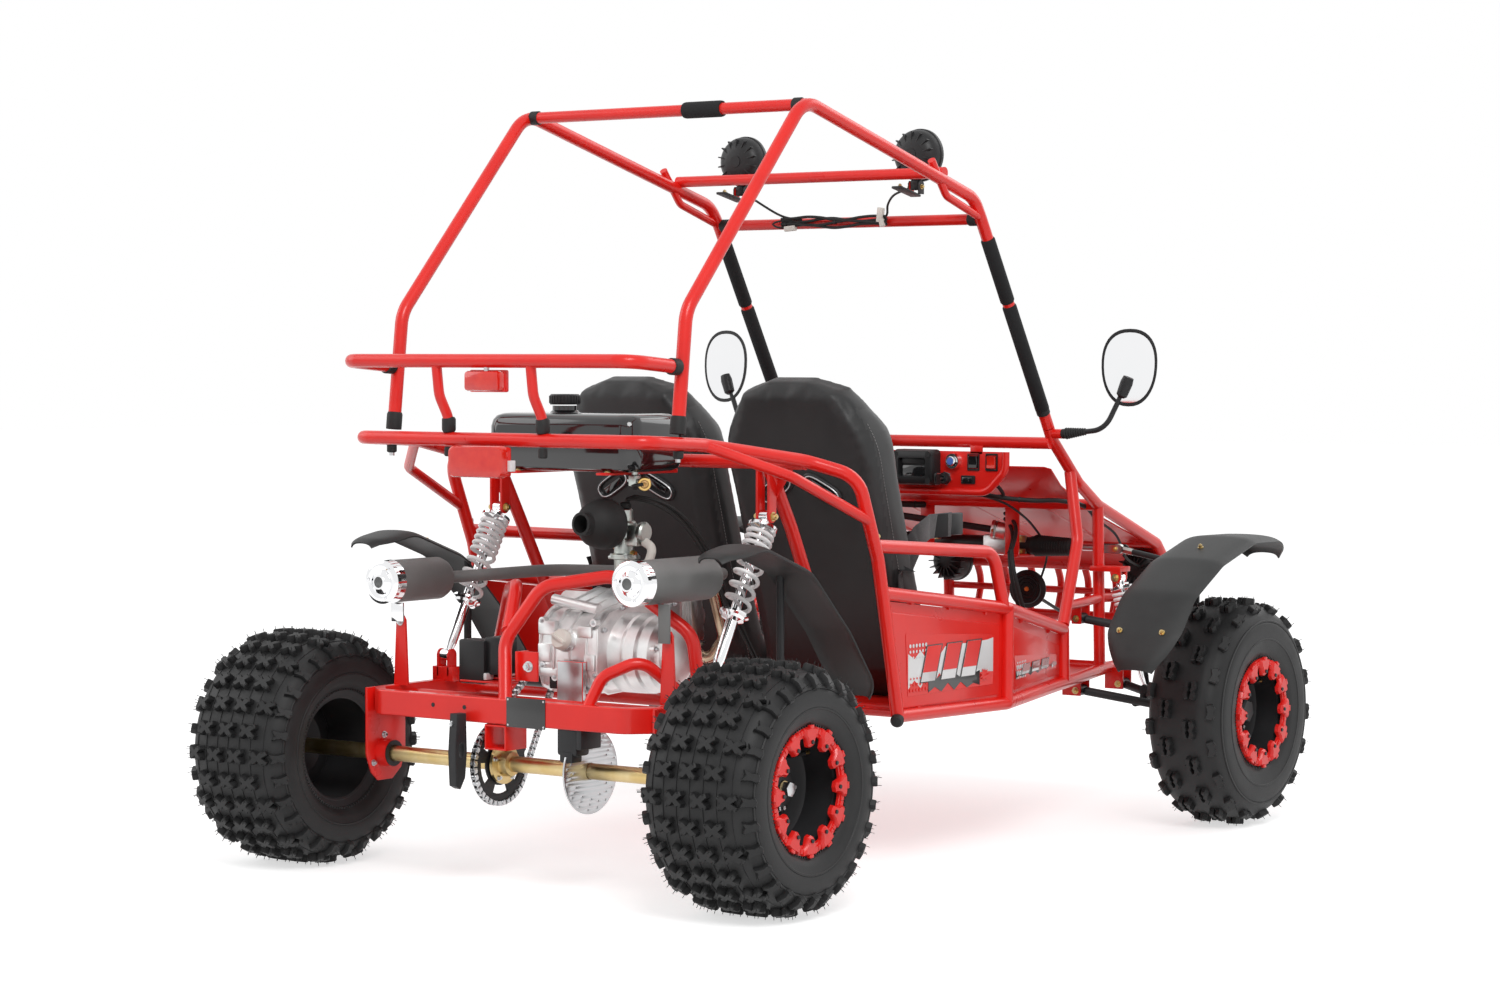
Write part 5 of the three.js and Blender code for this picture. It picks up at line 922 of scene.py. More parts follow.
# %% Whole tyres
def tread_of(line, rear):
    """One repeat of the tread, set round the tyre: two staggered rows."""
    bench = Bench()
    count = 14 if rear else 18
    pitch = 2 * pi * line[0].y / count
    if rear:
        for across_at, late in ((-0.052, 0.0), (0.0, 0.0), (0.052, 0.0), (-0.078, 0.5), (-0.026, 0.5), (0.026, 0.5),
                (0.078, 0.5)):
            knob(bench, line, moved(CROSS, across_at, pitch * late), KNOB_HIGH, (1, 5, 9, 13))
        for hand in (-1, 1):
            for late in (0.0, 0.5):
                knob(bench, line, moved(SHOULDER, 0.112 - late * 0.004, pitch * (late + 0.02), hand), 0.010,
                    (0, 2, 4))
    else:
        for hand in (-1, 1):
            late = 0.25 if hand > 0 else 0.75
            for block in (HALF_BLOCK, [(-a, b) for a, b in HALF_BLOCK[::-1]]):
                knob(bench, line, moved(block, 0.027, pitch * late, hand), KNOB_HIGH, (1, 5))
            knob(bench, line, moved(EDGE_BLOCK, 0.068, pitch * ((late + 0.47) % 1.0), hand), 0.011, (1, 5))
    return around(bench, count, RUBBER)


def tyre(name, body, wheel, hand, rear):
    line = section_of(wheel)
    bench = Bench()
    rows = [(p.x, p.y) for p in line]
    for at_depth in (0.34, 0.70):
        target = RIM_RADIUS + (line[0].y - RIM_RADIUS) * at_depth
        near = min(range(len(rows)), key=lambda i: abs(rows[i][1] - target)
            + (1 if rows[i][0] < wheel["width"] * 0.3 else 0))
        x, r = rows[near]
        rows[near:near + 1] = [(x, r + 0.003), (x + 0.0014, r + 0.002), (x + 0.0014, r - 0.001), (x, r - 0.002)]
    inside = [(rows[-1][0] - 0.008, RIM_RADIUS + 0.003), (rows[2][0], line[0].y - 0.02)]
    full = [(-x, r) for x, r in rows[:0:-1]] + rows + inside + [(-x, r) for x, r in inside[::-1]]
    bench.lathe(full, ORIGIN, X, RUBBER, sides=96, closed=True)
    bench.add(tread_of(line, rear))
    reach = sum((b - a).length for a, b in zip(line, line[1:]))
    tooth = Bench()
    for hand_of in (-1, 1):
        foot, normal = on_section(line, (reach - 0.014) * hand_of)
        tooth.box(Vector((foot.x + normal.x * 0.0006, 0, foot.y)), (2.4, 3.2, 6), RUBBER, 0)
    bench.add(around(tooth, 104, RUBBER))
    for s in (0.0, 0.028, 0.056, 0.084) if rear else ():
        for hand_of in (-1, 1) if s else (1,):
            foot, normal = on_section(line, s * hand_of)
            bench.lathe([(foot.x - 0.0012, foot.y - 0.001), (foot.x - 0.0006, foot.y + 0.0012),
                (foot.x + 0.0006, foot.y + 0.0012), (foot.x + 0.0012, foot.y - 0.001)], ORIGIN, X, RUBBER, sides=96,
                closed=True)
    onto_wheel(bench, wheel, hand)
    bench.piece(name, body, "tyre", [name.replace("_knobbed", "")])


for side, hand in SIDES:
    tyre("rear_tyre_" + side + "_knobbed", "rear_wheels", REAR_WHEEL, hand, True)
    tyre("front_tyre_" + side + "_knobbed", "front_wheel_" + side, FRONT_WHEEL, hand, False)

# %% [markdown]
# ## Rims
# Each rim is a pressed steel barrel in satin black with a dished disc. Bolted to its outer lip is a red
# ring of twelve stepped lobes, which looks like a bead lock. The front hub ends in a hexagonal cap.


# %% Rims and their red rings
def rim(name, body, wheel, hand, node, bore):
    bench = Bench()
    reach = wheel["width"] * 0.36 + 0.012
    lip, seat, disc = 0.1125, 0.099, wheel["disc"]
    rows = [(-reach, lip), (-reach + 0.004, lip), (-reach + 0.006, seat), (-0.03, seat), (-0.02, seat - 0.004),
        (0.0, seat - 0.004), (0.01, seat), (reach - 0.006, seat), (reach - 0.004, lip), (reach, lip),
        (reach - 0.001, lip - 0.004), (reach - 0.009, seat - 0.005), (disc + 0.010, seat - 0.008),
        (disc + 0.004, seat - 0.015), (disc - 0.002, 0.060), (disc + 0.006, 0.052), (disc + 0.011, 0.042),
        (disc + 0.011, bore), (disc + 0.003, bore), (disc + 0.001, 0.042), (disc - 0.008, 0.06),
        (disc - 0.004, seat - 0.014), (disc, seat - 0.007), (-reach + 0.009, seat - 0.004),
        (-reach + 0.001, lip - 0.004)]
    bench.lathe(rows, ORIGIN, X, BLACK, sides=72, closed=True)
    lobe = Bench()
    low, high = reach + 0.0005, reach + 0.0115
    outline = [(0.1125, -11), (0.1135, 0), (0.1125, 11), (0.101, 11.5), (0.092, 8), (0.078, 6.5), (0.0745, 0),
        (0.078, -6.5), (0.092, -8), (0.101, -11.5)]
    rings = []
    for x, share in ((low, 1.0), (high - 0.004, 0.93), (high, 0.72)):
        rings.append([Vector((x, r * sin(t), r * cos(t))) for r, t in ((0.096 + (r - 0.096) * share,
            radians(a) * share) for r, a in outline)])
    lobe.loft(rings, RED_PLASTIC)
    for turn in (-0.17, 0.17):
        lobe.box(Vector((low + 0.003, 0.104 * sin(turn), 0.104 * cos(turn))), (6, 18, 9), RED_PLASTIC, 1,
            turn=Matrix.Rotation(-turn, 3, "X"))
    lobe.box(Vector((high - 0.0035, 0, 0.112)), (7, 12, 6), RED_PLASTIC, 1)
    bench.add(around(lobe, 12, RED_PLASTIC))
    bench.lathe([(low - 0.001, 0.0935), (low - 0.001, 0.1125), (low + 0.0035, 0.1115), (low + 0.0035, 0.0945)],
        ORIGIN, X, RED_PLASTIC, sides=72, closed=True)
    dimple = Bench()
    dimple.lathe("0,3.6 3,3.6 3,0", Vector((high - 0.0005, 0, 0.0855)), X, BLACK, 10)
    bench.add(around(dimple, 12, BLACK))
    nut = Bench()
    nut.lathe("0,9.5 4,9.5 4,7 11,6.8 12,4 18,3.8 18,0", Vector((disc + 0.0105, 0, 0.033)), X, STEEL, 6)
    bench.add(around(nut, 4, STEEL))
    bench.rod(Vector((disc + 0.002, 0.05, 0.05)), Vector((disc + 0.034, 0.058, 0.058)), 4.2, SOFT_RUBBER, 12)
    bench.rod(Vector((disc + 0.033, 0.0577, 0.0577)), Vector((disc + 0.039, 0.0592, 0.0592)), 3.6, BRASS, 10)
    if bore < 0.012:
        cap = [(disc + 0.005, 0.027), (disc + 0.034, 0.027), (disc + 0.038, 0.023), (disc + 0.0385, 0.014),
            (disc + 0.0385, 0)]
        bench.lathe(cap, ORIGIN, X, BLACK, 6)
    else:
        bench.ring([(disc + 0.004, 0.031), (disc + 0.024, 0.031), (disc + 0.026, 0.0155), (disc + 0.004, 0.0155)],
            ORIGIN, X, BLACK, 40)
    onto_wheel(bench, wheel, hand)
    bench.piece(name, body, "black_paint", [node])


for side, hand in SIDES:
    rim("rear_wheel_" + side, "rear_wheels", REAR_WHEEL, hand, "rear_rim_" + side, 0.0158)
    rim("front_wheel_" + side + "_rim", "front_wheel_" + side, FRONT_WHEEL, hand, "front_rim_" + side, 0.0105)

# %% [markdown]
# ## Roll cage
# Each side of the cage is one bent pipe, from a sleeve at the rear foot over the roof to the pillar.
# Cross bars tie the two sides, and a low brow with slanted braces carries the round lamps. Rubber collars
# cover the joints, and foam sleeves are slipped over the pillars.

# %% Cage pipes, collars and sleeves
CAGE_LINE = row("334,29,835 334,54,1052 333,421,1448 328,1030,1290 327,1060,1249 332,1322,826")
cage_side = [(CAGE_LINE, PIPE, 70), (row("330,868,1358 329,925,1290 328,1046,1254"), 8, 30),]
cage_across = [(across("333,430,1440"), 11.25, 0), (across("330,918,1336"), 11.25, 0),
    (across("327,1060,1249"), 11.25, 0),]
cage = Bench()
cage.add(pipes(cage_across + both_sides(cage_side), RED))
cage_bolts = []
for side, hand in SIDES:
    foot, knee = at(hand * 334, 29, 833), at(hand * 334, 54, 1052)
    cage.ring("0,14.8 28,14.8 32,13.2 32,12.6 0,12.6", foot, knee - foot, SOFT_RUBBER, 28)
    head, end = at(hand * 327.4, 1081, 1215), at(hand * 331.8, 1317, 834)
    way = (end - head).normalized()
    for start, long in ((0.005, 0.15), (0.162, 0.255)):
        cage.lathe([(0, 0.0127), (0.004, 0.0148), (long - 0.004, 0.0148), (long, 0.0127)], head + way * start, way,
            FOAM, 24)
    cage.lathe("0,12.7 2,14.2 26,14.2 28,12.7", at(hand * 331.2, 1290, 877), way, SOFT_RUBBER, 24)
    for place, toward in ((at(hand * 333, 430, 1440), (-hand, 0, 0)), (at(hand * 327, 1060, 1249), (-hand, 0, 0))):
        cage.lathe("8,11.8 10,13.6 26,13.6 28,11.8", place, toward, SOFT_RUBBER, 24)
    lamp = at(hand * 217, 918, 1336)
    cage.box(at(hand * 217, 952, 1303), (24, 74, 5), BLACK, turn=Matrix.Rotation(-0.20, 3, "X"))
    cage_bolts.append((at(hand * 217, 930, 1311), (0, -0.3, 1), 4.5))
    for way_x in (-1, 1):
        cage.plate("-10,-14 10,-14 10,8 6,13 -6,13 -10,8", 2.5, BLACK, at(hand * 217 + way_x * 12, 988, 1313), Y, Z,
            bevel=0.5)
        cage_bolts.append((at(hand * 217 + way_x * 13.4, 988, 1314), (way_x, 0, 0), 4))
cage.add(bolts(cage_bolts))
cage.dress("roll_cage", "chassis", "red_paint")

# %% [markdown]
# ## Rear rack
# A smaller loop stands above the rear of the deck on four short pickets. Each picket ends in a rubber
# boot above and a bolt below, and a red reflector hangs in the middle.

# %% Rack
rack = Bench()
rack_line = across("300,-108,962 336,-106,962 335,26,952")
rack.add(pipes([(rack_line, PIPE, 60)] + [(row(f"{x},-108,960 {x},-100,900 {x},-73,857 {x},-73,834"), 9.5, 50)
    for x in (-110, 110)], RED))
for x in (-110, 110):
    rack.lathe("-4,10.1 0,12.8 20,12.8 24,10.1", at(x, -73, 836), Z, SOFT_RUBBER, 24)
for side, hand in SIDES:
    rack.lathe("-20,12.9 -18,15.2 0,15.2 2,12.9", at(hand * 335, 26, 952), (0, 1, -0.05), SOFT_RUBBER, 24)
rack.box(at(9, -113, 926), (80, 26, 36), LENS, 6)
rack.box(at(9, -101, 926), (84, 12, 40), RED_PLASTIC, 3)
rack.rod(at(9, -108, 942), at(9, -108, 960), 5, STEEL, 12)
rack.dress("rear_rack", "chassis", "red_paint")

# %% [markdown]
# ## Mirrors and roof lamps
# A mirror is a moulded back shell with a glass set in it, on a chromed stalk with a ribbed rubber boot
# that lets it turn. The roof lamp is a round black bowl with cooling fins, and its lens looks forward.


# %% Mirrors
def bulged(share, power):
    """A share between -1 and 1, pushed outward, so that a round outline becomes fuller."""
    return copysign(abs(share) ** power, share)


def mirror(name, hand):
    bench = Bench()
    base, elbow, head = at(362, 1330, 812), at(462, 1330, 822), at(512, 1346, 950)
    bench.rod(base + mm(1, 0, 0), base + mm(12, 0, 1), 10.5, SOFT_RUBBER, 20)
    ribs = []
    for i in range(9):
        ribs += [(0.010 + i * 0.0055, 0.0125 - i * 0.0006), (0.0125 + i * 0.0055, 0.0098 - i * 0.0006)]
    bench.lathe([(0.008, 0.006)] + ribs + [(0.062, 0.005)], base, elbow - base, SOFT_RUBBER, 20)
    bench.sweep([base, elbow, head - mm(4, 4, 30)], 5.5, BLACK, bend=0.05, sides=14)
    bench.lathe("-45,6.2 -40,12 -12,14 0,12 0,0", head - mm(0, 4, 20), (head - elbow).normalized(), PLASTIC, 20)
    way = Vector((0.10, -0.99, 0.04)).normalized()
    side = Z.cross(way).normalized()
    up = way.cross(side).normalized()
    half_w, half_h = 0.062, 0.080

    def egg(scale):
        return [side * half_w * scale * (1.0 + 0.08 * b) * bulged(a, 0.85) + up * half_h * scale * bulged(b, 0.9)
            for a, b in ring_of(40, 1.0)]

    rings = []
    for out, scale in ((-0.0065, 0.30), (-0.006, 0.62), (-0.0035, 0.86), (0.0005, 0.97), (0.005, 1.0),
            (0.0065, 0.985), (0.0066, 0.93), (0.0048, 0.92)):
        rings.append([head + p + way * out for p in egg(scale)])
    bench.loft(rings, PLASTIC)
    bench.loft([[head + p + way * out for p in egg(scale)] for out, scale in ((0.0046, 0.915), (0.0056, 0.905))],
        MIRROR)
    if hand < 0:
        bench.mirror()
    bench.dress(name, name, "black_plastic")


for side, hand in SIDES:
    mirror("mirror_" + side, hand)


# %% Roof lamps
def add_fins(bench, fin, count, middle):
    """Copies of a fin round a lamp that looks forward."""
    fins = around(fin, count, PLASTIC)
    fins.transform(Matrix.Translation(middle) @ Matrix.Rotation(pi / 2, 4, "Z"))
    bench.add(fins)


def roof_lamp(side, hand):
    bench = Bench()
    middle = at(hand * 217, 988, 1378)
    bowl = [(-0.021, 0.0), (-0.021, 0.022), (-0.0175, 0.036), (-0.010, 0.046), (-0.001, 0.0505), (0.012, 0.0515),
        (0.013, 0.0535), (0.020, 0.0535), (0.0215, 0.051), (0.0215, 0.047), (0.017, 0.0465)]
    bench.lathe(bowl, middle, Y, PLASTIC, 48)
    bench.lathe("17.2,0 18.5,20 17.2,46.2 16.5,46.2 16.5,0", middle, Y, LAMP_GLASS, 48)
    fin = Bench()
    fin.box(mm(0, 0, 34), (12, 2.4, 26), PLASTIC, 0.5)
    add_fins(bench, fin, 14, middle + mm(0, -13.5, 0))
    bench.rod(middle + mm(0, -22.5, 0), middle + mm(0, -19, 0), 12, PLASTIC, 20)
    bench.box(middle + mm(0, 0, -61), (17, 16, 20), PLASTIC, 2)
    bench.rod(middle + mm(-9, 0, -64), middle + mm(9, 0, -64), 5.5, STEEL, 12)
    bench.dress("roof_lamp_" + side, "roof_lamp_" + side, "black_plastic")


for side, hand in SIDES:
    roof_lamp(side, hand)

# %% [markdown]
# ## Swing arm
# The engine rides on the swing arm. Its rails and rear member are flat bar, bent round at the corners,
# and pipe hoops over the engine carry the silencers. Plates below hold the axle's bearings.

# %% Swing arm
arm = Bench()
right_rail = row("325,486,330 325,-22,328 285,-62,328")
corner = filleted(right_rail + flip(right_rail)[::-1], 0.03)
rail_rings = []
for p, (a, b) in zip(corner, frames_along(corner)):
    out = Z.cross(a.cross(b)).normalized()
    profile = numbers("-10,-23 -8.5,-23 8.5,-23 10,-21 10,21 8.5,23 -8.5,23 -10,21", MM)
    rail_rings.append([p + out * u + Z * v for u, v in profile])
arm.loft(rail_rings, RED)
arm_lines = [(across("338,480,330"), 15, 0), (across("316,70,330"), 11, 0), (across("316,250,330"), 11, 0),
    (row("10,-58,338 -22,-20,453 40,12,552 170,62,574 306,112,470 321,118,342"), PIPE, 55),
    (row("196,-58,338 214,-34,400 270,6,430 325,96,345"), 11, 40), (row("-16,-18,470 -60,60,548 -200,210,528"
    " -318,300,345"), PIPE, 70),]
arm.add(pipes(arm_lines, RED))
arm_bolts = []
for side, hand in SIDES:
    out = Vector((hand, 0, 0))
    outline = [(-46, 350), (62, 350), (62, 224), (50, 192), (25, 172), (-14, 172), (-32, 188), (-46, 224)]
    arm.plate([at(0, y, z).yz for y, z in outline], 6, RED, Vector((hand * 338 * MM, 0, 0)), Y, Z, 1.5)
    arm.ring("-28,16.5 -28,26 4,26 4,16.5", at(hand * 338, 0, 224.1), out, RED, 32)
    arm.ring("-30,15.8 -30,24.5 -27,24.5 -27,15.8", at(hand * 338, 0, 224.1), out, BLACK, 32)
    for i in range(3):
        turn = pi * (0.5 + 2 * i / 3)
        place = at(hand * 334.5, 34 * cos(turn), 224 + 34 * sin(turn))
        arm_bolts.append((place, -out, 5))
        arm_bolts.append((place + out * 0.007, out, 5))
    arm.box(at(hand * 319, 163, 362), (52, 24, 28), RED)
    ears(arm, at(hand * 319, 163, 398), X, -40, RED)
    post_x = -313 if hand < 0 else 316
    arm.plate("-17,350 17,350 11,474 6,482 -6,482 -11,474", 6, RED, at(post_x, 26, 0), X, Z)
    arm_bolts.append((at(post_x, 22.8, 470), -Y, 5.5))
arm.box(at(34, -22, 408), (46, 6, 54), RED)
arm.box(at(15, -16, 408), (6, 34, 54), RED)
arm_bolts.append((at(38, -25, 408), -Y, 8))
for x in (-150, -75):
    arm.lathe("0,4.2 0.4,4.2 0.4,0", at(x, -72, 331), -Y, BLACK, 16)
arm.box(at(70, -72.8, 329), (90, 1.2, 54), BLACK_SHEET, 0.4)
for x, z in ((29, 352), (111, 352), (29, 306), (111, 306)):
    arm.lathe("0,2.2 1,1.8 1,0", at(x, -73.2, z), -Y, STEEL, 10)
hollow = [(-0.025, -0.024), (0.025, -0.024), (0.025, 0.022), (-0.025, 0.022)]
inner = [(-0.0215, -0.0205), (-0.0215, 0.0185), (0.0215, 0.0185), (0.0215, -0.0205)]
arm.plate(hollow, 60, RED, at(-4, -40, 281), X, Z, bevel=0.8, holes=[inner])
guard = [(-11, 322), (11, 322), (13, 250), (9, 205), (-2, 184), (-13, 190), (-16, 250)]
arm.plate([(x * MM, z * MM) for x, z in guard], 21, BLACK, at(-72, -93, 0), (0.2, 1, 0), Z, 2,
    holes=[[(0.006 * a, 0.255 + 0.014 * b) for a, b in ring_of(16, 1.0)]])
arm_bolts.append((at(-77, -103.5, 303), -Y, 4.5))
arm.box(at(160, -49, 283), (46, 40, 52), BLACK, 6)
arm.box(at(160, -56, 255), (30, 30, 20), BLACK, 4)
arm.box(at(188, -40, 290), (12, 58, 40), BLACK, 2)
for y, z in ((-62, 296), (-30, 272)):
    arm_bolts.append((at(184, y, z), X, 5))
arm.box(at(60, 71.5, 370), (60, 11, 84), RED)
arm.add(bolts(arm_bolts, STEEL))
arm.dress("swing_arm", "swing", "red_paint")

# %% [markdown]
# ## Axle, sprocket, disc and chain
# The live axle is a yellow zinc plated tube. A steel sprocket and a drilled brake disc are bolted to
# flanges on it. The chain's links follow one closed line round both sprockets, so a tree sets them
# along it at the chain's pitch.

# %% Axle
axle = Bench()
AXLE_Z = 224.1
axle.rod(at(-587, 0, AXLE_Z), at(587, 0, AXLE_Z), 14.6, YELLOW_ZINC, 40)
for side, hand in SIDES:
    out = (hand, 0, 0)
    axle.ring("0,14.8 0,22.5 18,22.5 20,20.5 20,14.8", at(hand * 343, 0, AXLE_Z), out, STEEL, 32)
    axle.lathe("0,0 0,13.5 14,13.5 14.5,12 14.5,0", at(hand * 587, 0, AXLE_Z), out, STEEL, 6)
for x, way in ((-44, 1), (153, -1)):
    axle.ring("0,14.8 0,38 6,38 8,24 24,22 26,14.8", at(x, 0, AXLE_Z), (way, 0, 0), YELLOW_ZINC, 40)
flange_bolts = []
for y, z in ring_of(5, 31, 0.3, (0, AXLE_Z)):
    for x, way in ((-38, 1), (147, -1)):
        flange_bolts.append((at(x, y, z), (way, 0, 0), 4.5))
axle.add(bolts(flange_bolts, STEEL))
axle.dress("rear_axle", "rear_wheels", "zinc")


# %% Sprocket and disc
def toothed(count, root, tip):
    rows = []
    for i in range(count):
        for share, radius in ((-0.22, root), (-0.08, tip), (0.08, tip), (0.22, root), (0.4, root - 0.0012),
                (0.6, root - 0.0012)):
            turn = 2 * pi * (i + share) / count
            rows.append((radius * cos(turn), radius * sin(turn)))
    return rows


sprocket = Bench()
windows = []
for i in range(5):
    middle_turn = 2 * pi * (i + 0.5) / 5 + 0.3
    arc = [middle_turn + radians(a) for a in (-22, -11, 0, 11, 22)]
    windows.append([(r * cos(t), r * sin(t)) for r, way in ((0.0565, 1), (0.041, -1)) for t in arc[::way]])
sprocket.plate(toothed(24, 0.0705, 0.0755), 5, BLACK, at(-51, 0, AXLE_Z), Y, Z, 0.8, [ring_of(24, 0.0152)] + windows)
sprocket.dress("rear_sprocket", "rear_wheels", "black_paint")

disc = Bench()
drilled = []
for ring_number, (radius, count) in enumerate(((0.051, 12), (0.060, 14), (0.070, 16))):
    for i in range(count):
        turn = 2 * pi * (i + ring_number * 0.33) / count
        drilled.append(ring_of(10, 0.0019, middle=(radius * cos(turn), radius * sin(turn))))
disc.plate(ring_of(72, 0.0778), 4, STEEL, at(160, 0, AXLE_Z), Y, Z, 0.5, [ring_of(24, 0.0152)] + drilled)
disc.dress("brake_disc", "rear_wheels", "steel")

# %% The chain's links along their line
chain_tree, chain_in, chain_out = new_tree("chain_links", ("Count", "NodeSocketInt"),
    ("Finish", "NodeSocketMaterial"))
path = new_node(chain_tree, "MeshToCurve", {"Mesh": chain_in})
stops = new_node(chain_tree, "ResampleCurve", {"Curve": path, "Count": chain_in.outputs["Count"]})
link_half = new_node(chain_tree, "MeshCube", {"Size": (0.0016, 0.0155, 0.0085)})
roller = new_node(chain_tree, "MeshCylinder", {"Vertices": 10, "Radius": 0.004, "Depth": 0.0125})
link_parts = new_node(chain_tree, "JoinGeometry")
for part, moved_by in ((link_half, {"Translation": (-0.0042, 0, 0)}), (link_half, {"Translation": (0.0042, 0, 0)}),
        (roller, {"Rotation": (0, pi / 2, 0)})):
    part = new_node(chain_tree, "Transform", {"Geometry": part, **moved_by})
    chain_tree.links.new(part.outputs[0], link_parts.inputs[0])
facing = new_node(chain_tree, "FunctionNodeAlignRotationToVector", {"Vector": new_node(chain_tree, "InputTangent")},
    axis="Y", pivot_axis="X")
links = new_node(chain_tree, "InstanceOnPoints", {"Points": stops, "Instance": link_parts, "Rotation": facing})
finish_tree(chain_tree, chain_in, chain_out, links)


# %% Chain
def chain_line(rear, rear_radius, front, front_radius, x):
    """The closed line round two sprockets."""
    gap = hypot(front[0] - rear[0], front[1] - rear[1])
    lie = atan2(front[1] - rear[1], front[0] - rear[0])
    lean = acos((rear_radius - front_radius) / gap)
    rows = []
    for i in range(25):
        turn = lie + lean + (2 * pi - 2 * lean) * i / 24
        rows.append((rear[0] + rear_radius * cos(turn), rear[1] + rear_radius * sin(turn)))
    for i in range(13):
        turn = lie - lean + 2 * lean * i / 12
        rows.append((front[0] + front_radius * cos(turn), front[1] + front_radius * sin(turn)))
    return [at(x, y, z) for y, z in rows]


chain_rows = chain_line((0, AXLE_Z), 74.5, (150, 398), 24.5, -51)
count = len(chain_rows)
length = sum((chain_rows[(i + 1) % count] - p).length for i, p in enumerate(chain_rows))
CHAIN_PITCH = 0.0127
chain = Bench()
chain.add(grown(source_of(chain_rows, [(i, (i + 1) % count) for i in range(count)]), chain_tree,
    Count=round(length / CHAIN_PITCH), Finish=STEEL))
chain.piece("drive_chain_links", "swing", "steel", ["drive_chain"])

# %% [markdown]
# ## Engine
# A single cylinder lies forward, with the gearbox behind it. The castings are lathed and lofted one by
# one: ring stepped covers on the right, the flywheel cover on the left, ribs between. Above sit the
# carburettor and the black dome of the air cleaner.

# %% Crankcase and covers
engine = Bench()


def slab(outline, x, width, bevel):
    """A casting with a side outline in Y and Z, and a width along X."""
    engine.plate([at(0, y, z).yz for y, z in outline], width, CAST, X * x * MM, Y, Z, bevel)


case = numbers("80,392 92,362 116,352 330,362 336,372 336,510 318,520 254,534 200,520 118,498 84,470")
slab(case, 46, 140, 10)
slab(numbers("226,360 326,368 326,506 254,526 226,504"), -64, 90, 10)
for x in (-22, 12, 48, 86, 112):
    slab([(y + (-3 if y < 200 else 3), z + (-2 if z < 430 else 3)) for y, z in case], x, 5, 2)
right_hub = at(110, 178, 424)
engine.lathe("0,0 0,74 36,74 40,70 44,74 66,73 70,68 74,71 94,69 102,62 106,57 112,55 116,46 116,0", right_hub, X,
    CAST, 64)
engine.lathe("100,0 100,48 115,46 116,38 113.5,34 113.5,0", right_hub, X, POLISHED, 64)
engine.lathe("0,0 0,58 -36,58 -44,52 -48,42 -48,0", at(-102, 284, 440), X, CAST, 56)
engine_bolts = []
for y, z in ring_of(7, 60, 0.2, (178, 424)):
    engine_bolts.append((at(217, y, z), X, 4))
    engine.rod(at(200, y, z), at(217, y, z), 6.5, CAST, 14)
for y, z in ((96, 372), (96, 470), (150, 508), (240, 528), (310, 506), (320, 380), (200, 358)):
    engine_bolts.append((at(118, y, z), X, 4))
engine.rod(at(40, 84, 446), at(40, 72, 450), 20, CAST, 28)
engine.lathe("0,0 0,18.5 4,19.5 12,19.5 16,17 16,0", at(40, 74, 450), (0, -1, 0.25), WHITE_PLUG, 12)
engine.box(at(40, 58, 454), (32, 8, 6), WHITE_PLUG, 1.5, turn=Matrix.Rotation(0.5, 3, "Y"))
for x, z, wide, tall in ((-4, 470, 40, 26), (-10, 424, 30, 34), (84, 466, 34, 22), (96, 410, 26, 30),
        (2, 388, 44, 16)):
    engine.box(at(x, 84, z), (wide, 14, tall), CAST, 3)
for x, z in ((-16, 482), (-16, 400), (14, 380), (104, 484), (108, 388), (74, 376)):
    engine.rod(at(x, 92, z), at(x, 79, z), 7.5, CAST, 14)
    engine_bolts.append((at(x, 79, z), -Y, 3.6))
engine.box(at(52, 130, 358), (100, 90, 12), CAST, 3)
engine.box(at(28, 98, 372), (62, 28, 30), PLASTIC, 3)
engine.rod(at(-20, 120, 520), at(86, 120, 505), 10, CAST, 18)

# %% Cylinder, head and fins
barrel_start, barrel_end = at(20, 326, 453), at(20, 470, 467)
barrel_way = (barrel_end - barrel_start).normalized()
engine.rod(barrel_start, barrel_end, 40, CAST, 32)
for i in range(9):
    place = barrel_start + barrel_way * (0.018 + i * 0.0095)
    engine.box(place, (122 if i < 6 else 116, 2.6, (102 - 2 * i)), CAST, 0.8, turn=Matrix.Rotation(0.097, 3, "X"))
engine.box(at(20, 443, 465), (98, 62, 90), CAST, 10, turn=Matrix.Rotation(0.097, 3, "X"))
engine.lathe("0,0 0,30 6,30 10,26 10,0", at(20, 438, 512), (0, -0.1, 1), CAST, 32)
for x in (-20, 60):
    engine_bolts.append((at(x, 420, 512), (0, -0.1, 1), 4.5))
engine.rod(at(60, 452, 470), at(67, 452, 470), 24, CAST, 24)

# %% Carburettor and air cleaner
intake = filleted(row("86,262,520 86,206,560 86,198,612"), 0.03)
engine.sweep(intake, 17.5, CAST, sides=24)
engine.lathe("0,0 0,18.5 20,19 22,26 30,26 32,19 58,18.5 62,23 88,22.5 92,17 112,16.5 116,12 118,0", at(86, 196, 574),
    Z, ZINC, 32)
engine.rod(at(86, 214, 648), at(78, 160, 660), 19.5, ZINC, 28)
engine.box(at(112, 196, 640), (30, 30, 40), ZINC, 4)
engine.lathe("0,0 0,17.5 4,19 10,19 14,16 14,0", at(124, 196, 646), (1, 0, 0.0), ZINC, 24)
engine.rod(at(60, 196, 620), at(112, 196, 604), 6, BRASS, 12)
engine.box(at(86, 196, 598), (46, 40, 6), ZINC, 1)
for x, y in ((68, 180), (104, 212), (68, 212), (104, 180)):
    engine_bolts.append((at(x, y, 601), Z, 3))
hose = filleted(row("134,196,628 156,192,618 150,186,590 120,180,572"), 0.02)
engine.sweep(hose, 8.5, WHITE_PLUG, sides=14)
dome = at(76.6, 132, 662)
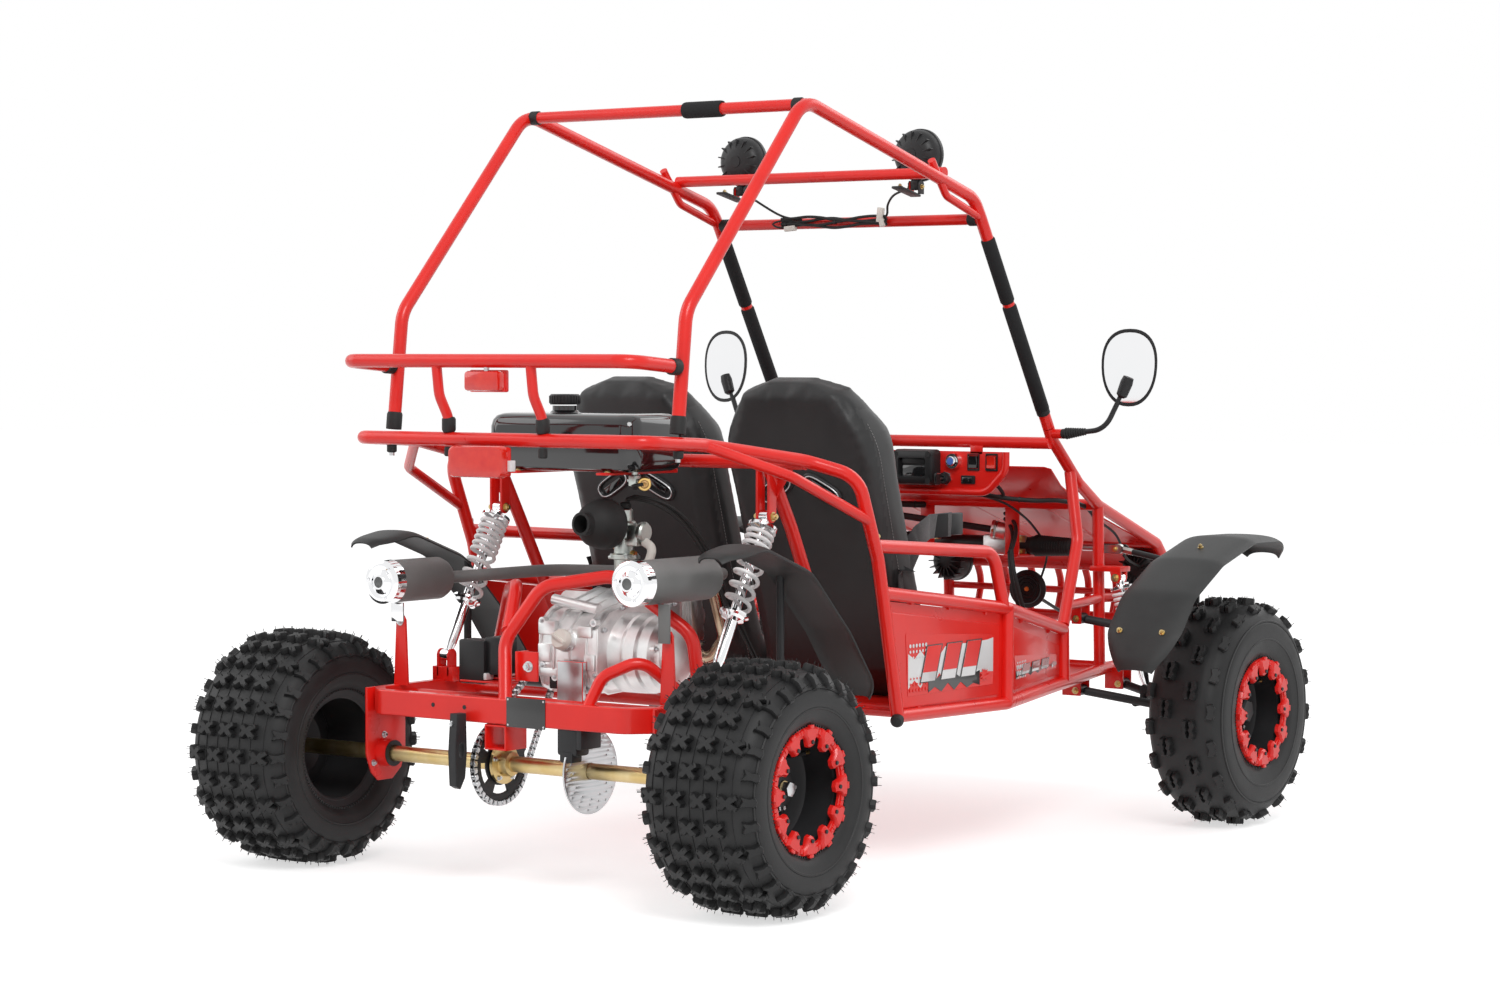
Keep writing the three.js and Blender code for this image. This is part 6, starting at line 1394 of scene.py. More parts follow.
engine.lathe("35,0 35,36 30,44 24,46.5 12,47.5 8,45.5 0,45.8 -14,42 -26,34 -33,24.5 -36,21.5 -44,20.5 -52,21.5"
    " -52.5,16.5 -45,15.5 -20,14 -18,0", dome, (0.036, 1, -0.04), SOFT_RUBBER, 56)
engine.add(bolts(engine_bolts, STEEL))

# %% Electrics beside the engine
engine.box(at(-152, 60, 402), (62, 44, 82), PLASTIC, 4)
engine.box(at(-108, 72, 414), (40, 50, 70), PLASTIC, 4)
engine.box(at(-128, 66, 366), (100, 60, 4), RED, 1)
engine.box(at(-130, 160, 372), (50, 200, 4), RED, 1)
for x, tone in ((-168, WHITE_PLUG), (-146, WHITE_PLUG), (-124, WHITE_SHEET)):
    engine.box(at(x, 50, 376), (16, 22, 13), tone, 1.5)
engine.rod(at(-20, 110, 378), at(-84, 110, 378), 22, PLASTIC, 28)
engine.dress("engine", "swing", "cast_aluminium")

# %% [markdown]
# ## Exhaust
# The header turns the steel brown with heat. It runs up into a black crossover pipe, which feeds two
# matte black silencers. Each has a chromed end cap with three bolts and a short outlet.


# %% Exhaust
exhaust = Bench()
exhaust_bolts = []
crossover = row("-321,146,547 -313,166,547 -256,214,552 -210,352,556 150,366,562 236,300,568 288,200,570 291,182,570")
exhaust.add(pipes([(crossover, 11.6, 60)], SILENCER))
exhaust.add(pipes([(row("60,364,556 112,440,528 112,478,430 84,474,392 52,462,392 52,462,420"), 12, 34)], HOT_PIPE))
exhaust.lathe("0,0 0,20 6,20 6,0", at(52, 462, 415), Z, STEEL, 24)
for x, z, rear, front in ((-321, 547, -30, 150), (292, 570, -64, 180)):
    long = (front - rear) * MM
    start = at(x, rear, z)
    exhaust.lathe([(0.010, 0.0), (0.010, 0.0395), (0.020, 0.0402), (long - 0.014, 0.0402), (long - 0.004, 0.036),
        (long, 0.020), (long, 0.0)], start, Y, SILENCER, 56)
    exhaust.ring("12,40.6 34,41.2 34,40.4 34.5,40.2 34.5,38.5 12,38.5", start, Y, CHROME, 56)
    exhaust.lathe("16,0 16,40.8 6,41.2 3,38 1.5,30 4,24 1,21.5 -1,16 -4,13.5 -4,10.5 8,10 12,8.5 12,0", start
        + mm(0, 4, 0), Y, CHROME, 56)
    exhaust.lathe("0,0 0.5,9.2 2,0", start + mm(0, 13, 0), Y, SILENCER, 20)
    exhaust_bolts += [(start + Vector((a, 0.0052, b)), -Y, 3.2) for a, b in ring_of(3, 0.031, 0.9)]
exhaust.box(at(315, 15.5, 496), (26, 3, 70), SILENCER, 0.8)
exhaust.box(at(-313, 15.5, 489), (30, 3, 36), SILENCER, 0.8)
exhaust.add(bolts(exhaust_bolts, CHROME))
exhaust.dress("exhaust", "swing", "black_paint")

# %% [markdown]
# ## Shock absorbers
# Four coil shocks carry the kart. White coated springs sit between a cap at the top eye and a seat on
# the chromed tube. The upper turns lie closer than the lower ones. A spring rides with its top eye.


# %% Springs, rods and tubes
def helix(radius, turns, close_turns, close_share, long, per_turn=18):
    """A spring's line down from zero. The close turns share one part of its length."""
    rows = []
    for i in range(round(turns * per_turn) + 1):
        turn = i / per_turn
        if turn < close_turns:
            drop = long * close_share * turn / close_turns
        else:
            drop = long * (close_share + (1 - close_share) * (turn - close_turns) / (turns - close_turns))
        rows.append(Vector((radius * cos(turn * 2 * pi), radius * sin(turn * 2 * pi), -drop)))
    return rows


def shock(name, side, top, low, coil, along, stroke):
    radius, wire, long, turns = coil
    way = (low - top).normalized()
    place = Matrix.Translation(top) @ Vector((0, 0, -1)).rotation_difference(way).to_matrix().to_4x4()
    length = (low - top).length
    spring = Bench()
    line = [p + mm(0, 0, -28.5) for p in helix(radius, turns, turns * 0.62, 0.44, long - 0.005)]
    spring.sweep(line, wire / MM, WHITE_COAT, sides=12)
    spring.mesh.transform(place)
    spring_piece = spring.piece(name + "_coil_" + side, name + "_top_" + side, "spring_white",
        [name + "_spring_" + side])
    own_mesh(spring_piece)
    upper = Bench()
    local = place.to_3x3().inverted() @ along
    upper.ring("-9.5,5.2 -9.5,10.8 -8.5,11.8 8.5,11.8 9.5,10.8 9.5,5.2", ORIGIN, local, CHROME, 28)
    upper.lathe([(0.006, 0.0), (0.006, 0.0085), (0.016, 0.009), (0.0185, radius * 0.85), (0.0200, radius + wire),
        (0.0255, radius + wire), (0.0262, radius + wire - 0.001), (0.0262, 0.0)], ORIGIN, -Z, CHROME, 36)
    tube_top = 0.026 + stroke + 0.016
    upper.rod(mm(0, 0, -25), Vector((0, 0, -tube_top - 0.03)), 5.2, CHROME, 16)
    upper.mesh.transform(place)
    upper.piece(name + "_cap_" + side, name + "_top_" + side, "chrome")
    lower = Bench()
    seat = 0.0262 + long + 0.0045
    lower.lathe([(tube_top, 0.0058), (tube_top, 0.0090), (tube_top + 0.003, 0.0098), (seat - 0.001, 0.0098),
        (seat, radius + wire), (seat + 0.004, radius + wire), (seat + 0.007, radius + wire - 0.005),
        (seat + 0.012, radius - 0.003), (seat + 0.016, 0.0115), (length - 0.026, 0.0110), (length - 0.020, 0.0098),
        (length - 0.008, 0.0085), (length - 0.006, 0.0)], ORIGIN, -Z, CHROME, 36)
    lower.ring("-9.5,6.6 -9.5,9.8 -8.5,10.8 8.5,10.8 9.5,9.8 9.5,6.6", Vector((0, 0, -length)), local, CHROME, 28)
    lower.mesh.transform(place)
    lower.piece(name + "_body_" + side, name + "_low_" + side, "chrome", [name + "_tube_" + side])


FRONT_COIL = (20.5 * MM, 3.6 * MM, 0.1245, 8.5)
REAR_COIL = (24 * MM, 4.0 * MM, 0.169, 9.5)
for side, hand in SIDES:
    shock("front_shock", side, at(hand * 385, 1531.5, 503), at(hand * 455, 1531.5, 270), FRONT_COIL, Y, 0.030)
    shock("rear_shock", side, at(hand * 319, 322, 676), at(hand * 319, 163, 398), REAR_COIL, X, 0.040)

# %% [markdown]
# ## Wishbones, carriers and knuckles
# Each front corner hangs on two black wishbones of pipe. The upright block between their tips holds the
# kingpin, and the knuckle turns on it with the wheel's stub, the steering arm and the fender's stay.


# %% Wishbones
def wishbone(name, hand, inner_z, outer_z, with_seat):
    bench = Bench()
    lines = []
    for y, way in ((1440, -1), (1622, 1)):
        inner = at(hand * 345, y, inner_z)
        outer = at(hand * 530, 1531.5, outer_z) + mm(0, way * 26.2, 0)
        lines.append(([inner + (outer - inner).normalized() * 0.011, outer], 9, 0))
        bench.ring("-14.8,5.8 -14.8,11.5 14.8,11.5 14.8,5.8", inner, Y, BLACK, 28)
        for end in (-1, 1):
            bench.ring("0,5.8 0,9.5 1.2,9.5 1.2,5.8", inner + mm(0, end * 14.2, 0), (0, end, 0), SOFT_RUBBER, 20)
        bench.box(outer + Vector((0, -way * 0.0112, 0)), (22, 5, 18), BLACK, 0.8)
    pin = at(hand * 530, 1531.5, outer_z)
    bench.rod(pin - mm(0, 23.5, 0), pin + mm(0, 23.5, 0), 4.8, STEEL, 16)
    ends = [(pin + mm(0, way * 17.8, 0), (0, way, 0), 6) for way in (-1, 1)]
    share = (455 - 345) / (530 - 345)
    z = inner_z + (outer_z - inner_z) * share
    rear_y = 1440 + (1531.5 - 26.2 - 1440) * share
    front_y = 1622 + (1531.5 + 26.2 - 1622) * share
    if with_seat:
        lines.append(([at(hand * 455, rear_y, z - 4), at(hand * 455, front_y, z - 4)], 9, 0))
        ears(bench, at(hand * 455, 1531.5, 270), Y, -20, BLACK, half=9.5)
    bench.add(pipes(lines, BLACK))
    bench.add(bolts(ends, STEEL))
    bench.dress(name, name, "black_paint")


for side, hand in SIDES:
    wishbone("lower_arm_" + side, hand, 268, 236, True)
    wishbone("upper_arm_" + side, hand, 420, 388, False)


# %% Kingpin carriers
def carrier(side, hand):
    bench = Bench()
    for z in (236, 388):
        bench.ring("-11.8,5.6 -11.8,10 -10.8,10.8 10.8,10.8 11.8,10 11.8,5.6", at(hand * 530, 1531.5, z), Y, BLACK,
            28)
    bench.box(at(hand * 530, 1531.5, 312), (9.5, 19, 131), BLACK, 1.5)
    bench.ring("0,7.4 0,12.5 51.5,12.5 51.5,7.4", at(hand * 553, 1531.5, 264.2), Z, BLACK, 28)
    bench.box(at(hand * 538, 1531.5, 290), (16, 11, 45), BLACK, 1.2)
    bench.dress("kingpin_carrier_" + side, "carrier_" + side, "black_paint")


# %% Knuckles
def knuckle(side, hand):
    bench = Bench()
    for z in (320.5, 259.5):
        bench.box(at(hand * 564, 1531.5, z), (40, 34, 7.5), BLACK, 2)
    bench.box(at(hand * 580, 1531.5, 290), (8, 34, 68), BLACK, 2)
    bench.box(at(hand * 580, 1531.5, 241), (8, 40, 52), BLACK, 4)
    bench.lathe("0,0 0,21 6,20 12,12.5 30,10.2 99.5,10 99.5,0", at(hand * 560 + hand * 0.5, 1531.5, 236.9)
        + mm(hand * 16.3, 0, 0), (hand, 0, 0), STEEL, 28)
    bench.rod(at(hand * 553, 1531.5, 256), at(hand * 553, 1531.5, 330), 6.6, STEEL, 16)
    bench.lathe("0,0 0,10.5 8,10.5 8.5,8 8.5,0", at(hand * 553, 1531.5, 324), Z, STEEL, 6)
    arm_line = row("553,1543.5,325 553,1575.5,338 534,1596,416 534,1596,508")
    stay_line = row("553,1519.5,325 553,1487.5,320 550,1457.5,426 553,1457.5,534 640,1457.5,546")
    bench.add(pipes([(sided(arm_line, hand), 9, 22), (sided(stay_line, hand), 8, 26)], BLACK))
    bench.lathe("0,0 0,9 11.5,9 11.5,0", at(hand * 530, 1600, 499.5), Z, BLACK, 24)
    bench.box(at(hand * 646, 1457.5, 556), (30, 40, 4), BLACK, 1, turn=Matrix.Rotation(0.30, 3, "X"))
    bench.rod(at(hand * 642, 1457.5, 546), at(hand * 642, 1457.5, 556), 7, BLACK, 16)
    bench.dress("knuckle_" + side, "knuckle_" + side, "black_paint")


for side, hand in SIDES:
    carrier(side, hand)
    knuckle(side, hand)


# %% Tie rods
def tie_rod(side, hand):
    bench = Bench()
    inner, outer = at(hand * 345, 1600, 560), at(hand * 530, 1600, 528)
    way = (outer - inner).normalized()
    bench.rod(inner + way * 0.010, outer - way * 0.010, 6.4, BLACK, 20)
    bench.rod(inner + way * 0.010, inner + way * 0.036, 7.6, ZINC, 6)
    bench.rod(outer - way * 0.036, outer - way * 0.010, 7.6, ZINC, 6)
    bench.ring("-7.5,5.6 -7.5,10.5 7.5,10.5 7.5,5.6", inner, Y, ZINC, 24)
    ball = [(0.0105 * sin(t), 0.0105 * cos(t)) for t in (pi * (i / 10 - 0.5) for i in range(11))]
    bench.lathe([(a, max(b, 0.0)) for a, b in ball], outer, Z, ZINC, 24)
    bench.lathe("6,0 6,7.5 14,5.5 14,0", outer, Z, SOFT_RUBBER, 20)
    bench.dress("tie_rod_" + side, "tie_rod_" + side, "black_paint")


for side, hand in SIDES:
    tie_rod(side, hand)

# %% [markdown]
# ## Fenders
# The fenders are moulded plastic with a rolled edge and a crowned middle. A grid of points follows the
# fender's side line, its edge turned down, and Solidify gives the sheet its thickness.


# %% Moulded fenders
def split_line(line, step):
    """The same line with more points, about a step apart."""
    dense = []
    for a, b in zip(line, line[1:]):
        steps = max(1, round((b - a).length / step))
        dense += [a.lerp(b, i / steps) for i in range(steps)]
    return dense + [line[-1]]


def fender(name, body, hand, rows, low_x, high_x, crown, corner_cut, bolts_at, skirt=8, stay=None):
    line = filleted([Vector((0, y, z)) for y, z in rows], 90, radians(5))
    dense = split_line(line, 14)
    total = length_of(dense)
    middle, half = (low_x + high_x) / 2, (high_x - low_x) / 2
    columns = 26
    rings, gone = [], 0.0
    for i, p in enumerate(dense):
        if i:
            gone += (p - dense[i - 1]).length
        near = min(gone, total - gone)
        narrow = corner_cut * max(0.0, 1 - near / (corner_cut * 2.2)) ** 1.8
        before, after = dense[max(i - 1, 0)], dense[min(i + 1, len(dense) - 1)]
        ahead = (after - before).normalized()
        normal = Vector((0, -ahead.z, ahead.y))
        ring = []
        for k in range(columns + 1):
            share = 2 * k / columns - 1
            edge = abs(share) ** 6
            end = max(0.0, 1 - near / 16) ** 2
            sink = crown * share * share + skirt * edge + skirt * 0.7 * end
            q = p + Vector((middle + share * (half - narrow), 0, 0)) - normal * (sink + 2.0)
            ring.append(at(q.x * hand, q.y, q.z))
        rings.append(ring)
    mesh = bpy.data.meshes.new(name)
    wide = columns + 1
    faces = [(i * wide + k, i * wide + k + 1, (i + 1) * wide + k + 1, (i + 1) * wide + k)
        for i in range(len(rings) - 1) for k in range(columns)]
    mesh.from_pydata([tuple(p) for ring in rings for p in ring], [], faces)
    source = placed(name, mesh)
    wall = source.modifiers.new("wall", "SOLIDIFY")
    wall.thickness = 0.003
    wall.offset = 0.0
    bench = Bench()
    bench.add(mesh_of(source), FENDER, weld=1e-6)
    heads = []
    for x, y, lift in bolts_at:
        for (y0, z0), (y1, z1) in zip(rows, rows[1:]):
            if min(y0, y1) <= y <= max(y0, y1):
                z = z0 + (z1 - z0) * (y - y0) / (y1 - y0)
                slope = Vector((0, z0 - z1, y1 - y0)).normalized()
                heads.append((at(x * hand, y, z) + slope * lift * MM, slope, 5))
                break
    bench.add(bolts(heads, YELLOW_ZINC))
    if stay:
        line = sided(stay, hand)
        bench.add(pipes([(line, 7.5, 30)], BLACK))
        bench.box(line[0] + Vector((-hand * 0.006, 0, 0)), (6, 30, 30), BLACK)
    bench.dress(name, body, "black_plastic")


FRONT_ROWS = numbers("1110,354 1148,424 1213,500 1337,564 1480,604 1600,603 1688,567")
REAR_ROWS = numbers("20,622 123,640 274,588 400,470 505,340")
for side, hand in SIDES:
    fender("front_fender_" + side, "knuckle_" + side, hand, FRONT_ROWS, 566, 732, 5, 46,
        [(600, 1150, -2.0), (696, 1150, -2.0), (649, 1400, 0.5)])
    fender("rear_fender_" + side, "swing", hand, REAR_ROWS, 360, 462, 4, 26, [(410, 285, 0.5), (410, 210, 0.5)], 6,
        row("344,290,330 374,290,370 374,290,574"))

# %% [markdown]
# ## Seats
# Each seat is a moulded shell with foam and vinyl over it: a black back, grey bolsters at the sides, and
# two slanted slots for belts, framed by plastic bezels. The shape is skinned over sections that follow
# the seat's line. The foam is blown up a little with cloth pressure, so its sides pull in at the seams.

# %% The seat's sections
SEAT_LINE = filleted([Vector((0, y, z)) for y, z in numbers("548,925 606,720 668,520 728,342 776,302 1130,316")], 60,
    radians(8))
SEAT_BASE, SEAT_BOLSTER, SEAT_HALF = 58, 96, 178


def half_width(gone, total):
    """The back narrows to a rounded head, and the cushion's front corners are round."""
    top = min(1.0, gone / 165)
    head = 92 + (SEAT_HALF - 92) * sin(top * pi / 2) ** 0.9
    if gone < 22:
        head *= 0.55 + 0.45 * sqrt(gone / 22)
    front = min(1.0, (total - gone) / 60)
    return head * (0.86 + 0.14 * sqrt(front))


def seat_face(ahead):
    """The side of the seat that is sat on, at a place where its line runs ahead."""
    face = Vector((0, -ahead.z, ahead.y))
    return -face if face.y < 0 and abs(face.y) > abs(face.z) else face


def seat_form(centre_x, shrink):
    """Rings across the seat, whose outline has two bolsters with a flat cushion between."""
    right = numbers("1,0.72 0.975,0.93 0.90,1 0.80,0.98 0.72,0.80 0.66,0.60 0.60,0.56 0.30,0.58 0,0.59")
    under = numbers("-1,0.28 -0.985,0.10 -0.93,0 -0.5,-0.005 0,0 0.5,-0.005 0.93,0 0.985,0.10 1,0.28")
    outline = under + right + [(-a, b) for a, b in right[-2::-1]]
    rows = split_line(SEAT_LINE, 24)
    total = length_of(rows)
    rings, gone = [], 0.0
    for i, p in enumerate(rows):
        if i:
            gone += (p - rows[i - 1]).length
        face = seat_face((rows[min(i + 1, len(rows) - 1)] - rows[max(i - 1, 0)]).normalized())
        wide = half_width(gone, total) - shrink
        ease = min(1.0, gone / 120) * min(1.0, (total - gone) / 70)
        ends = sqrt(min(1.0, (gone + 3) / 26)) * sqrt(min(1.0, (total - gone + 3) / 22))
        ring = []
        for u, v in outline:
            deep = v * SEAT_BOLSTER if v < 0.55 else (v - 0.59) / 0.41 * (SEAT_BOLSTER - SEAT_BASE) * ease + SEAT_BASE
            deep = deep * (0.55 + 0.45 * ends) + SEAT_BASE * 0.22 * (1 - ends)
            q = p + face * (deep + 1.0) + Vector((u * wide, 0, 0))
            ring.append(at(q.x + centre_x, q.y, q.z))
        rings.append(ring)
    return rings


# %% Blow the foam up
def blown(mesh_source, swell=0.006):
    """Cloth pressure on the closed form, with how far a point may move held down."""
    bpy.context.view_layer.objects.active = mesh_source
    remesh = mesh_source.modifiers.new("even", "REMESH")
    remesh.mode = "VOXEL"
    remesh.voxel_size = 0.0062
    even = mesh_of(mesh_source)
    foam = placed("foam", even)
    before = [v.co.copy() for v in even.vertices]
    cloth = foam.modifiers.new("foam", "CLOTH")
    cloth.settings.use_pressure = True
    cloth.settings.uniform_pressure_force = 4.0
    cloth.settings.effector_weights.gravity = 0.0
    cloth.settings.quality = 4
    scene = bpy.context.scene
    for step in range(1, 15):
        scene.frame_set(step)
    moved_mesh = bpy.data.meshes.new_from_object(foam.evaluated_get(bpy.context.evaluated_depsgraph_get()))
    foam.modifiers.clear()
    scene.frame_set(1)
    for v, start, end in zip(even.vertices, before, moved_mesh.vertices):
        step = end.co - start
        v.co = start + (step if step.length <= swell else step.normalized() * swell)
    bpy.data.meshes.remove(moved_mesh)
    smooth = foam.modifiers.new("smooth", "SMOOTH")
    smooth.factor = 0.5
    smooth.iterations = 3
    return mesh_of(foam)


# %% Stitches along a seam
stitch_tree, stitch_in, stitch_out = new_tree("stitches", ("Pitch", "NodeSocketFloat"),
    ("Finish", "NodeSocketMaterial"))
seam = new_node(stitch_tree, "MeshToCurve", {"Mesh": stitch_in})
stations = new_node(stitch_tree, "ResampleCurve", {"Curve": seam, "Length": stitch_in.outputs["Pitch"]},
    mode="LENGTH")
stitch = new_node(stitch_tree, "MeshCylinder", {"Vertices": 6, "Radius": 0.0006, "Depth": 0.0042})
along_seam = new_node(stitch_tree, "FunctionNodeAlignRotationToVector", {"Vector": new_node(stitch_tree,
    "InputTangent")}, axis="Z")
sewn = new_node(stitch_tree, "InstanceOnPoints", {"Points": stations, "Instance": stitch, "Rotation": along_seam})
finish_tree(stitch_tree, stitch_in, stitch_out, sewn)


def stitches(line):
    edges = [(i, i + 1) for i in range(len(line) - 1)]
    return grown(source_of(line, edges), stitch_tree, Pitch=0.0065, Finish=THREAD)


# %% Seats
def seat(side, hand):
    centre = hand * 200
    form = Bench()
    form.loft(seat_form(centre, 4.0), VINYL)
    foam = blown(loose(form))
    foam.materials.clear()
    foam.materials.append(VINYL)
    foam.materials.append(GREY_VINYL)
    middle_x = centre * MM
    for polygon in foam.polygons:
        p = polygon.center
        place = Vector((0, (p.y - AXLE_Y) / MM, p.z / MM))
        flank = abs(p.x - middle_x) / MM
        best = min(range(len(SEAT_LINE) - 1), key=lambda i: ((SEAT_LINE[i] + SEAT_LINE[i + 1]) / 2 - place).length)
        a, b = SEAT_LINE[best], SEAT_LINE[best + 1]
        deep = (place - a).dot(seat_face((b - a).normalized()))
        polygon.material_index = 1 if deep > 22 and flank > 104 and place.z < 872 else 0
    bench = Bench()
    bench.add(foam)
    for corner in (0, 8, 13, 21):
        bench.add(stitches([ring[corner] for ring in seat_form(centre, 1.5)[4:-2]]))
    rear = (at(0, 606, 720) - at(0, 548, 925)).normalized()
    out = Vector((0, rear.z, -rear.y))
    for way in (-1, 1):
        slot_middle = at(centre + way * 54, 602, 716) + out * 0.0015
        slot_across = (Vector((way * cos(0.52), 0, 0)) + rear * sin(0.52)).normalized()
        up = out.cross(slot_across).normalized()

        def slot_ring(lift, long, tall):
            return [slot_middle + slot_across * long * bulged(a, 0.6) + up * tall * bulged(b, 0.75) + out * lift
                for a, b in ring_of(28, 1.0)]

        bench.loft([slot_ring(*sizes) for sizes in numbers("-10,47,21 1,47,21 3.5,44,18.5 3.5,38,13 0.5,36,11.5"
            " -6,34,10", MM)], PLASTIC)
        bench.sweep(slot_ring(0.0036, 0.041, 0.0158), 1.4, STEEL, sides=8, closed=True)
        bench.box(slot_middle + out * 0.0015 + up * 0.003, (52, 4, 12), TANK, 1,
            turn=Matrix((slot_across, -out, up)).transposed())
    made = bench.dress("seat_" + side, "chassis", "vinyl")


for side, hand in SIDES:
    seat(side, hand)


# %% [markdown]
# The belts are flat webbing. A strap comes out over each seat's outer shoulder with a square of hook
# tape, and it lies along the bolster. It is modelled directly, as a bent strip with a thickness.


# %% Belts
def strap(points, wide, side_way):
    """A bench with a bent strip of webbing, slightly rippled."""
    bench = Bench()
    line = filleted(points, 0.03)
    section = numbers("-1,-0.8 -0.96,-1.2 0.96,-1.2 1,-0.8 1,0.8 0.96,1.2 -0.96,1.2 -1,0.8")
    rings = []
    for i, p in enumerate(line):
        ahead = (line[min(i + 1, len(line) - 1)] - line[max(i - 1, 0)]).normalized()
        across_way = (side_way - ahead * side_way.dot(ahead)).normalized()
        up = ahead.cross(across_way)
        ripple = 0.0008 * sin(i * 1.3)
        rings.append([p + across_way * a * wide / 2 + up * (b * MM + ripple) for a, b in section])
    bench.loft(rings, WEBBING)
    return bench


for side, hand in SIDES:
    belt_line = row("356,905,640 372,800,640 380,742,622 376,700,560 372,716,470 370,760,380")
    belt = strap(sided(belt_line, hand), 0.048, Vector((0, 0.25, 1)))
    belt.box(at(hand * 366, 846, 640), (4, 60, 46), FOAM, 1)
    belt.box(at(hand * 350, 925, 640), (14, 50, 44), PLASTIC, 3)
    belt.piece("belt_" + side, "chassis")

# %% [markdown]
# ## Tank and rear lamp
# The tank is two gloss black pressings, joined by a seam flange round its middle, with a ribbed cap on a
# short neck. The rear lamp's red lens has facets moulded inside.


# %% Tank
def rounded(half_x, half_y, corner, count=8):
    """A rectangle with round corners."""
    ring = []
    for start, (x, y) in enumerate(((1, 1), (-1, 1), (-1, -1), (1, -1))):
        for turn in (pi / 2 * (start + i / count) for i in range(count + 1)):
            ring.append((x * (half_x - corner) + corner * cos(turn), y * (half_y - corner) + corner * sin(turn)))
    return ring


tank = Bench()
tank_rings = []
for z, inset in numbers("758.5,26 759.5,16 764,7 774,2 800,0.5 806,0.5 806.5,-0.6 812.5,-0.6 813,0.5 840,1 852,4"
        " 860,10 864,20 865.5,34"):
    tank_rings.append([at(a, 190 + b, z) for a, b in rounded(175.5 - inset, 88.5 - inset, max(8, 34 - inset * 0.5))])
tank.loft(tank_rings, TANK)
tank.lathe("0,0 0,30 4,26 6,23.5 14.5,23.5 14.5,0", at(-50, 190, 864), Z, TANK, 32)
for x in (-105.6, 105.6):
    tank.box(at(x, 95, 808), (24, 12, 3), TANK, 0.8)
tank.dress("fuel_tank", "chassis", "black_plastic")

cap = Bench()
cap.lathe("0,0 0,27.5 3,29 17,28.5 19.5,26 19.5,12 18.5,10 18.5,0", at(-50, 190, 880.4), Z, PLASTIC, 48)
cap_rib = Bench()
cap_rib.box(mm(9.5, 0, 28.8), (14, 3.2, 2), PLASTIC, 0.6)
cap_ribs = around(cap_rib, 30, PLASTIC)
cap_ribs.transform(Matrix.Translation(at(-50, 190, 880.4)) @ Matrix.Rotation(-pi / 2, 4, "Y"))
cap.add(cap_ribs)
cap.dress("fuel_cap", "fuel_cap", "black_plastic")

# %% Rear lamp
lamp = Bench()
lens_outline = rounded(0.064, 0.029, 0.012, 5)
lens_steps = numbers("0,0 -12,0.6 -15.5,2.2 -17,6", MM)
lamp.loft([[at(-10, -104, 781) + Vector((a * (1 - inset / 0.064), depth, b * (1 - inset / 0.029))) for a,
    b in lens_outline] for depth, inset in lens_steps], LENS)
for i in range(11):
    lamp.box(at(-10 + (i - 5) * 11, -118.5, 781), (4.2, 4, 44), RED_PLASTIC, 1)
lamp.box(at(-10, -96, 781), (122, 16, 53), RED_PLASTIC, 4)
lamp.box(at(-10, -88.5, 776), (60, 3, 44), RED, 0.6)
lamp.box(at(56.5, -97, 774), (10, 14, 20), WHITE_SHEET, 1.5)
lamp.dress("tail_light", "chassis", "red_lens")

# %% [markdown]
# ## Dash and controls
# The dash is a red sheet with a round wire rim, hung from the dash bar. It carries a black switch
# housing, a chromed start button with a blue middle, the key, and three rocker switches in black frames.

# %% Dash
dash = Bench()
dash_outline = numbers("-228,772 -228,732 -215,702 -186,689 186,689 215,702 228,732 228,772", MM)
DASH_Y = 1318
dash.plate(dash_outline[::-1], 3, RED, at(0, DASH_Y, 0), X, Z, 0.6)
dash.add(pipes([(across(f"186,{DASH_Y},686 232,{DASH_Y},732 232,{DASH_Y},772"), 8, 40)], RED, 16))
for x in (-160, 160):
    dash.box(at(x, DASH_Y, 775.5), (30, 3, 18), RED, 0.5)
FACE = at(0, DASH_Y - 1.5, 0).y


def on_dash(x, z, out=0.0):
    return Vector((x * MM, FACE - out * MM, z * MM))


dash.loft([[on_dash(19 + a, 737 + b, out) for a, b in rounded(52 - inset, 38 - inset, max(3, 10 - inset * 0.3), 4)]
    for out, inset in numbers("-1,0 22,0 30,3 34,9 34,18 24,20 23.5,30")], PLASTIC)
for a in (-1, 1):
    for b in (-1, 1):
        dash.rod(on_dash(19 + a * 41, 737 + b * 28, 28), on_dash(19 + a * 41, 737 + b * 28, 34.5), 6.5, PLASTIC, 20)
dash.box(on_dash(19, 728, 25.5), (58, 4, 26), TANK, 1.5)
dash.box(on_dash(19, 752, 25.5), (58, 4, 16), SOFT_RUBBER, 1.5)
for x in (154, 199):
    dash.plate(rounded(0.0145, 0.0185, 0.002, 3), 4, PLASTIC, on_dash(x, 750, 1.2), X, Z, 0.8,
        [numbers("-11.6,-14.6 11.6,-14.6 11.6,14.6 -11.6,14.6", MM)])
dash.plate(rounded(0.017, 0.009, 0.002, 3), 4, PLASTIC, on_dash(141, 712, 1.2), X, Z, 0.8)
dash.box(on_dash(141, 712, 4), (24, 7, 11), TANK, 1.5, turn=Matrix.Rotation(0.10, 3, "Z"))
dash.ring("0,10.5 0,17.2 -6,17.2 -11,16 -14,16 -14,10.5", on_dash(108, 751), Y, CHROME, 36)
dash.ring("0,5 0,12.5 -13,12.5 -16,10.5 -16,5", on_dash(86, 714), Y, PLASTIC, 32)
dash.ring("-1,12.6 -1,15 -4,15 -4,12.6", on_dash(86, 714), Y, CHROME, 6)
dash.dress("dashboard", "chassis", "red_paint")

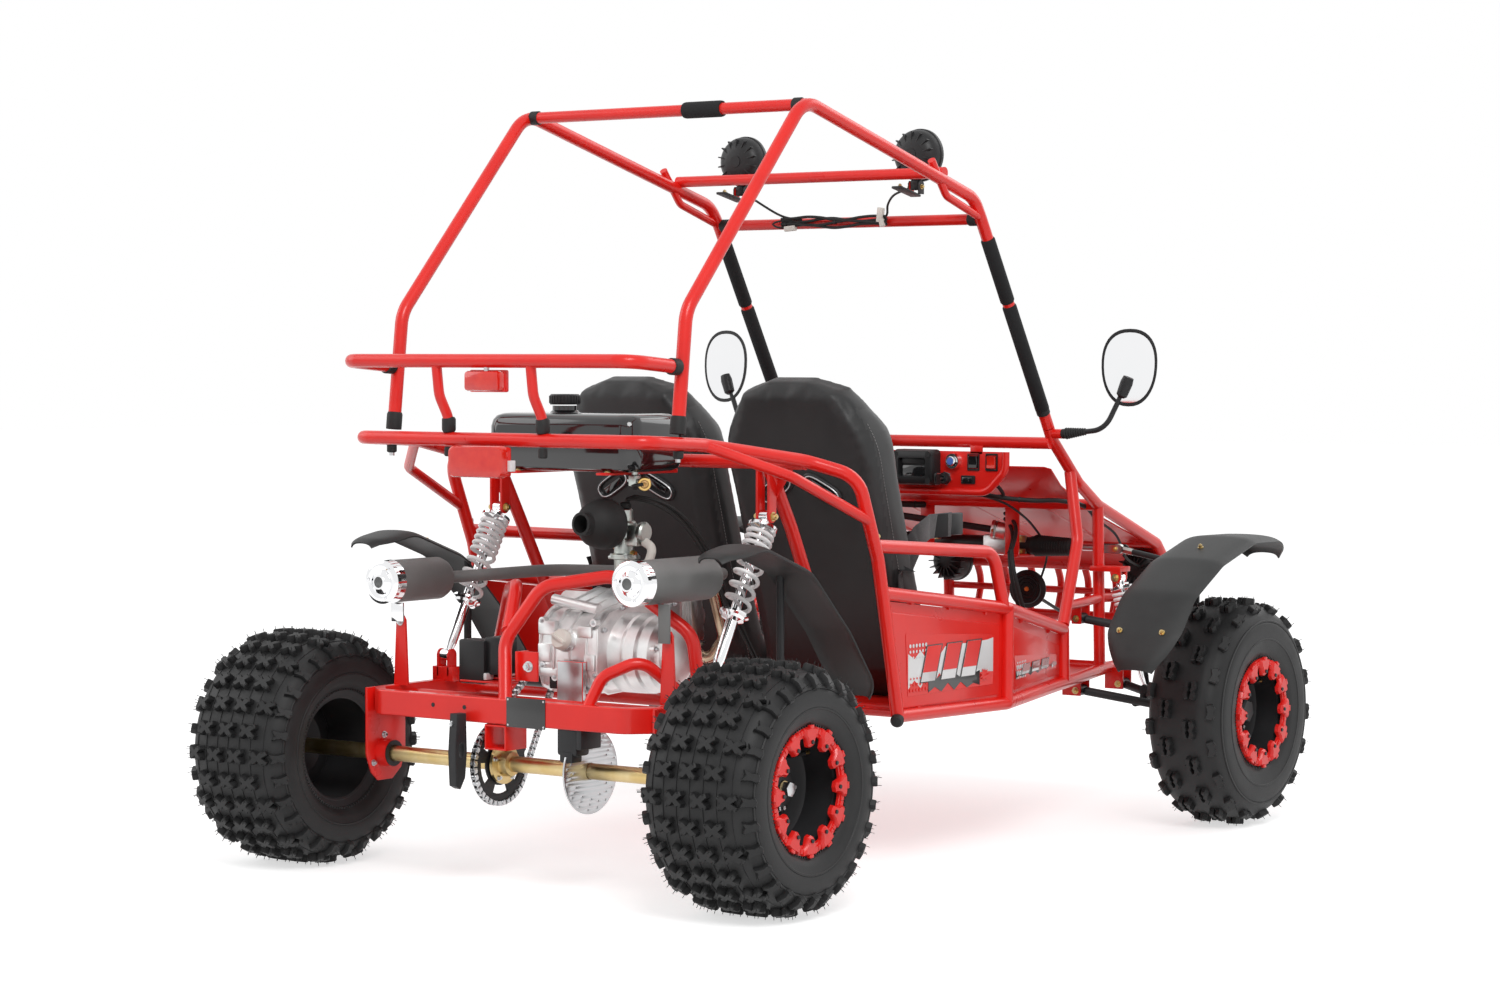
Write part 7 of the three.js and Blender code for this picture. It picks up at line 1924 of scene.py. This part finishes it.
start = Bench()
low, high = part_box("start_button")
start_middle = (low + high) / 2
near, far = low.y - start_middle.y, high.y - start_middle.y - 0.0042
start.lathe([(near + 0.0003, 0), (near + 0.0006, 0.0075), (near + 0.0022, 0.0085), (near + 0.0022, 0)], start_middle,
    Y, BLUE, 32)
start.lathe([(near + 0.0020, 0), (near + 0.0015, 0.0090), (near + 0.0030, 0.0101), (near + 0.0055, 0.0101),
    (near + 0.0055, 0.0096), (far, 0.0096), (far, 0)], start_middle, Y, CHROME, 32)
start.dress("start_button", "start_button", "chrome")

key = Bench()
low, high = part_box("ignition_key")
head = Vector((86 * MM, low.y, 714 * MM))
key.rod(Vector((head.x, high.y, head.z)), head + mm(0, 18, 0), 3.4, STEEL, 14)
key.box(head + mm(0, 12, 0), (3.5, 22, 10), STEEL, 0.6)
key.plate(rounded(0.0105, 0.013, 0.006, 5), 5, PLASTIC, head + mm(0, 11.5, 0), Y, Z, 1.2)
key.dress("ignition_key", "ignition_key", "steel")

for node, tone in (("light_switch", TANK), ("kill_switch", LENS)):
    low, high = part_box(node)
    rocker = Bench()
    sections = []
    for share in (-1.0, -0.98, -0.6, 0.0, 0.6, 0.98, 1.0):
        z = (low.z + high.z + share * (high.z - low.z)) / 2
        front = low.y + 0.0008 + 0.0022 * (1 - abs(share)) + (0.0015 if abs(share) == 1 else 0)
        sections.append([Vector((x, y, z)) for x, y in ((low.x, high.y), (low.x, front + 0.0006),
            (low.x + 0.0008, front), (high.x - 0.0008, front), (high.x, front + 0.0006), (high.x, high.y))])
    rocker.loft(sections, tone)
    rocker.dress(node, node, "black_plastic")

# %% [markdown]
# ## Steering
# The wheel's rim is foam over a steel ring, on three spokes. The column ends in a joint, and a shaft runs
# on to the rack's pinion. Ribbed bellows close both ends of the rack, and the rack bar comes out of them.

# %% Steering wheel and shaft
wheel = Bench()
RIM_R = 112 * MM
wheel.sweep(circle(wheel_middle, X, column_up, RIM_R, 64), [10.8 if i % 8 else 10.4 for i in range(64)], FOAM,
    sides=18, closed=True)
for a, b in ring_of(3, 1.0, radians(30)):
    way = X * a + column_up * b
    over = way.cross(column_way)
    wheel.plate("12,-10 106,-8 106,8 12,10", 3, BLACK, wheel_middle, way, over, 0.6,
        [numbers("34,-4 62,-4 62,4 34,4", MM), numbers("70,-3.5 92,-3.5 92,3.5 70,3.5", MM)])
wheel.lathe("-13,0 -13,20 -10,26 6,27 10,20 30,12 30,0", wheel_middle, column_way, PLASTIC, 40)
joint_at = at(-195, 1467, 630.1)
wheel.rod(wheel_middle + column_way * 0.01, joint_at - column_way * 0.014, 9, BLACK, 24)
for reach in (0.118, 0.150):
    wheel.ring("0,9.2 0,11.5 4,11.5 4,9.2", wheel_middle + column_way * reach, column_way, STEEL, 24)
wheel.lathe("-16,9 -14,11.8 -2,12.5 0,11.8 0,0", joint_at - column_way * 0.013, column_way, BLACK, 24)
wheel.dress("steering_wheel", "steering_wheel", "black_paint")

# %% Steering shaft, rack housing and bellows
pinion_top = at(44, 1570, 594)
shaft_way = (pinion_top - joint_at).normalized()
shaft_low = joint_at + shaft_way * 0.0156
shaft_high = joint_at + shaft_way * ((pinion_top - joint_at).length + 0.0045)
shaft = Bench()
shaft.rod(shaft_low, shaft_high, 7.6, BLACK, 24)
shaft.lathe("0,0 0,11.5 3,13.2 20,13.2 25,11 25,0", shaft_low, shaft_way, STEEL, 24)
shaft.add(bolts([(shaft_low + shaft_way * 0.013 + shaft_way.orthogonal().normalized() * 0.0125,
    shaft_way.orthogonal(), 3.6)], STEEL))
shaft.dress("steering_shaft", "steering_shaft", "black_paint")

box = Bench()
RACK_Y, RACK_Z = 1600, 560
box.ring("-130,7.8 -130,17 -126,18.5 126,18.5 130,17 130,7.8", at(0, RACK_Y, RACK_Z), X, PLASTIC, 32)
box.box(at(50, RACK_Y, RACK_Z), (70, 43, 45), CAST, 6)
pinion_start = pinion_top + shaft_way * 0.0005
for start, long, radius in ((0.0, 0.006, 0.0215), (0.0055, 0.026, 0.019)):
    box.ring([(0, 0.0086), (0, radius - 0.001), (0.001, radius), (long, radius), (long, 0.0086)], pinion_start
        + shaft_way * start, shaft_way, CAST, 32)
flange_across = shaft_way.cross(Z).normalized()
box.plate("-34,-12 -20.4,-20 20.4,-20 34,-12 34,12 20.4,20 -20.4,20 -34,12", 4, ZINC, pinion_start
    + shaft_way * 0.010, flange_across, shaft_way.cross(flange_across), 0.8, [ring_of(20, 0.0092)])
box.add(bolts([(pinion_start + shaft_way * 0.008 + flange_across * a, -shaft_way, 4) for a in (-0.026, 0.026)],
    YELLOW_ZINC))
for side, hand in SIDES:
    box.box(at(hand * 109, RACK_Y - 14, RACK_Z), (28, 6, 44), ZINC, 1)
    box.add(bolts([(at(hand * 109, RACK_Y - 17, RACK_Z + z), -Y, 4) for z in (-15, 15)], YELLOW_ZINC))
    ribs = [(0.131, 0.0078), (0.131, 0.0205), (0.136, 0.0205)]
    for i in range(15):
        ribs += [(0.1385 + i * 0.0062, 0.0185 - i * 0.00015), (0.1415 + i * 0.0062, 0.0238 - i * 0.0003)]
    ribs += [(0.232, 0.015), (0.2355, 0.0145), (0.2355, 0.0078)]
    box.ring(ribs, at(0, RACK_Y, RACK_Z), (hand, 0, 0), SOFT_RUBBER, 40)
box.dress("steering_box", "chassis", "black_plastic")

bar = Bench()
bar.rod(at(-290, RACK_Y, RACK_Z), at(290, RACK_Y, RACK_Z), 6.8, STEEL, 20)
bar_bolts = []
for side, hand in SIDES:
    bar.box(at(hand * 298, RACK_Y, RACK_Z), (15, 31, 19), BLACK, 1.5)
    for way in (-1, 1):
        bar.plate("-48,-9.5 10,-9.5 16.5,-5 17.5,0 16.5,5 10,9.5 -48,9.5", 4.6, BLACK,
            at(hand * 345, RACK_Y + way * 13.5, RACK_Z), (hand, 0, 0), Z, 0.6)
    bar_bolts.append((at(hand * 345, RACK_Y - 16, RACK_Z), -Y, 5))
    bar.rod(at(hand * 345, RACK_Y - 15.8, RACK_Z), at(hand * 345, RACK_Y + 17, RACK_Z), 3.8, STEEL, 14)
bar.add(bolts(bar_bolts, YELLOW_ZINC))
bar.dress("rack_bar", "rack", "steel")

# %% Pedals
for node, x in (("brake_pedal", -255), ("throttle_pedal", -150)):
    pedal = Bench()
    pivot = at(x, 1490, 332)
    pedal.ring("-13.8,8.6 -13.8,11.8 13.8,11.8 13.8,8.6", pivot, X, BLACK, 28)
    pedal.sweep([pivot + mm(0, 0, 8), at(x, 1478, 400), at(x, 1467, 462)], 5.6, BLACK, bend=0.03, sides=16)
    pedal.box(at(x, 1463.5, 462), (60, 4, 44), BLACK, 1.5)
    for i in range(5):
        pedal.box(at(x, 1460, 446 + i * 8), (56, 3.5, 4), SOFT_RUBBER, 1)
    pedal.box(at(x, 1461, 462), (58, 3, 42), SOFT_RUBBER, 1)
    pedal.dress(node, node, "black_paint")

# %% [markdown]
# ## Head lamps, horn and pads
# Two finned head lamps look forward from the hood's chin, with a disc horn beside them. A foam pad is
# wrapped on the deck's rear bar, and rubber boots close the cage's feet. None of these moves.

# %% Head lamps and horn
for side, hand in SIDES:
    head_lamp = Bench()
    middle = at(hand * 250, 1868, 500)
    head_lamp.lathe("-20,0 -20,24 -12,38 4,44 18,45 20,47 27,47 28.5,44 26.5,41 24,41", middle, Y, PLASTIC, 44)
    head_lamp.lathe("25.5,0 26.5,20 25.5,41 24.5,41 24.5,0", middle, Y, LAMP_GLASS, 44)
    fin = Bench()
    fin.box(mm(0, 0, 30), (24, 2.2, 26), PLASTIC, 0.5)
    add_fins(head_lamp, fin, 16, middle + mm(0, -14, 0))
    head_lamp.box(middle + mm(hand * 20, -4, 48), (50, 20, 6), BLACK, 1)
    head_lamp.rod(middle + mm(hand * 40, -4, 48), at(hand * 293, 1862, 556), 5, BLACK, 14)
    head_lamp.piece("head_lamp_" + side, "chassis")
horn = Bench()
horn_middle = at(25, 1760, 452)
horn.lathe("-18,0 -18,16 -14,22 -6,24 -4,40 1,43 4,43 6,38 9,30 10,0", horn_middle, (0.2, -0.97, 0), PLASTIC, 44)
for radius in (0.013, 0.021, 0.030):
    horn.ring([(0.0085, radius), (0.0115, radius + 0.002), (0.0085, radius + 0.004), (0.006, radius + 0.002)],
        horn_middle, (0.2, -0.97, 0), PLASTIC, 40)
horn.lathe("8,0 8,6 14,5 14,0", horn_middle, (0.2, -0.97, 0), ORANGE, 6)
horn.box(at(25, 1790, 430), (20, 50, 3), BLACK, 0.8)
horn.rod(at(25, 1806, 430), at(25, 1928, 384), 4, BLACK, 12)
horn.piece("horn", "chassis")

# %% Boots on the deck's bars
boots = Bench()
for x in (-110, 110):
    boots.lathe("0,0 0,7.5 4,8.5 16,8.5 18,6 18,0", at(x, -73, 806), -Z, SOFT_RUBBER, 20)
for side, hand in SIDES:
    boots.lathe("0,0 0,9.5 12,9.5 14,7 14,0", at(hand * 337, 27, 803), -Z, SOFT_RUBBER, 20)
    boots.rod(at(hand * 337, 27, 790), at(hand * 337, 27, 783), 5, STEEL, 6)
boots.piece("bar_boots", "chassis")

# %% [markdown]
# ## Cables
# Control cables leave the carburettor's top, arc over the crossover pipe and run down to a clip on the
# swing arm's pivot tube. They hang free. Looms are tied to the frame all the way. Each follows one line
# of points, and a cord's length is measured along that line.


# %% Free control cables
def along_line(points, count=36):
    """A smooth line through the points, at even steps."""
    fine = []
    for i in range(len(points) - 1):
        a, b, c, d = points[max(i - 1, 0)], points[i], points[i + 1], points[min(i + 2, len(points) - 1)]
        for k in range(12):
            t = k / 12
            fine.append(0.5 * (2 * b + (c - a) * t + (2 * a - 5 * b + 4 * c - d) * t * t
                + (3 * b - a - 3 * c + d) * t ** 3))
    fine.append(points[-1].copy())
    reach = [0.0]
    for a, b in zip(fine, fine[1:]):
        reach.append(reach[-1] + (b - a).length)
    line, k = [], 0
    for i in range(count):
        want = reach[-1] * i / (count - 1)
        while k < len(fine) - 2 and reach[k + 1] < want:
            k += 1
        share = (want - reach[k]) / max(reach[k + 1] - reach[k], 1e-9)
        line.append(fine[k].lerp(fine[k + 1], min(share, 1.0)))
    return line


def cable(name, line, diameter, made_of, body):
    curve = bpy.data.curves.new(name, "CURVE")
    curve.dimensions = "3D"
    curve.bevel_depth = diameter / 2
    curve.bevel_resolution = 4
    curve.use_fill_caps = True
    spline = curve.splines.new("POLY")
    spline.points.add(len(line) - 1)
    for point, p in zip(spline.points, line):
        point.co = (*p, 1)
    spline.use_smooth = True
    curve.materials.append(made_of)
    made = placed(name, curve)
    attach(made, body)
    return made, length_of(line)


BUNDLE = row("88,196,694 88,197,702 102,206,710 140,230,700 163,268,672 167,322,626 162,380,568 161,423,506"
    " 178,450,442 196,470,385 200,478,348")
ARC = 6 * MM
CABLE_SIZE = 5.4 * MM
for number, name in enumerate(("throttle_cable", "choke_cable", "vent_hose")):
    turn = 2 * pi * number / 3 + 0.4
    apart = [CABLE_SIZE * 0.62 + ARC * sin(pi * i / (len(BUNDLE) - 1)) ** 2 * (0.4 + 0.3 * number)
        for i in range(len(BUNDLE))]
    shifted = [p + Vector((cos(turn) * a, sin(turn) * a * 0.8, sin(turn) * a * (0.6 if 1 < i < 8 else 0.0))) for i,
        (p, a) in enumerate(zip(BUNDLE, apart))]
    line = along_line(shifted)
    made, long = cable(name, line, CABLE_SIZE, SOFT_RUBBER, "swing")
    if number < 2:
        ferrule = Bench()
        middle = 19 + number
        ferrule.ring("-16,2.9 -16,4.6 -6,4.6 -4,5.6 4,5.6 6,4.2 18,4.2 18,2.9", line[middle],
            line[middle + 1] - line[middle - 1], CHROME, 24)
        ferrule.piece(name + "_adjuster", "swing")
    print(name, round(long, 3), "metres")

clips = Bench()
pivot_end = BUNDLE[-1]
clips.box(pivot_end + mm(0, 0, -4), (24, 16, 9), SOFT_RUBBER, 2)
clips.lathe("0,0 0,11.5 8,11.5 10,9 12,0", at(88, 196, 690), Z, SOFT_RUBBER, 28)
clips.piece("cable_clips", "swing")

# %% Fuel tap
tap = Bench()
tap.rod(at(129, 172, 760), at(129, 172, 750), 6, ZINC, 20)
tap.box(at(129, 172, 742), (18, 18, 22), ZINC, 3)
tap.rod(at(121, 172, 743), at(114, 172, 743), 4.5, ZINC, 6)
tap.rod(at(137, 172, 741), at(155, 166, 738), 5.5, ZINC, 18)
tap_way = Vector((0.58, -0.78, -0.1))
tap.lathe("-8,0 -8,11.5 -6,12.8 4,12.8 6,11.5 6,8 3,7 3,0", at(159, 162, 737), tap_way, BRASS, 32)
tap.lathe("2.8,0 7.5,4.5 6.2,6.8 2.8,7", at(159, 162, 737), tap_way, AMBER, 28)
tap.sweep([at(161, 156, 737), at(153, 150, 735), at(141, 152, 733), at(131, 164, 732)], 3.4, SOFT_RUBBER, bend=0.02,
    sides=14)
tap.rod(at(129, 172, 732), at(129, 172, 725), 5.2, SOFT_RUBBER, 18)
tap.piece("fuel_tap", "chassis")

# %% Looms tied to the frame
def loom(bench, points, radius, ties=()):
    line = along_line(points, max(16, 5 * len(points)))
    bench.sweep(line, radius / MM, SOFT_RUBBER, sides=12)
    for share in ties:
        i = round(share * (len(line) - 2)) + 1
        way = line[min(i + 1, len(line) - 1)] - line[i - 1]
        bench.ring([(-0.0018, radius * 0.8), (-0.0018, radius + 0.0012), (0.0018, radius + 0.0012),
            (0.0018, radius * 0.8)], line[i], way, PLASTIC, 18)


roof = Bench()
for number in range(4):
    waves = [(i / 8, sin(i / 8 * 9.0 + number * 1.9) * sin(pi * i / 8)) for i in range(9)]
    points = [at(-150 + 262 * share, 1042 - 3 * (number % 2), 1251 + 5.2 * (number - 1.5) + 5 * wave) for share,
        wave in waves]
    loom(roof, points, 3.0 * MM, (0.02, 0.5, 0.97) if number == 1 else ())
for size, places, ties in ((2.4, "-205,990,1310 -190,1000,1298 -150,1038,1266 -100,1042,1256", ()),
        (2.4, "200,984,1310 150,1010,1300 118,1036,1282 112,1042,1262 96,1042,1252", ()),
        (2.0, "-90,1042,1250 -140,1040,1256 -172,1040,1250 -160,1040,1242 -140,1041,1240", ())):
    loom(roof, row(places), size * MM, ties)
roof.box(at(-128, 1041, 1239), (26, 12, 11), WHITE_PLUG, 1.5, turn=Matrix.Rotation(-0.08, 3, "Y"))
roof.box(at(100, 1036, 1262), (13, 11, 30), WHITE_PLUG, 1.5, turn=Matrix.Rotation(0.12, 3, "Y"))
roof.box(at(104, 1036, 1246), (10, 10, 16), WHITE_PLUG, 1.5, turn=Matrix.Rotation(-0.2, 3, "Y"))
roof.piece("roof_loom", "chassis")

front = Bench()
for size, places, ties in ((5.0, "20,1334,686 90,1336,682 150,1350,680 206,1372,672 256,1402,668 286,1450,667"
        " 296,1540,652 290,1600,622", (0.06, 0.45, 0.8)), (4.0, "196,1336,704 200,1352,690 196,1366,678 176,1362,676",
        ()), (2.8, "288,1590,626 286,1680,592 284,1716,566 276,1760,530 262,1840,508", ()),
        (2.6, "150,1352,679 172,1420,658 176,1500,622 150,1600,582 104,1700,560 70,1764,520 46,1776,470", ()),
        (4.2, "180,1430,560 196,1412,520 206,1418,470 212,1440,400 212,1450,306", ()),
        (4.2, "168,1440,552 182,1424,510 190,1430,460 196,1452,400 196,1462,306", ()),
        (4.2, "180,1430,560 160,1480,590 120,1540,612 60,1600,628", ()), (4.2, "168,1440,552 150,1484,580"
        " 110,1542,602 60,1600,616", ()),
        (7.0, "-60,1336,700 -130,1370,676 -170,1420,652 -150,1480,648 -110,1540,645", (0.5, 0.9))):
    loom(front, row(places), size * MM, ties)
front.piece("front_loom", "chassis")

pad = Bench()
pad.ring("0,11.3 0,15 4,15.8 84,15.8 88,15 88,11.3", at(52, 430, 1440), X, FOAM, 28)
pad.piece("bar_pad", "chassis")

# %% Update the view layer
bpy.context.view_layer.update()
